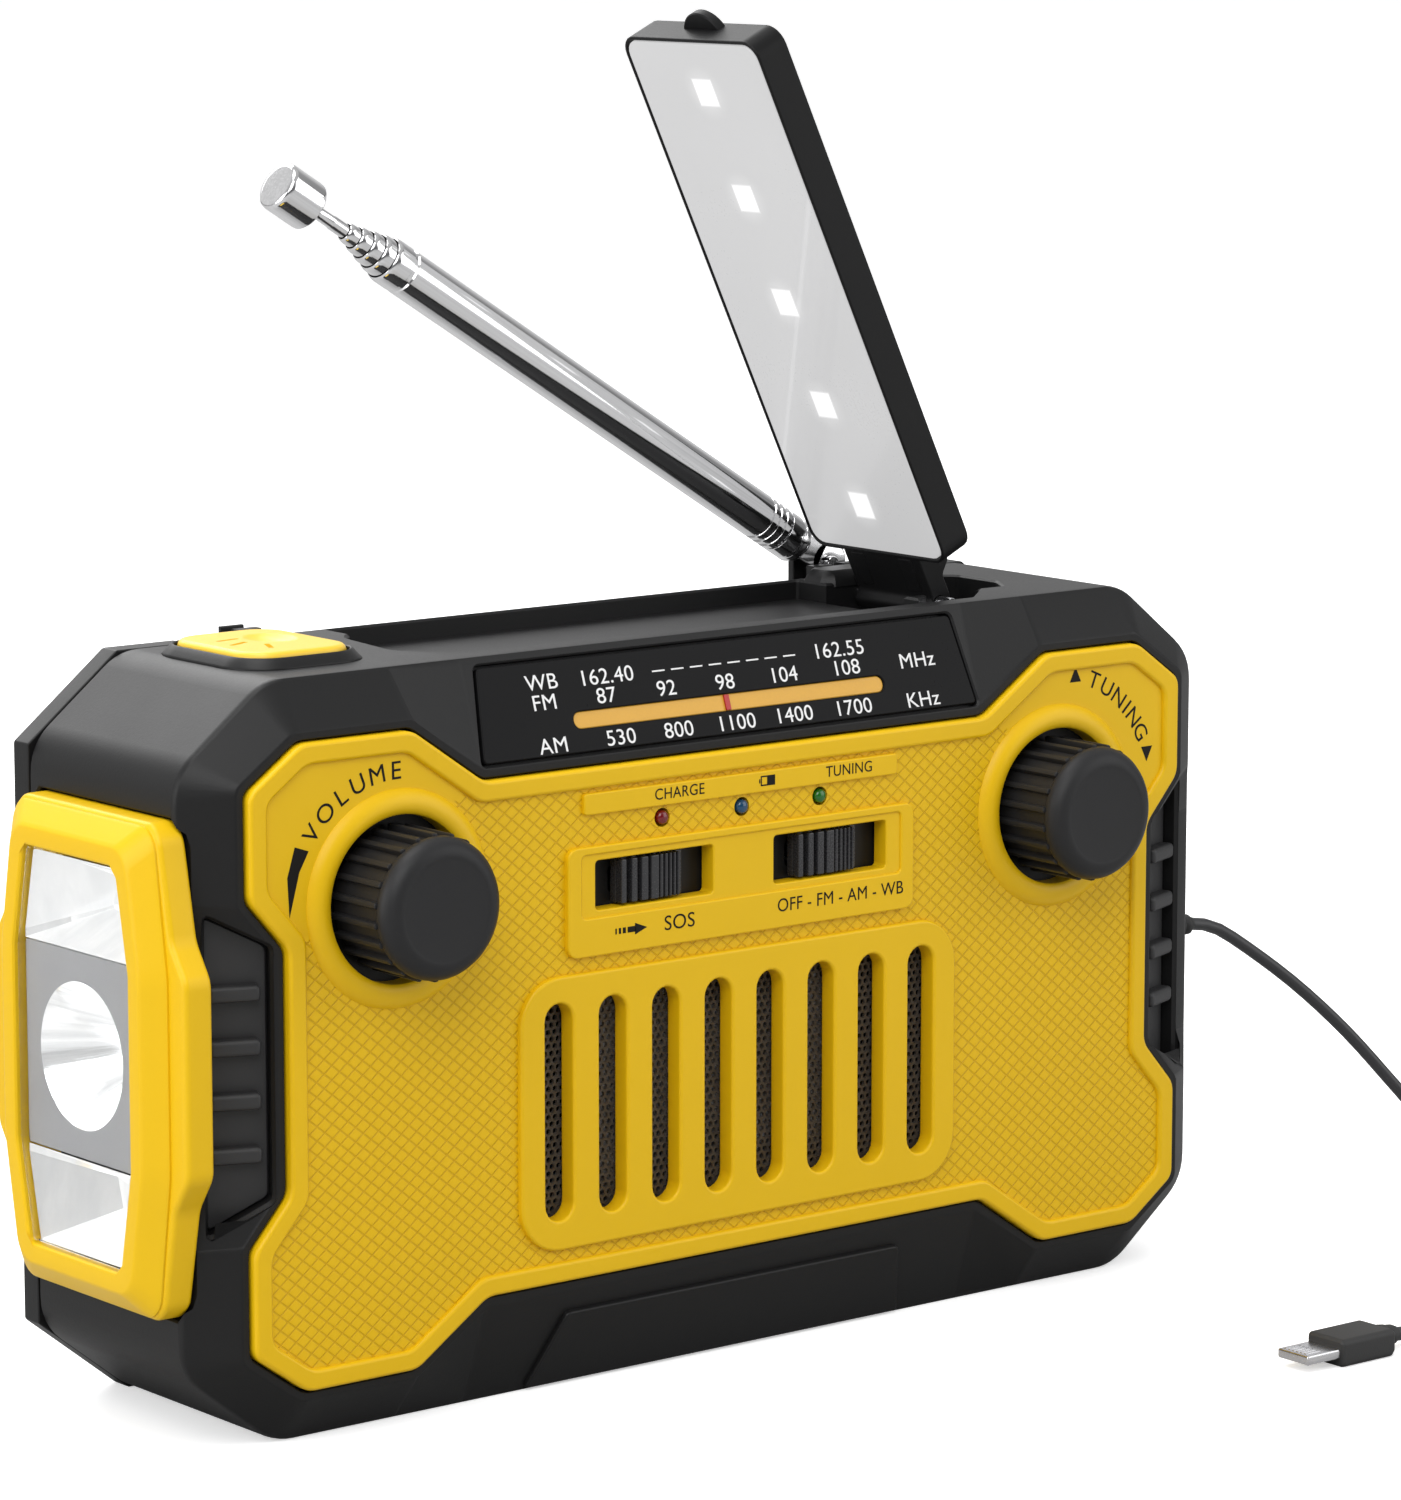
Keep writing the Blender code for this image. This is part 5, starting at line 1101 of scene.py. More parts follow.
class RADIO_OT_case(bpy.types.Operator):
    """Make the black front case"""

    bl_idname = "radio.case"
    bl_label = "Front Case"

    def execute(self, context):
        tools = [self.cavity(), self.panel_recess()]
        tools += [through(loop, -25.0, -18.0) for loop in self.front_openings()]
        slope = dial_frame()
        tools.append(pocket(filleted(dial_outline(GAP), 1.0, 4), 1.5, slope, 0.25))
        tools += self.deck_tools()
        tools += torch_seat_tools()
        tools += self.port_tools()
        for side in (-1, 1):
            tools.append(pocket(filleted(grip_outline(side, GAP), 0.8, 3), 2.9, grip_frame(side), 0.5))
        body = carved(housing_block(), tools)
        extras = merged([self.nameplate(), self.hinge_boss()] + self.inner_posts())
        piece("front_case", merged([body, extras]), "radio", case_plastic(),
              stands_for=("main_housing",), angle=30)
        return {"FINISHED"}

    def panel_recess(self):
        loop = filleted(grown(panel_outline(), GAP), 1.0, 4)
        return stacked(loop, [(0.0, RECESS_Y * -1), (0.0, 26.4), (0.25, 26.7), (0.25, 28.0)],
                       at(0, 0, MIDDLE_Z) @ FRONT)

    def cavity(self):
        loop = [
            (92.6, 91.0), (78.5, 102.2), (-78.5, 102.2), (-92.6, 91.0), (-92.6, 14.0), (-78.5, 3.0),
            (78.5, 3.0), (92.6, 14.0),
        ]
        return through((loop), CAVITY_Y, SPLIT_Y + 1.0)

    def front_openings(self):
        loops = [circle(3.6, 32, side * KNOB_X, KNOB_Z) for side in (-1, 1)]
        loops += [rounded_box(6.2, 2.2, 1.0, 3, side * SWITCH_X, SWITCH_Z) for side in (-1, 1)]
        loops += [circle(1.4, 24, i * LED_X, LED_Z) for i in (-1, 0, 1)]
        loops.append(rounded_box(39, 18.05, 6, 5, 0, SPEAKER_Z))
        return loops

    def deck_tools(self):
        hinge_x, middle, _ = LAMP_HINGE
        left = hinge_x - LAMP_LOW - LAMP_LENGTH - 0.5
        right = hinge_x - 7.5
        half = LAMP_HALF + GAP
        tray = [(left, middle - half), (right, middle - half), (right, middle + half), (left, middle + half)]
        deck = at(0, 0, DECK_Z)
        scoop = [(left - 4.6, -9.0), (left + 1, -17.4), (left + 1, 9.5), (left - 2.6, 6.0)]
        notch = [(52.5, -17.9), (60.0, -11.2), (52.0, -9.0), (40.0, -17.9)]
        pit = [(44.7, -11.0), (65.0, -11.0), (68.0, -6.0), (68.0, 3.0), (64.0, 7.6), (44.7, 7.6)]
        button = grown(rounded_box(9.1, 11.4, 5.0, 5, BUTTON_X, BUTTON_Y), 2.0)
        stem = lathe([(0.0, -8.0), (3.0, -8.0), (3.0, 2.0), (0.0, 2.0)], 20,
                     at(BUTTON_X, BUTTON_Y, DECK_Z))
        return [
            pocket(filleted(tray, 0.8, 3), 3.0, deck, 0.35),
            pocket(filleted(scoop, 2.2, 5), 1.3, deck, 0.5),
            pocket(filleted(notch, 0.6, 3), 2.4, deck, 0.3),
            pocket(filleted(pit, 0.6, 3), 4.6, deck, 0.3),
            pocket(button, 3.0, deck, 0.2),
            stem,
        ]

    def port_tools(self):
        right = at(END_X, 0, 0) @ SIDE
        usb = rounded_box(7.1, 3.35, 0.4, 2, PORT_Y, PORT_Z)
        flap = rounded_box(6.3, 13.3, 1.0, 3, PORT_Y, 72.0)
        slot = rounded_box(4.0, 1.7, 0.6, 3, PORT_Y, 78.0)
        jack = circle(3.2, 24, PORT_Y, 66.0)
        return [
            pocket(usb, 8.0, right, 0.3),
            pocket(flap, 1.2, right, 0.2),
            pocket(slot, 8.0, right, 0.1),
            pocket(jack, 8.0, right, 0.1),
        ]

    def nameplate(self):
        slope = base_frame()
        outline = [(31.5, 3.6), (36.5, 15.6), (-34.5, 15.6), (-31.5, 3.6)]
        return pad(filleted(outline, 0.8, 3), 0.8, 0.35, slope)

    def hinge_boss(self):
        outline = [
            (47.0, 8.0), (54.6, 8.0), (56.4, 9.8), (56.4, 14.2), (47.0, 14.2), (45.6, 12.8), (45.6, 9.4),
        ]
        return stacked(outline, [(0.6, 107.4), (0.4, 108.4), (-0.4, 109.5), (-0.9, 109.8)])

    def inner_posts(self):
        posts = []
        for x in (-SCREW_X, SCREW_X):
            for z, radius in ((SCREW_LOW, 3.0), (SCREW_HIGH, 2.6)):
                profile = [(1.6, 0.0), (radius, 0.0), (radius, 33.0), (1.6, 33.0), (1.6, 0.0)]
                posts.append(lathe(profile, 20, at(x, 14.6, z) @ FRONT))
        return posts


class RADIO_OT_rear_cover(bpy.types.Operator):
    """Make the rear cover, its screws and the battery door"""

    bl_idname = "radio.rear_cover"
    bl_label = "Rear Cover"

    def execute(self, context):
        piece("rear_shell", softened("rear_cover", 0.5, 3.0, 20.0), "radio", case_plastic(),
              stands_for=("rear_cover",), angle=30)
        steel = metal("screw steel", (0.55, 0.55, 0.57), 0.32, (900.0, 900.0, 900.0))
        index = 0
        for z in (SCREW_LOW, SCREW_HIGH):
            for x in (-SCREW_X, SCREW_X):
                index += 1
                piece(f"rear_screw_{index}", self.screw(x, z), "radio", steel,
                      stands_for=(f"case_screw_{index}",))
        piece(
            "battery_lid", self.door(), "battery_lid", case_plastic(),
            stands_for=("battery_door",),
        )
        return {"FINISHED"}

    def screw(self, x, z):
        head = [
            (0.0, -9.0), (1.1, -9.0), (1.4, -8.0), (1.4, -1.4), (2.8, -1.4), (2.8, -0.6), (2.3, -0.25),
            (0.0, -0.2),
        ]
        mesh = lathe(head, 32)
        cross = [bar(3.2, 0.65, 1.6, 0.05, at(0, 0, -0.3) @ turned(a, "Z"))
                 for a in (20, 110)]
        mesh = carved(mesh, cross)
        mesh.transform(at(x, BACK_Y, z) @ FRONT @ turned(180, "Y"))
        return mesh

    def door(self):
        back = at(-36.0, BACK_Y, 17.5) @ FRONT @ turned(180, "Y")
        panel = pad(filleted(rectangle(37, 12), 0.8, 3), 1.3, 0.3,
                    back @ at(0, 0, -1.3))
        grooves = [bar(14, 0.8, 1.0, 0.2, back @ at(22, (i - 2) * 2.2, 0.2)) for i in range(5)]
        return carved(panel, grooves)


# ---------------------------------------------------------------- yellow front
def speaker_slots(width=5.0):
    return [oblong(width, 57.8, 26.0, (i - 3.5) * SLOT_PITCH) for i in range(8)]


def crossed_lines():
    """Yellow plastic with an engraved crossed pattern, plain in the two upper corners; the grooves get a
    darker colour as painted shade.
    """
    material, tree, sockets, coords = blank_finish("yellow crossed plastic")
    colour = tuple(colours().shell)
    parts = node(tree, "SeparateXYZ", None, {"Vector": coords}).outputs
    pitch = sizes().hatch_pitch
    lines = []
    for sign in (1.0, -1.0):
        across = maths(
            tree, "ADD", maths(tree, "MULTIPLY", parts["X"], 0.62),
            maths(tree, "MULTIPLY", parts["Z"], 0.78 * sign),
        )
        fold = maths(tree, "PINGPONG", across, pitch / 2)
        lines.append(ramp(tree, fold, 0.05 * MM, 0.19 * MM, 1.0, 0.0))
    line = maths(tree, "MAXIMUM", lines[0], lines[1])
    sideways = maths(tree, "ABSOLUTE", parts["X"])
    slant = maths(
        tree, "SUBTRACT", maths(tree, "MULTIPLY", sideways, 0.62),
        maths(tree, "SUBTRACT", 0.1208, parts["Z"]),
    )
    open_field = ramp(tree, slant, 0.0004, -0.0002, 0.0, 1.0)
    corner = maths(tree, "SUBTRACT", 1.0, open_field)
    edge = maths(tree, "GREATER_THAN", parts["Z"], 0.072)
    plain = maths(tree, "MULTIPLY", corner, edge)
    line = maths(tree, "MULTIPLY", line, maths(tree, "SUBTRACT", 1.0, plain))
    skin = placed_effect(
        tree, "moulded grain",
        {"Vector": coords, "Grain Size": 0.45 * MM, "Roughness": 0.38, "Unevenness": 0.06},
    )
    tone = mixed(tree, skin["Tone"], darker(colour, 0.965), darker(colour, 1.03))
    # painted shade: the grooves are mixed towards the darker groove colour, as if shade fell in them
    paint(
        tree, sockets, mixed(tree, maths(tree, "MULTIPLY", line, 0.48), tone, tuple(colours().painted_groove_shade)),
        skin["Roughness"],
    )
    sockets["Specular IOR Level"].default_value = 0.28
    height = maths(tree, "SUBTRACT", maths(tree, "MULTIPLY", skin["Height"], 0.05), line)
    add_bump(tree, sockets, height, 0.10, 0.8)
    return material


def raised(loop):
    return [(x, z + MIDDLE_Z) for x, z in loop]


class RADIO_OT_front_panel(bpy.types.Operator):
    """Make the yellow front panel and its raised fields"""

    bl_idname = "radio.front_panel"
    bl_label = "Front Panel"

    def execute(self, context):
        piece(
            "panel_field", self.field(), "radio", crossed_lines(),
            stands_for=("front_panel",),
        )
        piece("panel_rim", self.rim(), "radio", shell_plastic())
        piece("panel_pads", self.pads(), "radio", shell_plastic())
        return {"FINISHED"}

    def sheet(self, loops, face, edge):
        return plate(loops, PANEL_BACK_Y - face, edge, at(0, (PANEL_BACK_Y + face) / 2, 0) @ FRONT)

    def field(self):
        outer = raised(grown(panel_outline(), -1.0))
        holes = [circle(13.0, 64, side * KNOB_X, KNOB_Z) for side in (-1, 1)]
        holes += [circle(1.4, 24, i * LED_X, LED_Z) for i in (-1, 0, 1)]
        holes.append(rounded_box(31.0, 6.4, 1.5, 4, 0, 71.9))
        holes.append(rounded_box(39.8, 18.8, 6.0, 6, 0, SPEAKER_Z))
        return self.sheet([outer] + holes, FIELD_Y, 0.0)

    def rim(self):
        outer = raised(filleted(panel_outline(), 1.4, 6))
        inner = raised(filleted(grown(panel_outline(), -3.0), 1.4, 6))
        return self.sheet([outer, inner], -27.75, 0.62)

    def pads(self):
        switches = [rounded_box(10.8, 3.6, 0.6, 4, side * SWITCH_X, SWITCH_Z) for side in (-1, 1)]
        meshes = [
            self.sheet([rounded_box(41.0, 20.05, 7.0, 8, 0, SPEAKER_Z)] + speaker_slots(), PAD_Y, 0.5),
            self.sheet([rounded_box(32.5, 8.0, 1.7, 6, 0, 71.9),
                        rounded_box(30.0, 4.6, 0.8, 4, 0, SWITCH_Z)], PAD_Y, 0.3),
            self.sheet([rounded_box(30.4, 5.0, 0.8, 4, 0, SWITCH_Z)] + switches, PAD_Y + 0.35, 0.28),
            plate([rounded_box(29.4, 1.6, 0.6, 4, 0, 86.0)], 1.2, 0.3,
                  at(0, FIELD_Y - 0.1, 0) @ FRONT),
        ]
        ring = [(12.0, -2.4), (12.0, 0.75), (12.3, 1.1), (13.0, 1.3), (13.9, 1.25), (14.8, 0.85), (15.5, 0.2),
                (15.7, -0.3), (15.7, -2.4), (12.0, -2.4)]
        for side in (-1, 1):
            meshes.append(lathe(ring, 96, at(side * KNOB_X, FIELD_Y, KNOB_Z) @ FRONT))
        return merged(meshes)


class RADIO_OT_speaker_net(bpy.types.Operator):
    """Make the net behind the speaker's slots"""

    bl_idname = "radio.speaker_net"
    bl_label = "Speaker Net"

    def execute(self, context):
        material, tree, sockets, noise = mottled(
            "woven net", 900.0, 3.0, (0.035, 0.030, 0.026), (0.105, 0.092, 0.080), 0.38, 0.6
        )
        add_bump(tree, sockets, noise, 0.03)
        piece(
            "speaker_net", self.net(), "radio", material, stands_for=("speaker_mesh",),
            even=False,
        )
        steel = metal("speaker steel", (0.5, 0.5, 0.52), 0.38, (600.0, 600.0, 600.0))
        dress(("speaker",), steel)
        return {"FINISHED"}

    def net(self):
        pitch = sizes().net_pitch / MM
        outer = pitch / math.sqrt(3)
        shape = bmesh.new()
        rows = int(34 / (1.5 * outer)) + 1
        for slot in range(8):
            middle = (slot - 3.5) * SLOT_PITCH
            for row in range(rows):
                z = 24.9 + row * 1.5 * outer
                for column in range(-3, 4):
                    x = middle + (column + 0.5 * (row % 2)) * pitch
                    if abs(x - middle) < 3.6:
                        self.add_cell(shape, x, z, outer)
        bmesh.ops.remove_doubles(shape, verts=shape.verts, dist=0.01 * MM)
        mesh = bpy.data.meshes.new("net")
        shape.to_mesh(mesh)
        shape.free()
        edge = plate([rounded_box(39.0, 18.0, 6.4, 6, 0, SPEAKER_Z)] + speaker_slots(6.6),
                     0.3, 0.0, at(0, RECESS_Y + 0.3, 0) @ FRONT)
        return merged([mesh, edge])

    def add_cell(self, shape, x, z, outer):
        rings = []
        for radius, y in (
            (outer, RECESS_Y + 0.08), (outer * 0.66, RECESS_Y + 0.02), (outer * 0.58, RECESS_Y + 0.45),
        ):
            ring = []
            for i in range(6):
                angle = math.radians(60 * i + 30)
                point = (x + radius * math.cos(angle), y, z + radius * math.sin(angle))
                ring.append(shape.verts.new(in_metres(point)))
            rings.append(ring)
        for near, far in zip(rings, rings[1:]):
            for i in range(6):
                j = (i + 1) % 6
                shape.faces.new((near[i], near[j], far[j], far[i]))


# ---------------------------------------------------------------- controls
class RADIO_OT_controls(bpy.types.Operator):
    """Make the knobs, the slide switches and the status lights"""

    bl_idname = "radio.controls"
    bl_label = "Controls"

    def execute(self, context):
        piece(
            "volume_dial", self.knob(-1), "volume", knob_plastic(),
            stands_for=("volume_knob",),
        )
        piece(
            "tuning_dial", self.knob(1), "tuning", knob_plastic(),
            stands_for=("tuning_knob",),
        )
        gloss = plastic("slider plastic", (0.026, 0.026, 0.028), 0.27, 0.3, 0.004)
        piece(
            "torch_slider", self.slider(-1), "torch_switch", gloss,
            stands_for=("torch_switch_slider",),
        )
        piece(
            "band_slider", self.slider(1), "band_switch", gloss,
            stands_for=("band_switch_slider",),
        )
        for index, name, node_name, slot, colour in (
            (-1, "charge_light", "charge_led", "red_led", (0.16, 0.002, 0.006)),
            (0, "power_light", "power_led", "blue_led", (0.003, 0.055, 0.13)),
            (1, "tuning_light", "tuning_led", "green_led", (0.004, 0.12, 0.006)),
        ):
            piece(name, self.light(index), "radio", self.tinted(name, colour), stands_for=(node_name,))
        return {"FINISHED"}

    def knob(self, side):
        profile = [
            (0.0, -11.0), (2.8, -11.0), (3.0, -10.8), (3.0, -2.1), (9.5, -2.1), (9.6, -1.9), (9.6, 8.3),
            (9.95, 8.6), (10.15, 9.1), (10.0, 9.9), (9.5, 10.75), (8.8, 11.3), (8.0, 11.58), (7.3, 11.6),
            (7.0, 11.52), (3.5, 11.48), (0.0, 11.48),
        ]
        meshes = [lathe(profile, 96)]
        count = sizes().knob_ribs
        for index in range(count):
            turn = turned(360 * (index + 0.5) / count, "Z")
            meshes.append(bar(1.5, 0.95, 10.9, 0.3, turn @ at(9.75, 0, 3.45)))
        return merged(meshes, at(side * KNOB_X, FIELD_Y, KNOB_Z) @ FRONT)

    def slider(self, side):
        """A block with ribs that get finer towards one end."""
        x = side * SWITCH_X
        z = SWITCH_Z
        meshes = [between((x - 6.1, -26.0, z - 3.25), (x + 6.1, -24.7, z + 3.25), 0.2)]
        meshes.append(between((x - 2.0, -24.9, z - 1.6), (x + 2.0, -18.9, z + 1.6), 0.1))
        left = -6.0
        for width, gap in (
            (1.0, 0.9), (1.1, 0.7), (1.3, 0.45), (1.5, 0.3), (0.65, 0.25), (0.6, 0.25), (0.5, 0.25),
            (0.5, 0.2), (0.45, 0.2),
        ):
            depth = -27.35 if width > 0.7 else -27.15
            meshes.append(between((x + left, depth, z - 3.2), (x + left + width, -25.6, z + 3.2), 0.2))
            left += width + gap
        return merged(meshes)

    def light(self, index):
        profile = [
            (0.0, -9.0), (1.0, -9.0), (1.05, -8.8), (1.05, 0.0), (0.98, 0.28), (0.75, 0.5), (0.4, 0.62),
            (0.0, 0.66),
        ]
        return lathe(profile, 32, at(index * LED_X, FIELD_Y, LED_Z) @ FRONT)

    def tinted(self, name, colour):
        material, _, sockets, _ = mottled(
            name, 700.0, 2.0, darker(colour, 0.75), darker(colour, 1.25), 0.10, 0.22
        )
        sockets["Coat Weight"].default_value = 0.4
        return material


# ---------------------------------------------------------------- dial and print
class RADIO_OT_dial(bpy.types.Operator):
    """Make the tuning dial, its bar, its pointer and its figures"""

    bl_idname = "radio.dial"
    bl_label = "Dial"

    def execute(self, context):
        slope = dial_frame()
        slot_loop = rounded_box(29.0, 1.25, 1.2, 6, 0, 5.4)
        gloss = plastic("dial plastic", (0.007, 0.007, 0.0075), 0.30, 0.5, 0.002, 0.08)
        piece(
            "dial_plate",
            plate([filleted(dial_outline(-0.1), 0.8, 4), slot_loop], 1.3, 0.22, slope @ at(0, 0, -0.62)),
            "radio", gloss, stands_for=("dial_window",),
        )
        amber = plastic("amber bar", tuple(colours().scale_bar), 0.32, 0.4, 0.003)
        piece("dial_bar", pad(grown(slot_loop, 0.05), 0.9, 0.25, slope @ at(0, 0, -1.15)), "radio", amber)
        red = plastic("pointer red", (0.42, 0.012, 0.012), 0.3, 0.3, 0.003)
        piece("dial_needle", bar(0.95, 2.3, 0.28, 0.08, slope @ at(-0.9, 5.4, -0.1)),
              "pointer", red, stands_for=("dial_pointer",))
        white = printed("white print", (0.86, 0.86, 0.86))
        piece("dial_figures", self.figures(slope @ at(0, 0, 0.05)), "radio", white, even=False)
        return {"FINISHED"}

    def figures(self, face):
        meshes = []
        for text, x, y in (
            ("WB", -33.4, 11.35), ("FM", -33.6, 8.4), ("AM", -33.5, 2.1), ("162.40", -21.8, 11.2),
            ("162.55", 21.7, 11.15), ("87", -22.5, 8.4), ("92", -11.5, 8.4), ("98", -0.65, 8.3),
            ("104", 10.4, 8.35), ("108", 22.4, 8.3), ("530", -21.4, 2.15), ("800", -10.8, 2.2),
            ("1100", -0.1, 2.2), ("1400", 10.8, 2.3), ("1700", 22.2, 2.3), ("MHz", 36.2, 8.2),
            ("KHz", 35.8, 2.2),
        ):
            meshes.append(lettering(text, 2.35, face @ at(x, y, 0), 1.10))
        for index in range(8):
            meshes.append(bar(2.3, 0.22, INK, INK_EDGE, face @ at((-12.3 + index * 3.5), 11.15, 0)))
        return merged(meshes)


class RADIO_OT_print(bpy.types.Operator):
    """Make the black print on the yellow panel"""

    bl_idname = "radio.print"
    bl_label = "Panel Print"

    def execute(self, context):
        black = printed("black print", (0.012, 0.011, 0.010))
        pads = at(0, PAD_Y - 0.02, 0) @ FRONT
        strip = at(0, FIELD_Y - 0.72, 0) @ FRONT
        field = at(0, FIELD_Y - 0.02, 0) @ FRONT
        meshes = [
            lettering("CHARGE", 1.7, strip @ at(-12.1, 86.1, 0), 0.98),
            lettering("TUNING", 1.7, strip @ at(19.9, 86.1, 0), 0.98),
            lettering("SOS", 2.25, pads @ at(-12.3, 67.1, 0), 1.05),
            lettering("OFF - FM - AM - WB", 2.05, pads @ at(18.2, 67.2, 0), 0.96),
        ]
        meshes += self.battery_mark(strip @ at(4.2, 86.1, 0))
        meshes += self.arrow(pads @ at(-21.2, 67.1, 0))
        for letter, angle in zip("VOLUME", (143.5, 132.5, 122.0, 111.8, 101.0, 90.8)):
            meshes.append(self.round_letter(letter, -1, 18.0, angle, field))
        for letter, angle in zip("TUNING", (67.0, 58.4, 49.6, 43.0, 36.6, 28.4)):
            meshes.append(self.round_letter(letter, 1, 20.0, angle, field))
        for angle, flip in ((78.5, 0), (18.0, 180)):
            meshes.append(self.mark(20.0, angle, flip, field))
        wedge = [(-79.0, 85.4), (-80.3, 81.2), (-80.0, 75.6), (-78.3, 81.8), (-76.7, 84.6)]
        meshes.append(plate([wedge], INK, 0.0, field))
        piece("panel_print", merged(meshes), "radio", black, even=False)
        return {"FINISHED"}

    def round_letter(self, letter, side, radius, angle, face):
        place = self.round_knob(side, radius, angle)
        return lettering(letter, 2.7, face @ place @ turned(angle - 90, "Z"), 1.05)

    def round_knob(self, side, radius, angle):
        turn = math.radians(angle)
        return at(side * KNOB_X + radius * math.cos(turn), KNOB_Z + radius * math.sin(turn), 0)

    def mark(self, radius, angle, flip, face):
        triangle = [(-1.15, -1.0), (1.15, -1.0), (0.0, 1.35)]
        place = face @ self.round_knob(1, radius, angle) @ turned(flip, "Z")
        return plate([triangle], INK, 0.0, place)

    def battery_mark(self, place):
        outside = [(-1.2, -0.75), (1.5, -0.75), (1.5, 0.75), (-1.2, 0.75)]
        window = [(-1.0, -0.55), (0.0, -0.55), (0.0, 0.55), (-1.0, 0.55)]
        shell = plate([outside, window], INK, 0.0, place)
        knob = plate([[(-1.5, -0.3), (-1.3, -0.3), (-1.3, 0.3), (-1.5, 0.3)]], INK, 0.0, place)
        return [shell, knob]

    def arrow(self, place):
        meshes = [bar(w, 0.85, INK, INK_EDGE, place @ at(x, 0, 0))
                  for x, w in ((-2.75, 0.25), (-2.05, 0.4), (-1.25, 0.55), (0.1, 1.5))]
        head = [(0.7, -0.85), (2.9, 0.0), (0.7, 0.85)]
        meshes.append(plate([head], INK, 0.0, place))
        return meshes


class RADIO_OT_grips(bpy.types.Operator):
    """Make the ribbed grips at the panel's sides"""

    bl_idname = "radio.grips"
    bl_label = "Grips"

    def execute(self, context):
        rubber = plastic("grip rubber", (0.026, 0.026, 0.027), 0.50, 0.3, 0.010)
        for side, name in ((-1, "left_grip"), (1, "right_grip")):
            face = grip_frame(side)
            meshes = [pad(filleted(grip_outline(side), 0.8, 3), 0.45, 0.15, face @ at(0, 0, -2.6))]
            for index in range(4):
                place = face @ at(side * 0.4, (index - 1.5) * 7.6, -1.3)
                meshes.append(bar(7.4, 2.4, 2.4, 0.7, place, 3))
            piece(f"{name}_ribs", merged(meshes), "radio", rubber, stands_for=(name,))
        return {"FINISHED"}


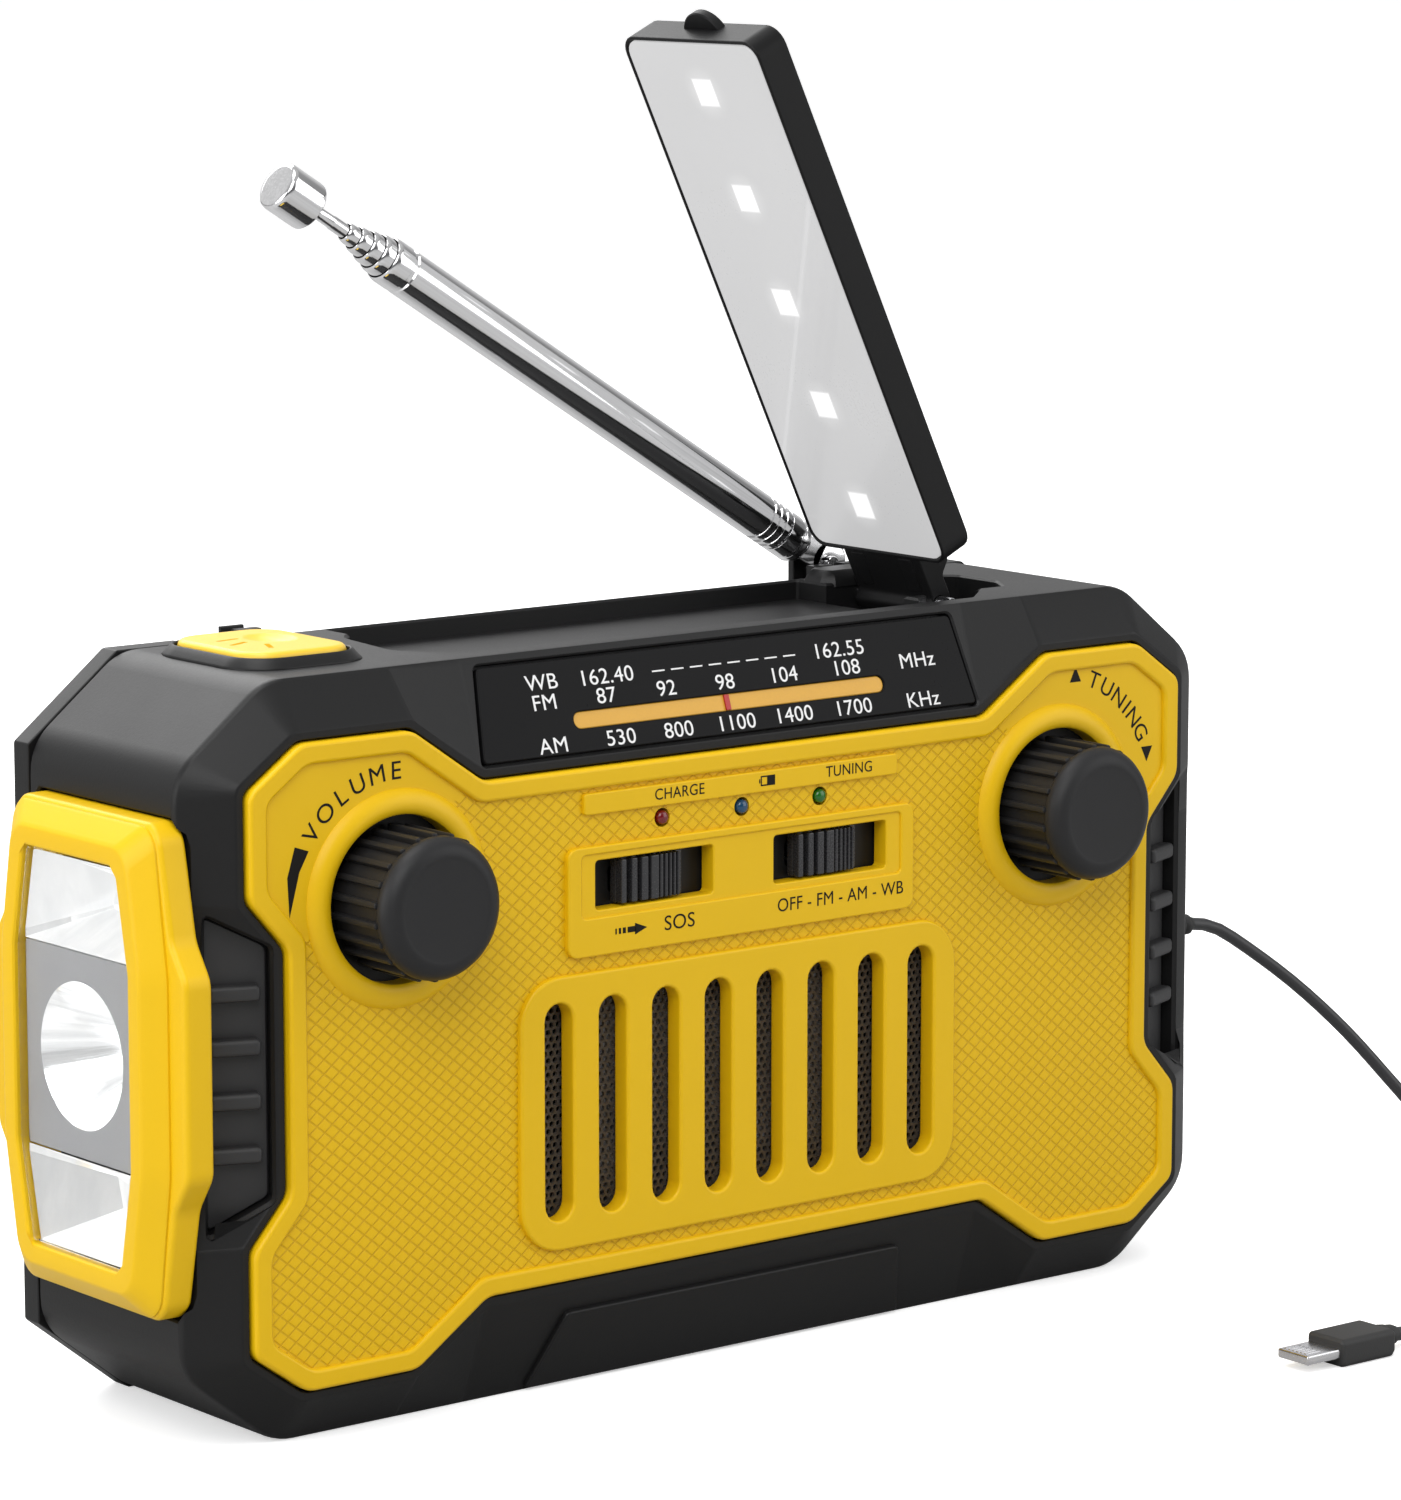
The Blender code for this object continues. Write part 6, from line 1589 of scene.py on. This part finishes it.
# ---------------------------------------------------------------- torch
class RADIO_OT_torch(bpy.types.Operator):
    """Make the torch's bezel, lens and reflector"""

    bl_idname = "radio.torch"
    bl_label = "Torch"

    def execute(self, context):
        piece(
            "torch_surround", self.bezel(), "radio", shell_plastic(),
            stands_for=("torch_bezel",), angle=30,
        )
        self.add_lens()
        silver = plastic("silver plate", (0.42, 0.42, 0.43), 0.45, 0.4, 0.004)
        plate_loop = self.clipped(-14.6, 14.6)
        piece(
            "reflector_plate",
            plate(
                [plate_loop, circle(10.5, 64)], 0.8, 0.15,
                at(REFLECTOR_X + 0.45, TORCH_Y, TORCH_Z) @ SIDE,
            ),
            "radio", silver, stands_for=("torch_reflector",),
        )
        piece("reflector_bowl", self.bowl(), "radio", self.rayed_chrome_painted_glow(), even=False)
        piece(
            "reflector_trays", self.trays(), "radio", self.painted_glow_facets(), angle=12,
            even=False,
        )
        board = plastic("green board", (0.02, 0.13, 0.05), 0.4, 0.5, 0.01)
        dress(("torch_led_board",), board)
        piece("torch_chips", self.chips(), "radio", self.chip_finish())
        return {"FINISHED"}

    def ring(self, growth, x):
        """The torch's outline grown by some millimetres, at a place along X."""
        loop = filleted(torch_outline(growth), max(0.3, min(1.6, growth * 0.5)), 4)
        return [(x, TORCH_Y + y, TORCH_Z + z) for y, z in loop]

    def bezel(self):
        frame_rings = [
            self.ring(5.9, -97.9), self.ring(5.9, -98.5), self.ring(5.6, -98.85), self.ring(3.3, -100.75),
            self.ring(2.9, -101.1), self.ring(2.5, -101.2), self.ring(0.6, -101.2), self.ring(0.2, -101.1),
            self.ring(0.0, -100.8), self.ring(0.0, -93.6),
        ]
        raised = loft(frame_rings, closed=True)
        outline = filleted(torch_outline(6.4, 3.4), 1.2, 4)
        hole = grown(torch_outline(0.0), 0.05)
        thickness = 4.7
        flange = plate([outline, hole], thickness, 0.9, at(-98.2 + thickness / 2, TORCH_Y, TORCH_Z) @ SIDE, 4)
        return merged([raised, flange])

    def add_lens(self):
        material, tree, sockets, coords = blank_finish("clear window")
        noise = node(tree, "TexNoise", None, {"Vector": coords, "Scale": 300.0, "Detail": 3.0}).outputs[0]
        paint(
            tree, sockets, mixed(tree, noise, (0.97, 0.98, 0.98), (1.0, 1.0, 1.0)),
            ramp(tree, noise, 0.3, 0.8, 0.0, 0.02),
        )
        sockets["Transmission Weight"].default_value = 1.0
        sockets["IOR"].default_value = 1.18
        loop = grown(torch_outline(0.0), -0.35)
        lens = plate([loop], 1.4, 0.3, at((LENS_FRONT_X + LENS_BACK_X) / 2, TORCH_Y, TORCH_Z) @ SIDE)
        piece("torch_window", lens, "radio", material, stands_for=("torch_lens",))

    def clipped(self, low, high):
        """The part of the opening between two heights, as an outline in Y and Z."""
        widest, narrowest, knee, top = 14.2, 11.4, 13.8, 28.2

        def half_width(z):
            return widest - max(0.0, abs(z) - knee) * (widest - narrowest) / (top - knee)

        heights = sorted({low, high} | {h for h in (-knee, knee) if low < h < high})
        right = [(half_width(h), h) for h in heights]
        return (right + [(-w, h) for w, h in reversed(right)])

    def bowl(self):
        profile = [
            (10.5, 0.0), (10.2, 0.5), (9.4, 1.9), (8.3, 3.9), (6.9, 6.4), (5.3, 9.0), (3.9, 11.2),
            (3.0, 12.6), (2.6, 12.9), (0.0, 12.9),
        ]
        return lathe(profile, 96, at(REFLECTOR_X, TORCH_Y, TORCH_Z) @ ALONG_X)

    def trays(self):
        """Two faceted cavities above and below the middle plate."""
        meshes = []
        for side in (-1, 1):
            rings = []
            for share, x in ((0.0, -98.8), (0.42, -94.2), (0.80, -89.8), (1.0, -89.4)):
                points = [(14.0, 14.8), (14.0, 16.0), (11.4, 28.2)]
                outer = points + [(-w, z) for w, z in reversed(points)]
                ring = []
                for index, (y, z) in enumerate(outer):
                    shrink = 1 - share * (0.78 if index in (1, 4) else 0.82)
                    height = TRAY_MIDDLE + (z - TRAY_MIDDLE) * shrink
                    ring.append((x, TORCH_Y + y * shrink, TORCH_Z + side * height))
                rings.append(ring)
            tray = loft(rings, caps=False)
            back = bmesh.new()
            back.faces.new([back.verts.new(in_metres(p)) for p in rings[-1]])
            meshes += [tray, finished_mesh(back)]
        return merged(meshes)

    def painted_glow_facets(self):
        material, tree, sockets, coords = blank_finish("bright facets")
        scaled = node(tree, "Mapping", None, {"Vector": coords, "Scale": (90.0, 260.0, 60.0)}).outputs[0]
        streaks = placed_effect(tree, "drawn streaks", {"Vector": scaled, "Roughness": 0.16, "Amount": 0.12})
        paint(
            tree, sockets, mixed(tree, streaks["Tone"], (0.80, 0.81, 0.82), (0.97, 0.97, 0.97)),
            streaks["Roughness"],
        )
        sockets["Metallic"].default_value = 0.55
        # painted glow: a faint white emission makes the facets look brightly lit
        sockets["Emission Color"].default_value = (1.0, 1.0, 1.0, 1.0)
        sockets["Emission Strength"].default_value = 0.22
        add_bump(tree, sockets, streaks["Height"], 0.02, 0.4)
        return material

    def rayed_chrome_painted_glow(self):
        """Chrome with soft rays that run out from the bowl's middle, brightened by a painted glow."""
        material, tree, sockets, coords = blank_finish("bowl chrome")
        parts = node(tree, "SeparateXYZ", None, {"Vector": coords}).outputs
        across = maths(tree, "SUBTRACT", parts["Y"], TORCH_Y * MM)
        up = maths(tree, "SUBTRACT", parts["Z"], TORCH_Z * MM)
        angle = maths(tree, "ARCTAN2", up, across)
        around = node(
            tree, "CombineXYZ", None,
            {"X": maths(tree, "MULTIPLY", angle, 5.0), "Y": maths(tree, "MULTIPLY", parts["X"], 20.0)},
        ).outputs[0]
        streaks = placed_effect(tree, "drawn streaks", {"Vector": around, "Roughness": 0.14, "Amount": 0.10})
        paint(
            tree, sockets, mixed(tree, streaks["Tone"], (0.66, 0.67, 0.68), (0.97, 0.97, 0.97)),
            streaks["Roughness"],
        )
        sockets["Metallic"].default_value = 0.85
        # painted glow: white emission brightens the bowl as if light fell into it
        sockets["Emission Color"].default_value = (1.0, 1.0, 1.0, 1.0)
        sockets["Emission Strength"].default_value = 0.34
        add_bump(tree, sockets, streaks["Height"], 0.15, 0.35)
        return material

    def chips(self):
        meshes = [bar(1.2, 2.2, 2.2, 0.2, at(-86.9, TORCH_Y, TORCH_Z))]
        for side in (-1, 1):
            meshes.append(bar(0.8, 1.8, 1.2, 0.2, at(-89.8, TORCH_Y, TORCH_Z + side * TRAY_MIDDLE)))
        return merged(meshes)

    def chip_finish(self):
        return mottled("light chip", 900.0, 2.0, (0.75, 0.66, 0.28), (0.90, 0.82, 0.45), 0.2, 0.4)[0]


# ---------------------------------------------------------------- top
class RADIO_OT_light_button(bpy.types.Operator):
    """Make the lamp's button and its ring"""

    bl_idname = "radio.light_button"
    bl_label = "Light Button"

    def execute(self, context):
        middle = at(BUTTON_X, BUTTON_Y, 0)
        cap_loop = rounded_box(9.0, 11.3, 4.9, 8)
        cap = stacked(
            cap_loop, [(0.0, 106.4), (0.0, 109.3), (-0.15, 109.75), (-0.5, 110.05), (-1.0, 110.18)],
            middle,
        )
        tools = [self.dimple(middle)]
        for x, y, angle in ((-3.6, 3.2, 8.0), (-4.4, -0.8, 24.0), (-2.3, -5.2, 66.0)):
            tools.append(bar(4.0, 0.8, 1.4, 0.25,
                             middle @ at(x, y, 110.2) @ turned(angle, "Z")))
        cap = carved(cap, tools)
        stem = lathe([(0.0, 101.2), (2.2, 101.2), (2.2, 106.6), (0.0, 106.6)], 20, middle)
        yellow = plastic("button yellow", (0.86, 0.56, 0.035), 0.36, 0.4, 0.005, uneven=0.05, tint=0.03)
        piece(
            "lamp_button", merged([cap, stem]), "light_button_body", yellow,
            stands_for=("light_button",),
        )
        ring_loop = rounded_box(9.4, 11.7, 5.2, 8)
        rings = []
        for growth, z in (
            (0.0, 105.3), (1.7, 105.3), (1.75, 108.0), (1.6, 108.3), (1.0, 108.9), (0.6, 109.35),
            (0.3, 109.5), (0.08, 109.4), (0.0, 109.1),
        ):
            rings.append([(x, y, z) for x, y in grown(ring_loop, growth)])
        piece(
            "button_surround", loft(rings, middle, closed=True), "radio", case_plastic(),
            stands_for=("button_ring",),
        )
        return {"FINISHED"}

    def dimple(self, middle):
        profile = [(0.0, -1.0)] + [
            (math.sin(math.radians(a)), -math.cos(math.radians(a))) for a in range(10, 180, 10)
        ] + [(0.0, 1.0)]
        shape = lathe(profile, 40)
        shape.transform(middle @ at(2.6, 1.6, 111.3) @ Matrix.Diagonal((4.6, 5.6, 2.0, 1.0)))
        return shape


class RADIO_OT_lamp(bpy.types.Operator):
    """Make the folding lamp, with its light field and its solar cells"""

    bl_idname = "radio.lamp"
    bl_label = "Folding Lamp"

    def execute(self, context):
        lamp_case = plastic("lamp plastic", (0.008, 0.008, 0.0083), 0.44, 0.3, 0.006, 0.16)
        piece(
            "lamp_body", self.body_mesh(), "lamp", lamp_case, LAMP_PLACE, ("lamp_case",),
            angle=32,
        )
        loop = rounded_box(LAMP_HALF - 0.75, LAMP_LENGTH / 2 - 0.75, 2.4, 5)
        face = self.upright(LAMP_FACE + 0.55)
        piece(
            "lamp_light_field", plate([loop], 1.0, 0.2, face), "lamp", self.glowing_field(),
            LAMP_PLACE, ("lamp_diffuser",),
        )
        white = plastic("lamp board white", (0.75, 0.76, 0.76), 0.4, 0.5, 0.01)
        dress(("lamp_led_strip",), white)
        piece(
            "solar_glass", plate([loop], 1.0, 0.15, self.upright(LAMP_BACK - 0.85)), "lamp",
            self.solar_finish(), LAMP_PLACE, ("solar_panel",),
        )
        silver = printed("cell silver", (0.55, 0.56, 0.58), 0.35)
        piece("solar_fingers", self.fingers(), "lamp", silver, LAMP_PLACE, even=False)
        pin = lathe([(0.0, -11.8), (1.0, -11.8), (1.1, -11.6), (1.1, 11.6), (1.0, 11.8), (0.0, 11.8)],
                    24, at(*LAMP_HINGE) @ FRONT)
        piece(
            "lamp_pin", pin, "radio", metal("pin steel", (0.6, 0.6, 0.62), 0.25, (900.0, 40.0, 900.0)),
            stands_for=("lamp_hinge_pin",),
        )
        return {"FINISHED"}

    def upright(self, x):
        return at(x, 0, LAMP_LOW + LAMP_LENGTH / 2) @ SIDE

    def body_mesh(self):
        outer = rounded_box(LAMP_HALF, LAMP_LENGTH / 2, 3.0, 6)
        inner = rounded_box(LAMP_HALF - 0.6, LAMP_LENGTH / 2 - 0.6, 2.4, 6)
        thickness = LAMP_BACK - LAMP_FACE
        ring = plate([outer, inner], thickness, 0.25, self.upright((LAMP_FACE + LAMP_BACK) / 2))
        core = plate(
            [rounded_box(LAMP_HALF - 0.8, LAMP_LENGTH / 2 - 0.8, 2.2, 6)], 0.6, 0.0, self.upright(2.6),
        )
        neck = self.neck()
        tab = lathe([(0.0, -0.8), (4.4, -0.8), (4.6, -0.6), (4.6, 0.6), (4.4, 0.8), (0.0, 0.8)],
                    40, at(3.0, 0, 94.3) @ ALONG_X)
        tab = carved(tab, [between((0.0, -8.0, 85.0), (6.0, 8.0, 95.8), 0.01)])
        return merged([ring, core, neck, tab])

    def neck(self):
        """The neck between the lamp and its hinge: a shaped block with the knuckle round the pin."""
        outline = [
            (-1.0, 8.6), (-1.0, 1.2), (-2.4, 0.2), (-2.0, -1.8), (0.0, -2.6), (2.0, -1.8), (2.6, 0.4),
            (2.6, 3.6), (4.6, 5.2), (4.6, 8.6),
        ]
        outline = filleted(outline, 0.5, 3)
        turn = turned(90, "X")
        solid = plate([outline], 17.6, 0.4, turn)
        ribs = [bar(0.5, 3.0, 5.6, 0.2, at(-0.9, y, 5.2)) for y in (5.6, -5.6)]
        bore = lathe([(0.0, -12), (1.25, -12), (1.25, 12), (0.0, 12)], 20, turn)
        return merged([carved(solid, [bore])] + ribs)

    def glowing_field(self):
        """White diffuser with five square lights glowing through it."""
        material, tree, sockets, coords = blank_finish("glowing diffuser")
        parts = node(tree, "SeparateXYZ", None, {"Vector": coords}).outputs
        pitch = LAMP_LENGTH * MM / 5
        along = maths(tree, "SUBTRACT", parts["Z"], LAMP_LOW * MM)
        offset = maths(tree, "SUBTRACT", maths(tree, "MODULO", along, pitch), pitch / 2)
        up = maths(tree, "ABSOLUTE", offset)
        side = maths(tree, "ABSOLUTE", parts["Y"])
        square = maths(tree, "MAXIMUM", up, side)
        distance = maths(
            tree, "SQRT",
            maths(tree, "ADD", maths(tree, "MULTIPLY", up, up), maths(tree, "MULTIPLY", side, side)),
        )
        core = ramp(tree, square, 1.7 * MM, 2.5 * MM, 1.0, 0.0)
        glow = ramp(tree, distance, 1.5 * MM, 5.0 * MM, 0.16, 0.0)
        height = ramp(tree, parts["Z"], 0.0, 0.1, 0.84, 1.0)
        shade = node(tree, "TexNoise", None, {"Vector": coords, "Scale": 30.0, "Detail": 2.0}).outputs[0]
        tone = mixed(tree, maths(tree, "MULTIPLY", shade, height), (0.17, 0.17, 0.172), (0.23, 0.23, 0.232))
        tree.links.new(tone, sockets["Base Color"])
        light = maths(tree, "ADD", core, glow, clamp=True)
        tree.links.new(mixed(tree, light, (0.46, 0.46, 0.463), (1.0, 1.0, 1.0)), sockets["Emission Color"])
        sockets["Emission Strength"].default_value = 1.0
        sockets["Coat Weight"].default_value = 0.25
        skin = placed_effect(
            tree, "moulded grain",
            {"Vector": coords, "Grain Size": 0.5 * MM, "Roughness": 0.3, "Unevenness": 0.1},
        )
        tree.links.new(skin["Roughness"], sockets["Roughness"])
        add_bump(tree, sockets, skin["Height"], 0.004)
        return material

    def solar_finish(self):
        material, tree, sockets, coords = blank_finish("solar cells")
        crystals = node(tree, "TexVoronoi", {"feature": "F1"}, {"Vector": coords, "Scale": 260.0})
        tree.links.new(
            mixed(tree, crystals.outputs["Distance"], (0.006, 0.009, 0.034), (0.022, 0.030, 0.095)),
            sockets["Base Color"],
        )
        noise = node(tree, "TexNoise", None, {"Vector": coords, "Scale": 200.0, "Detail": 3.0}).outputs[0]
        tree.links.new(ramp(tree, noise, 0.2, 0.8, 0.08, 0.18), sockets["Roughness"])
        sockets["Coat Weight"].default_value = 0.6
        add_bump(tree, sockets, noise, 0.01, 0.3)
        return material

    def fingers(self):
        meshes = []
        x = LAMP_BACK - 0.32
        for index in range(12):
            z = LAMP_LOW + 5.0 + index * 7.1
            meshes.append(bar(0.05, 27.0, 0.14, 0.01, at(x, 0, z)))
        for y in (-9.0, -3.0, 3.0, 9.0):
            meshes.append(bar(0.05, 0.35, 82.0, 0.01, at(x, y, LAMP_LOW + LAMP_LENGTH / 2)))
        return merged(meshes)


class RADIO_OT_antenna(bpy.types.Operator):
    """Make the telescopic antenna, section by section"""

    bl_idname = "radio.antenna"
    bl_label = "Antenna"

    def execute(self, context):
        shiny = chrome("antenna chrome", 0.10)
        piece("antenna_foot", self.foot(), "antenna", shiny, ANTENNA_PLACE, ("antenna_base",))
        bodies = ("antenna", "antenna_1", "antenna_2", "antenna_3", "antenna_4")
        for index, body in enumerate(bodies):
            node_name = "antenna_tube" if index == 0 else f"antenna_section_{index}"
            piece(
                f"antenna_sleeve_{index}", self.tube(index), body, shiny, ANTENNA_PLACE,
                (node_name,), even=False,
            )
        piece(
            "antenna_head", self.head(), "antenna_end", shiny, ANTENNA_PLACE,
            ("antenna_tip",),
        )
        return {"FINISHED"}

    def foot(self):
        turn = turned(90, "X")
        eye = lathe(
            [(1.2, -1.2), (3.2, -1.2), (3.6, -0.9), (3.6, 0.9), (3.2, 1.2), (1.2, 1.2), (1.2, -1.2)], 40,
            turn,
        )
        tongue = bar(4.6, 2.4, 7.5, 0.4, at(0, 0, 5.2))
        collar = [
            (0.0, 6.0), (2.6, 6.0), (3.3, 6.8), (3.6, 7.4), (3.6, 8.1), (3.25, 8.25), (3.25, 8.6),
            (3.6, 8.75), (3.6, 11.2), (3.4, 11.3), (0.0, 11.3),
        ]
        pin = [(0.0, -2.3), (1.0, -2.3), (1.1, -2.1), (1.1, 2.1), (1.0, 2.3), (0.0, 2.3)]
        return merged([
            eye, tongue, lathe(collar, 48),
            lathe(pin, 24, turn),
        ])

    def tube(self, index):
        """One drawn tube: rings at its foot, a rolled collar at its open end."""
        outer = 3.6 - 0.5 * index
        low = 11.7 + 0.6 * index
        end = 99.0 + 2.0 * index
        profile = [(outer - 0.32, low), (outer, low)]
        if index == 0:
            for place in (12.6, 14.0, 15.4):
                profile += [
                    (outer, place), (outer - 0.28, place + 0.15), (outer - 0.28, place + 0.5),
                    (outer, place + 0.65),
                ]
        profile += [
            (outer, end - 4.2), (outer - 0.22, end - 4.0), (outer - 0.22, end - 3.4), (outer, end - 3.2),
            (outer, end - 0.9), (outer - 0.05, end - 0.45), (outer - 0.18, end - 0.12),
            (outer - 0.32, end), (outer - 0.32, low),
        ]
        if index:
            profile = [(r, h) if h < end - 4.5 or h > end - 3.0 else (outer, h) for r, h in profile]
        return lathe(profile, 48)

    def head(self):
        wire = [
            (0.0, 14.7), (1.1, 14.7), (1.1, 109.6), (1.0, 110.0), (0.95, 113.4), (1.5, 113.8),
            (3.3, 114.1), (3.75, 114.5), (3.8, 115.0), (3.8, 120.1), (3.7, 120.6), (3.4, 120.9),
            (2.9, 121.0), (0.0, 121.0),
        ]
        return lathe(wire, 48)


# ---------------------------------------------------------------- crank, ports and inside
class RADIO_OT_crank(bpy.types.Operator):
    """Make the crank and its folding handle, and finish its gears"""

    bl_idname = "radio.crank"
    bl_label = "Hand Crank"

    def execute(self, context):
        piece("crank_lever", softened("crank_arm", 0.4, 1.0, 35.0), "crank", case_plastic(),
              stands_for=("crank_arm",), angle=30)
        piece("crank_boss", softened("crank_hub", 0.3, 0.5, 50.0), "crank", case_plastic(),
              stands_for=("crank_hub",))
        handle = [(1.8, 2.95), (3.5, 2.95), (3.9, 3.3)]
        for index in range(6):
            h = 4.4 + index * 2.7
            handle += [(4.2, h), (4.2, h + 1.7), (3.85, h + 1.95), (3.85, h + 2.45)]
        handle += [(4.2, 20.8), (4.15, 21.3), (3.7, 21.9), (3.0, 22.0), (1.8, 22.0), (1.8, 2.95)]
        place = at(-7.0, 26.7, 53.0) @ ALONG_X
        piece("crank_grip", lathe(handle, 40, place), "handle", knob_plastic(),
              stands_for=("crank_handle",))
        dress(("handle_spindle",), metal("spindle steel", (0.6, 0.6, 0.62), 0.28, (40.0, 900.0, 900.0)))
        dress(("crank_gear", "generator_pinion"), plastic("gear nylon", (0.74, 0.73, 0.68), 0.42, 0.5, 0.01))
        dress(("generator",), metal("motor can steel", (0.5, 0.5, 0.52), 0.3, (900.0, 40.0, 900.0)))
        return {"FINISHED"}


class RADIO_OT_ports(bpy.types.Operator):
    """Make the rubber port cover and finish the sockets"""

    bl_idname = "radio.ports"
    bl_label = "Ports"

    def execute(self, context):
        low, high = (Vector(corner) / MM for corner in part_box("port_cover"))
        loop = rounded_box(
            (high.y - low.y) / 2, (high.z - low.z) / 2, 0.9, 4, (low.y + high.y) / 2,
            (low.z + high.z) / 2,
        )
        flap = pad(loop, high.x - low.x, 0.5, at(low.x, 0, 0) @ SIDE)
        ribs = [
            bar(0.5, 8.0, 0.7, 0.2, at(high.x - 0.05, PORT_Y, high.z - (3.0 + i * 1.6)))
            for i in range(3)
        ]
        piece(
            "port_flap_cover", merged([flap] + ribs), "port_flap", soft_rubber(),
            stands_for=("port_cover",),
        )
        nickel = metal("port nickel", (0.66, 0.65, 0.62), 0.24, (40.0, 2500.0, 2500.0))
        dress(("usb_port", "charge_port"), nickel)
        dress(("headphone_jack",), plastic("socket plastic", (0.02, 0.02, 0.02), 0.4))
        return {"FINISHED"}


class RADIO_OT_inner_parts(bpy.types.Operator):
    """Finish the parts inside the case"""

    bl_idname = "radio.inner_parts"
    bl_label = "Inner Parts"

    def execute(self, context):
        dress(("main_board",), plastic("board green", (0.018, 0.11, 0.045), 0.38, 0.6, 0.02))
        dress(("battery",), plastic("battery wrap", (0.04, 0.16, 0.38), 0.3, 0.8, 0.01))
        dress(("ferrite_aerial",), plastic("ferrite", (0.05, 0.045, 0.042), 0.5, 0.4, 0.02))
        dress(("volume_potentiometer",), metal("pot steel", (0.55, 0.55, 0.57), 0.35, (900.0, 900.0, 900.0)))
        dress(("tuning_capacitor",), plastic("capacitor white", (0.72, 0.72, 0.70), 0.35, 0.5, 0.01))
        return {"FINISHED"}


# ---------------------------------------------------------------- sidebar
BUILDERS = (
    RADIO_OT_stage,
    RADIO_OT_charging_lead,
    RADIO_OT_case,
    RADIO_OT_rear_cover,
    RADIO_OT_front_panel,
    RADIO_OT_speaker_net,
    RADIO_OT_controls,
    RADIO_OT_dial,
    RADIO_OT_print,
    RADIO_OT_grips,
    RADIO_OT_torch,
    RADIO_OT_light_button,
    RADIO_OT_lamp,
    RADIO_OT_antenna,
    RADIO_OT_crank,
    RADIO_OT_ports,
    RADIO_OT_inner_parts,
)


class RADIO_PT_panel(bpy.types.Panel):
    """The radio's sizes, colours and builders"""

    bl_idname = "RADIO_PT_panel"
    bl_label = "Emergency Radio"
    bl_space_type = "VIEW_3D"
    bl_region_type = "UI"
    bl_category = "Radio"

    def draw(self, context):
        layout = self.layout
        for settings in (context.scene.radio_colours, context.scene.radio_sizes, context.scene.radio_stage):
            box = layout.box()
            for key in settings.__annotations__:
                box.prop(settings, key)
        for builder in BUILDERS:
            layout.operator(builder.bl_idname)


CLASSES = (RadioColours, RadioSizes, RadioStage) + BUILDERS + (RADIO_PT_panel,)


def register():
    for item in CLASSES:
        bpy.utils.register_class(item)
    bpy.types.Scene.radio_colours = PointerProperty(type=RadioColours)
    bpy.types.Scene.radio_sizes = PointerProperty(type=RadioSizes)
    bpy.types.Scene.radio_stage = PointerProperty(type=RadioStage)


def unregister():
    del bpy.types.Scene.radio_stage
    del bpy.types.Scene.radio_sizes
    del bpy.types.Scene.radio_colours
    for item in reversed(CLASSES):
        bpy.utils.unregister_class(item)


def main():
    register()
    build_moulded_grain()
    build_drawn_streaks()
    for builder in BUILDERS:
        area, name = builder.bl_idname.split(".")
        getattr(getattr(bpy.ops, area), name)()


if __name__ == "__main__":
    main()
